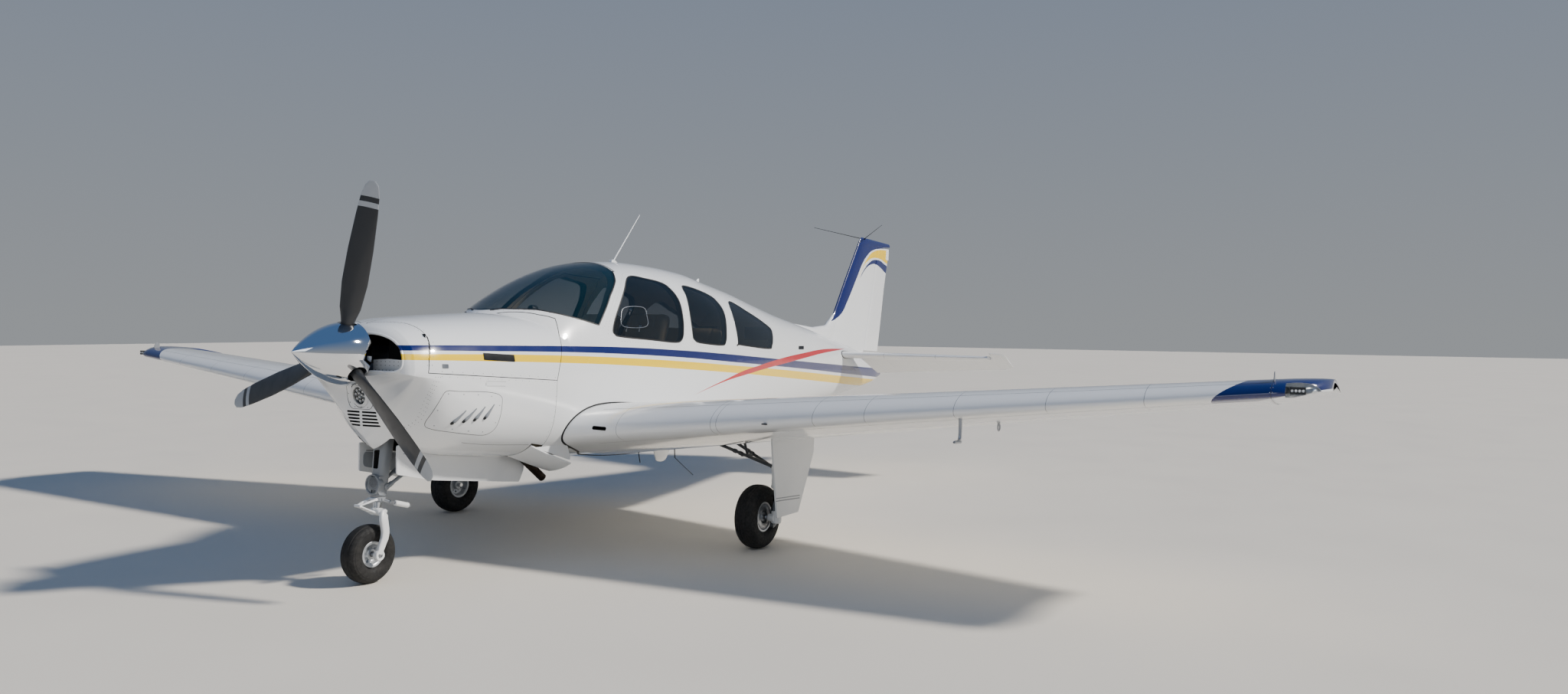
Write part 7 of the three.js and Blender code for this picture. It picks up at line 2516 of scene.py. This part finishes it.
    @staticmethod
    def blade(foot: tuple[float, float], top: tuple[float, float], chord: float, end: float,
              half: float) -> tuple[Array, list[Array]]:
        """A blade aerial: lens sections whose chord narrows from foot to top, with a rounded end."""
        share = np.concatenate([np.linspace(0, 0.9, 12), 0.9 + 0.1 * np.sin(np.linspace(0.2, math.pi / 2, 7))])
        angle = turns(36)[None]
        close = np.sqrt(np.clip(1 - np.clip((share - 0.85) / 0.155, 0, 1) ** 2, 0.02, 1))[:, None]
        long = (chord + (end - chord) * share[:, None]) * close
        middle = foot[0] + chord / 2 + (top[0] - foot[0] + (end - chord) / 2) * share[:, None]
        x = middle + long / 2 * np.cos(angle)
        y = half * close * np.sin(angle) * (1 - 0.35 * np.cos(angle))
        return skinned(grid(x, y, foot[1] + (top[1] - foot[1]) * share[:, None]))

    def plates(self) -> None:
        """The scoop ahead of the fin, the tail's plates, the doors' handles, a thin dark bar behind the fin's leading
        edge and the tail light.
        """
        rings, low = [], 0.35
        cosine, sine = oval(24, 0.6)
        for x, top, half in ((6.02, 0.402, 0.012), (6.05, 0.41, 0.024), (6.2, 0.412, 0.028), (6.32, 0.412, 0.028),
                             (6.338, 0.405, 0.024)):
            rings.append(grid(x, half * cosine, (top + low) / 2 + (top - low) / 2 * sine))
        show("dorsal_scoop", skinned(np.array(rings)), "airframe", Kit.white, crease=45)
        for name, side in SIDES.items():
            low, high = span_y(side, 0.15, 0.6)
            dark = ((5.264, 0.182), (5.411, 0.186), (5.433, 0.22), (5.283, 0.215))
            show(f"tail_plate_{name}", patch(rounded(dark, 0.006, 3), "xz", low, high, 0.0016, True), "airframe",
                 (Kit.plate,) * 3, on_hull=True)
        for body, x, z in (("cabin_door", 2.97, 0.05), ("baggage_door", 4.15, -0.1)):
            line = CABIN.side(np.linspace([x, z], [x + 0.13, z - 0.002], 10), 1.0)
            lift = np.interp(np.linspace(0, 1, 10), [0, 0.2, 0.8, 1], [0, 0.016, 0.016, 0])[:, None]
            grip = bar(line + CABIN.normals(line) * lift, 0.0065, 14, 0.7)
            plate = patch(rounded(((x - 0.02, z - 0.028), (x + 0.15, z - 0.028), (x + 0.15, z + 0.028),
                                   (x - 0.02, z + 0.028)), 0.018, 4), "xz", 0.3, 0.7, 0.001, True)
            show(f"{body}_handle_plate", plate, body, (Kit.grey_paint_and_shade,) * 3, on_hull=True)
            show(f"{body}_handle", grip, body, Kit.chrome)
        # a thin dark bar along the line just behind the fin's leading edge
        edge = Tail().fin_edge()
        dark_line = bar(edge, np.linspace(0.0036, 0.0028, len(edge)), 12, up=(0, 1, 0))
        show("fin_edge_dark_line", dark_line, "airframe", Kit.seam)
        block = prism(rounded(((7.992, 1.312), (8.068, 1.31), (8.07, 1.442), (8.0, 1.438)), 0.012, 4), "xz", -0.006,
                      0.006)
        show("tail_light_block", block, "rudder", Kit.white, crease=40)

    def build(self) -> None:
        """Makes every fitting of the cabin and the tail."""
        self.frames()
        self.storm_window()
        self.aerials()
        self.plates()


# Cabin and engine


@dataclass
class Cabin:
    """What is inside the cabin: seats, bench, instrument panel, controls, compass and carpet."""

    front_x: float = 2.48
    rear_x: float = 3.33

    @staticmethod
    def cushion(centre: Sequence[float], half: tuple[float, float, float], lean: float,
                channels: Sequence[float] = ()) -> tuple[Array, Array]:
        """A stuffed cushion and its piping.

        Args:
            centre: its middle.
            half: half its length along x, its width along y and its thickness.
            lean: how far it is turned back from lying flat.
            channels: sewn lines across its top, as shares of the half width.

        Returns:
            The rings of the cushion, and the closed line of its piping.
        """
        def place(rise: Array, turn: Array) -> Array:
            """Points of a superellipsoid whose sides pull in between the corners and whose top is sewn down."""
            cosine, sine = np.cos(turn), np.sin(turn)
            flat = np.cos(rise) ** 0.32
            pull = 1 - 0.035 * np.cos(2 * turn) ** 2
            x = half[0] * flat * powered(cosine, 0.32) * pull
            y = half[1] * flat * powered(sine, 0.32) * pull
            height = powered(np.sin(rise), 0.75)
            crown = 0.82 + 0.18 * (1 - (x / half[0]) ** 2) * (1 - (y / half[1]) ** 2)
            z = half[2] * height * crown
            for at in channels:
                z = z - 0.009 * np.exp(-(((y - at * half[1]) / 0.009) ** 2)) * (height > 0) * flat
            cosine, sine = math.cos(lean), math.sin(lean)
            return np.stack([centre[0] + x * cosine - z * sine, centre[1] + y, centre[2] + z * cosine + x * sine], -1)

        rise = np.linspace(-math.pi / 2 + 0.02, math.pi / 2 - 0.02, 44)[:, None]
        turn = turns(180)[None]
        edge = place(np.array([[0.28]]), turn)[0]
        return place(rise, turn), edge

    def seat(self, name: str, body: str, node: str, x: float, y: float, depth: float, seat_z: float, back: float,
             half: float, channels: Sequence[float]) -> None:
        """One seat or bench: base, seat cushion and back cushion, each with piping.

        Args:
            name: the seat's name.
            body: the body that it moves with.
            node: the CAD node that it stands for.
            x: its front.
            y: its middle.
            depth: of the seat.
            seat_z: the seat's height.
            back: the top of the back.
            half: half its width.
            channels: the sewn lines of both cushions.
        """
        base = prism(rounded(((x + 0.03, -0.455), (x + depth - 0.02, -0.455), (x + depth + 0.03, seat_z - 0.02),
                              (x + depth - 0.08, seat_z - 0.09), (x + 0.03, seat_z - 0.09)), 0.02, 4), "xz",
                     y - half + 0.03, y + half - 0.03)
        show(f"{name}_base", base, body, Kit.trim, (node,), crease=40)
        lean = math.atan2(back - seat_z - 0.03, 0.16)
        shapes = (("seat", (x + depth / 2 - 0.02, y, seat_z - 0.032), (depth / 2 - 0.03, half - 0.006, 0.05), 0.0),
                  ("back", (x + depth + 0.056, y, (seat_z + back) / 2 + 0.03),
                   ((back - seat_z) / 2 - 0.03, half - 0.006, 0.042), lean))
        for part, centre, size, turn in shapes:
            rings, edge = self.cushion(centre, size, turn, channels)
            piece = show(f"{name}_{part}_cushion", skinned(rings), body, Kit.leather, crease=80)
            show(f"{name}_{part}_piping", bar(edge, 0.0042, 8, closed=True, up=(0.31, 0.17, 0.93)), body, Kit.leather)

    def panel(self) -> None:
        """The instrument panel under its hood, with dials, radios, controls and a compass above."""
        hood = ((1.72, 0.236), (2.01, 0.256), (2.03, 0.2), (2.018, 0.198), (2.0, 0.222), (1.96, 0.19), (1.72, 0.192))
        show("panel_hood", prism(rounded(hood, 0.008, 3), "xz", -0.438, 0.438), "airframe", Kit.panel,
             ("instrument_panel",), crease=40)
        show("panel_face", prism(rounded(((-0.43, -0.055), (0.43, -0.055), (0.43, 0.19), (-0.43, 0.19)), 0.02, 4), "yz",
                                 1.965, 1.985), "airframe", Kit.panel, crease=40)
        rims, faces = [], []
        spots = [(y, z, 0.037) for y in (-0.34, -0.25, -0.16) for z in (0.135, 0.045)]
        spots += [(y, z, 0.024) for y in (0.24, 0.305, 0.37) for z in (0.145, 0.085, 0.025)]
        for y, z, r in spots:
            at = (1.985, y, z)
            rims.append(spun([(r * 0.84, 0.0), (r, 0.0), (r, 0.004), (r * 0.92, 0.006), (r * 0.84, 0.003)], at,
                             (1, 0, 0), 28))
            face = [(0.0003, 0.0), (r * 0.85, 0.0), (r * 0.85, 0.0018), (0.0003, 0.0018)]
            faces.append(dome(face, at, (1, 0, 0), 24))
        show("panel_dial_rims", joined(rims), "airframe", Kit.steel)
        show("panel_dials", joined(faces), "airframe", Kit.dial)
        for k in range(3):
            z = 0.14 - 0.06 * k
            radio = prism(rounded(((-0.085, z - 0.022), (0.085, z - 0.022), (0.085, z + 0.022), (-0.085, z + 0.022)),
                                  0.004, 3), "yz", 1.983, 1.993)
            show(f"panel_radio_{k + 1}", radio, "airframe", Kit.dial, crease=40)
        knobs = [rod((1.99, side * 0.096, 0.14 - 0.06 * k), (2.003, side * 0.096, 0.14 - 0.06 * k), 0.0075, sides=16,
                     edge=0.002) for k in range(3) for side in SIDES.values()]
        for x, end, radius, sides, edge in ((1.985, 2.02, 0.004, 10, 0.0), (2.015, 2.035, 0.013, 20, 0.005)):
            knobs += [rod((x, y, -0.02), (end, y, -0.02), radius, sides=sides, edge=edge) for y in (-0.05, 0.0, 0.05)]
        show("panel_knobs", joined(knobs), "airframe", Kit.plastic)
        column = [rod((1.985, 0, 0.04), (2.19, 0, 0.06), 0.019, sides=28, edge=0.003),
                  bar(smooth_path([[2.19, 0.0, 0.06], [2.2, -0.06, 0.058], [2.205, -0.15, 0.05], [2.215, -0.225, 0.05]],
                                  6), 0.0135, 20)]
        grip = smooth_path([[2.24, -0.33, 0.108], [2.238, -0.328, 0.055], [2.232, -0.3, 0.02], [2.23, -0.23, 0.012],
                            [2.232, -0.16, 0.02], [2.238, -0.132, 0.055], [2.24, -0.13, 0.108]], 6)
        column.append(bar(grip, 0.0125, 18, up=(1, 0, 0)))
        column.append(rod((2.205, -0.228, 0.045), (2.24, -0.232, 0.03), 0.026, sides=28, edge=0.006))
        show("control_yoke", joined(column), "airframe", Kit.plastic)
        case = [(0.0003, -0.03), (0.024, -0.03), (0.028, -0.024), (0.028, 0.02), (0.022, 0.03), (0.0003, 0.03)]
        compass = [spun(case, (1.965, 0, 0.36), (1, 0, 0), 32),
                   rod((1.955, 0, 0.25), (1.962, 0, 0.34), 0.008, sides=16)]
        show("compass", joined(compass), "airframe", Kit.plastic, crease=40)

    def build(self) -> None:
        """Dresses the cabin."""
        keep("cabin_floor", Kit.carpet)
        for name, side in SIDES.items():
            seat = f"front_seat_{name}"
            self.seat(seat, seat, seat, self.front_x, side * 0.238, 0.44, -0.17, 0.4, 0.205, (-0.42, 0.42))
        self.seat("rear_bench", "airframe", "rear_bench", self.rear_x, 0.0, 0.4, -0.19, 0.33, 0.43, (-0.72, 0.0, 0.72))
        self.panel()


@dataclass
class Engine:
    """The flat six-cylinder engine behind the propeller, seen with a cowl door open."""

    front: float = 0.66
    back: float = 1.46
    cylinders: tuple[float, ...] = (0.82, 1.03, 1.24)

    def build(self) -> None:
        """Makes the crankcase, sump, finned cylinders with covers, intake tubes and the propeller shaft."""
        case = prism(rounded(((self.front, -0.27), (self.back, -0.3), (self.back, -0.05), (self.back - 0.12, -0.03),
                              (self.front + 0.06, -0.05), (self.front, -0.1)), 0.03, 5), "xz", -0.13, 0.13)
        sump = prism(rounded(((0.78, -0.39), (1.3, -0.39), (1.36, -0.28), (0.72, -0.27)), 0.03, 5), "xz", -0.11, 0.11)
        show("engine_case", case.plus(sump), "airframe", Kit.casting, ("engine",), crease=40)
        barrels, covers, tubes = [], [], []
        for x in self.cylinders:
            for side in SIDES.values():
                profile = [(0.03, 0.11)]
                for k in range(12):
                    h = 0.125 + 0.0145 * k
                    profile += [(0.064, h), (0.083, h + 0.002), (0.083, h + 0.005), (0.064, h + 0.007)]
                profile += [(0.03, 0.31)]
                barrels.append(spun(profile, (x, 0, -0.17), (0, side, 0), 28))
                cover = rounded(((x - 0.06, -0.225), (x + 0.06, -0.225), (x + 0.07, -0.17), (x + 0.05, -0.115),
                                 (x - 0.05, -0.115), (x - 0.07, -0.17)), 0.02, 4)
                low, high = span_y(side, 0.3, 0.352)
                covers.append(prism(cover, "xz", low, high))
                path = smooth_path([[x, side * 0.22, -0.09], [x + 0.02, side * 0.2, -0.02],
                                    [x + 0.05, side * 0.08, 0.02], [x + 0.06, side * 0.03, 0.0]], 6)
                tubes.append(bar(path, 0.018, 16, up=(1, 0, 0)))
        show("engine_cylinders", joined(barrels), "airframe", Kit.casting)
        show("engine_covers", covers[0].plus(*covers[1:]), "airframe", Kit.gear_dark, crease=40)
        show("engine_intakes", joined(tubes), "airframe", Kit.steel)
        show("propeller_shaft", joined([rod((0.405, 0, 0), (0.7, 0, 0), 0.054, sides=40, edge=0.004),
                                        rod((0.62, 0, -0.04), (0.7, 0, -0.06), 0.1, sides=40, edge=0.01)]), "airframe",
             Kit.casting)


@dataclass
class Stage:
    """The floor, lights, world and camera."""

    camera_at: tuple[float, float, float] = (-8.238, -5.502, 1.5936)
    yaw: float = math.radians(29.32)
    pitch: float = math.radians(-1.3)
    roll: float = math.radians(0.41)
    lens: float = 26.0
    sensor: float = 36.0
    farthest: float = 400.0
    sky: float = 0.42
    sun: float = 4.9
    sun_height: float = 38.5
    floor_half: float = 60.0

    def camera(self) -> None:
        """Places the camera where the photograph was taken from."""
        data = bpy.data.cameras.new("camera")
        data.lens, data.sensor_width, data.sensor_fit = self.lens, self.sensor, "HORIZONTAL"
        data.clip_end = self.farthest
        view = linked("camera", data)
        ahead = Vector((math.cos(self.pitch) * math.cos(self.yaw), math.cos(self.pitch) * math.sin(self.yaw),
                        math.sin(self.pitch)))
        right = Vector((math.sin(self.yaw), -math.cos(self.yaw), 0))
        up = right.cross(ahead)
        across = right * math.cos(self.roll) + up * math.sin(self.roll)
        over = up * math.cos(self.roll) - right * math.sin(self.roll)
        turn = Matrix((across, over, -ahead)).transposed().to_4x4()
        view.matrix_world = Matrix.Translation(Vector(self.camera_at)) @ turn
        bpy.context.scene.camera = view

    def light(self, name: str, at: Sequence[float], aim: Sequence[float], size: tuple[float, float],
              power: float, colour: Sequence[float] = (1, 1, 1)) -> None:
        """One rectangular soft light.

        Args:
            name: the light's name.
            at: where it is.
            aim: the point that it faces.
            size: its width and height.
            power: in watts.
            colour: its colour.
        """
        data = bpy.data.lights.new(name, "AREA")
        data.shape, data.size, data.size_y = "RECTANGLE", size[0], size[1]
        data.energy, data.color = power, colour
        lamp = linked(name, data)
        lamp.location = at
        lamp.rotation_euler = (Vector(aim) - Vector(at)).to_track_quat("-Z", "Y").to_euler()

    def build(self) -> None:
        """Makes the stage."""
        self.camera()
        points = np.array([[-1, -1, 0], [1, -1, 0], [1, 1, 0], [-1, 1, 0]]) * self.floor_half
        mesh = bare_mesh("floor", points, [np.arange(4)])
        mesh.materials.append(Kit.floor.material())
        linked("floor", mesh)
        world = bpy.data.worlds.new("studio")
        world.use_nodes = True
        tree = world.node_tree
        split = tree.nodes.new("ShaderNodeSeparateXYZ")
        tree.links.new(tree.nodes.new("ShaderNodeTexCoord").outputs["Generated"], split.inputs[0])
        ramp = tree.nodes.new("ShaderNodeValToRGB")
        tree.links.new(split.outputs["Z"], ramp.inputs[0])
        first, last = ramp.color_ramp.elements
        first.position, first.color = 0.0, (0.72, 0.76, 0.8, 1)
        last.position, last.color = 0.75, (0.16, 0.34, 0.72, 1)
        shade = tree.nodes["Background"]
        tree.links.new(ramp.outputs[0], shade.inputs["Color"])
        shade.inputs["Strength"].default_value = self.sky
        bpy.context.scene.world = world
        data = bpy.data.lights.new("sun", "SUN")
        data.energy, data.angle, data.color = self.sun, math.radians(5), (1.0, 0.95, 0.88)
        sun = linked("sun", data)
        height = math.radians(self.sun_height)
        towards = Vector((0.44 * math.cos(height), -0.9 * math.cos(height), math.sin(height)))
        sun.rotation_euler = towards.to_track_quat("Z", "Y").to_euler()
        self.light("front", (-12.0, -6.0, 6.0), (-2.5, 0, 0.8), (5, 5), 120, (0.94, 0.97, 1.0))


def main() -> None:
    """Builds the stage and every sub-assembly in order."""
    logging.basicConfig(level=logging.INFO, format="%(name)s %(message)s")
    Stage().build()
    fuselage = Fuselage()
    fuselage.build()
    CowlFittings().build(fuselage)
    CabinFittings().build()
    Cabin().build()
    Engine().build()
    for name, side in SIDES.items():
        Wing(side, name).build()
    Tail().build()
    Propeller().build()
    NoseGear().build()
    for name, side in SIDES.items():
        MainGear(side, name).build()


if __name__ == "__main__":
    main()
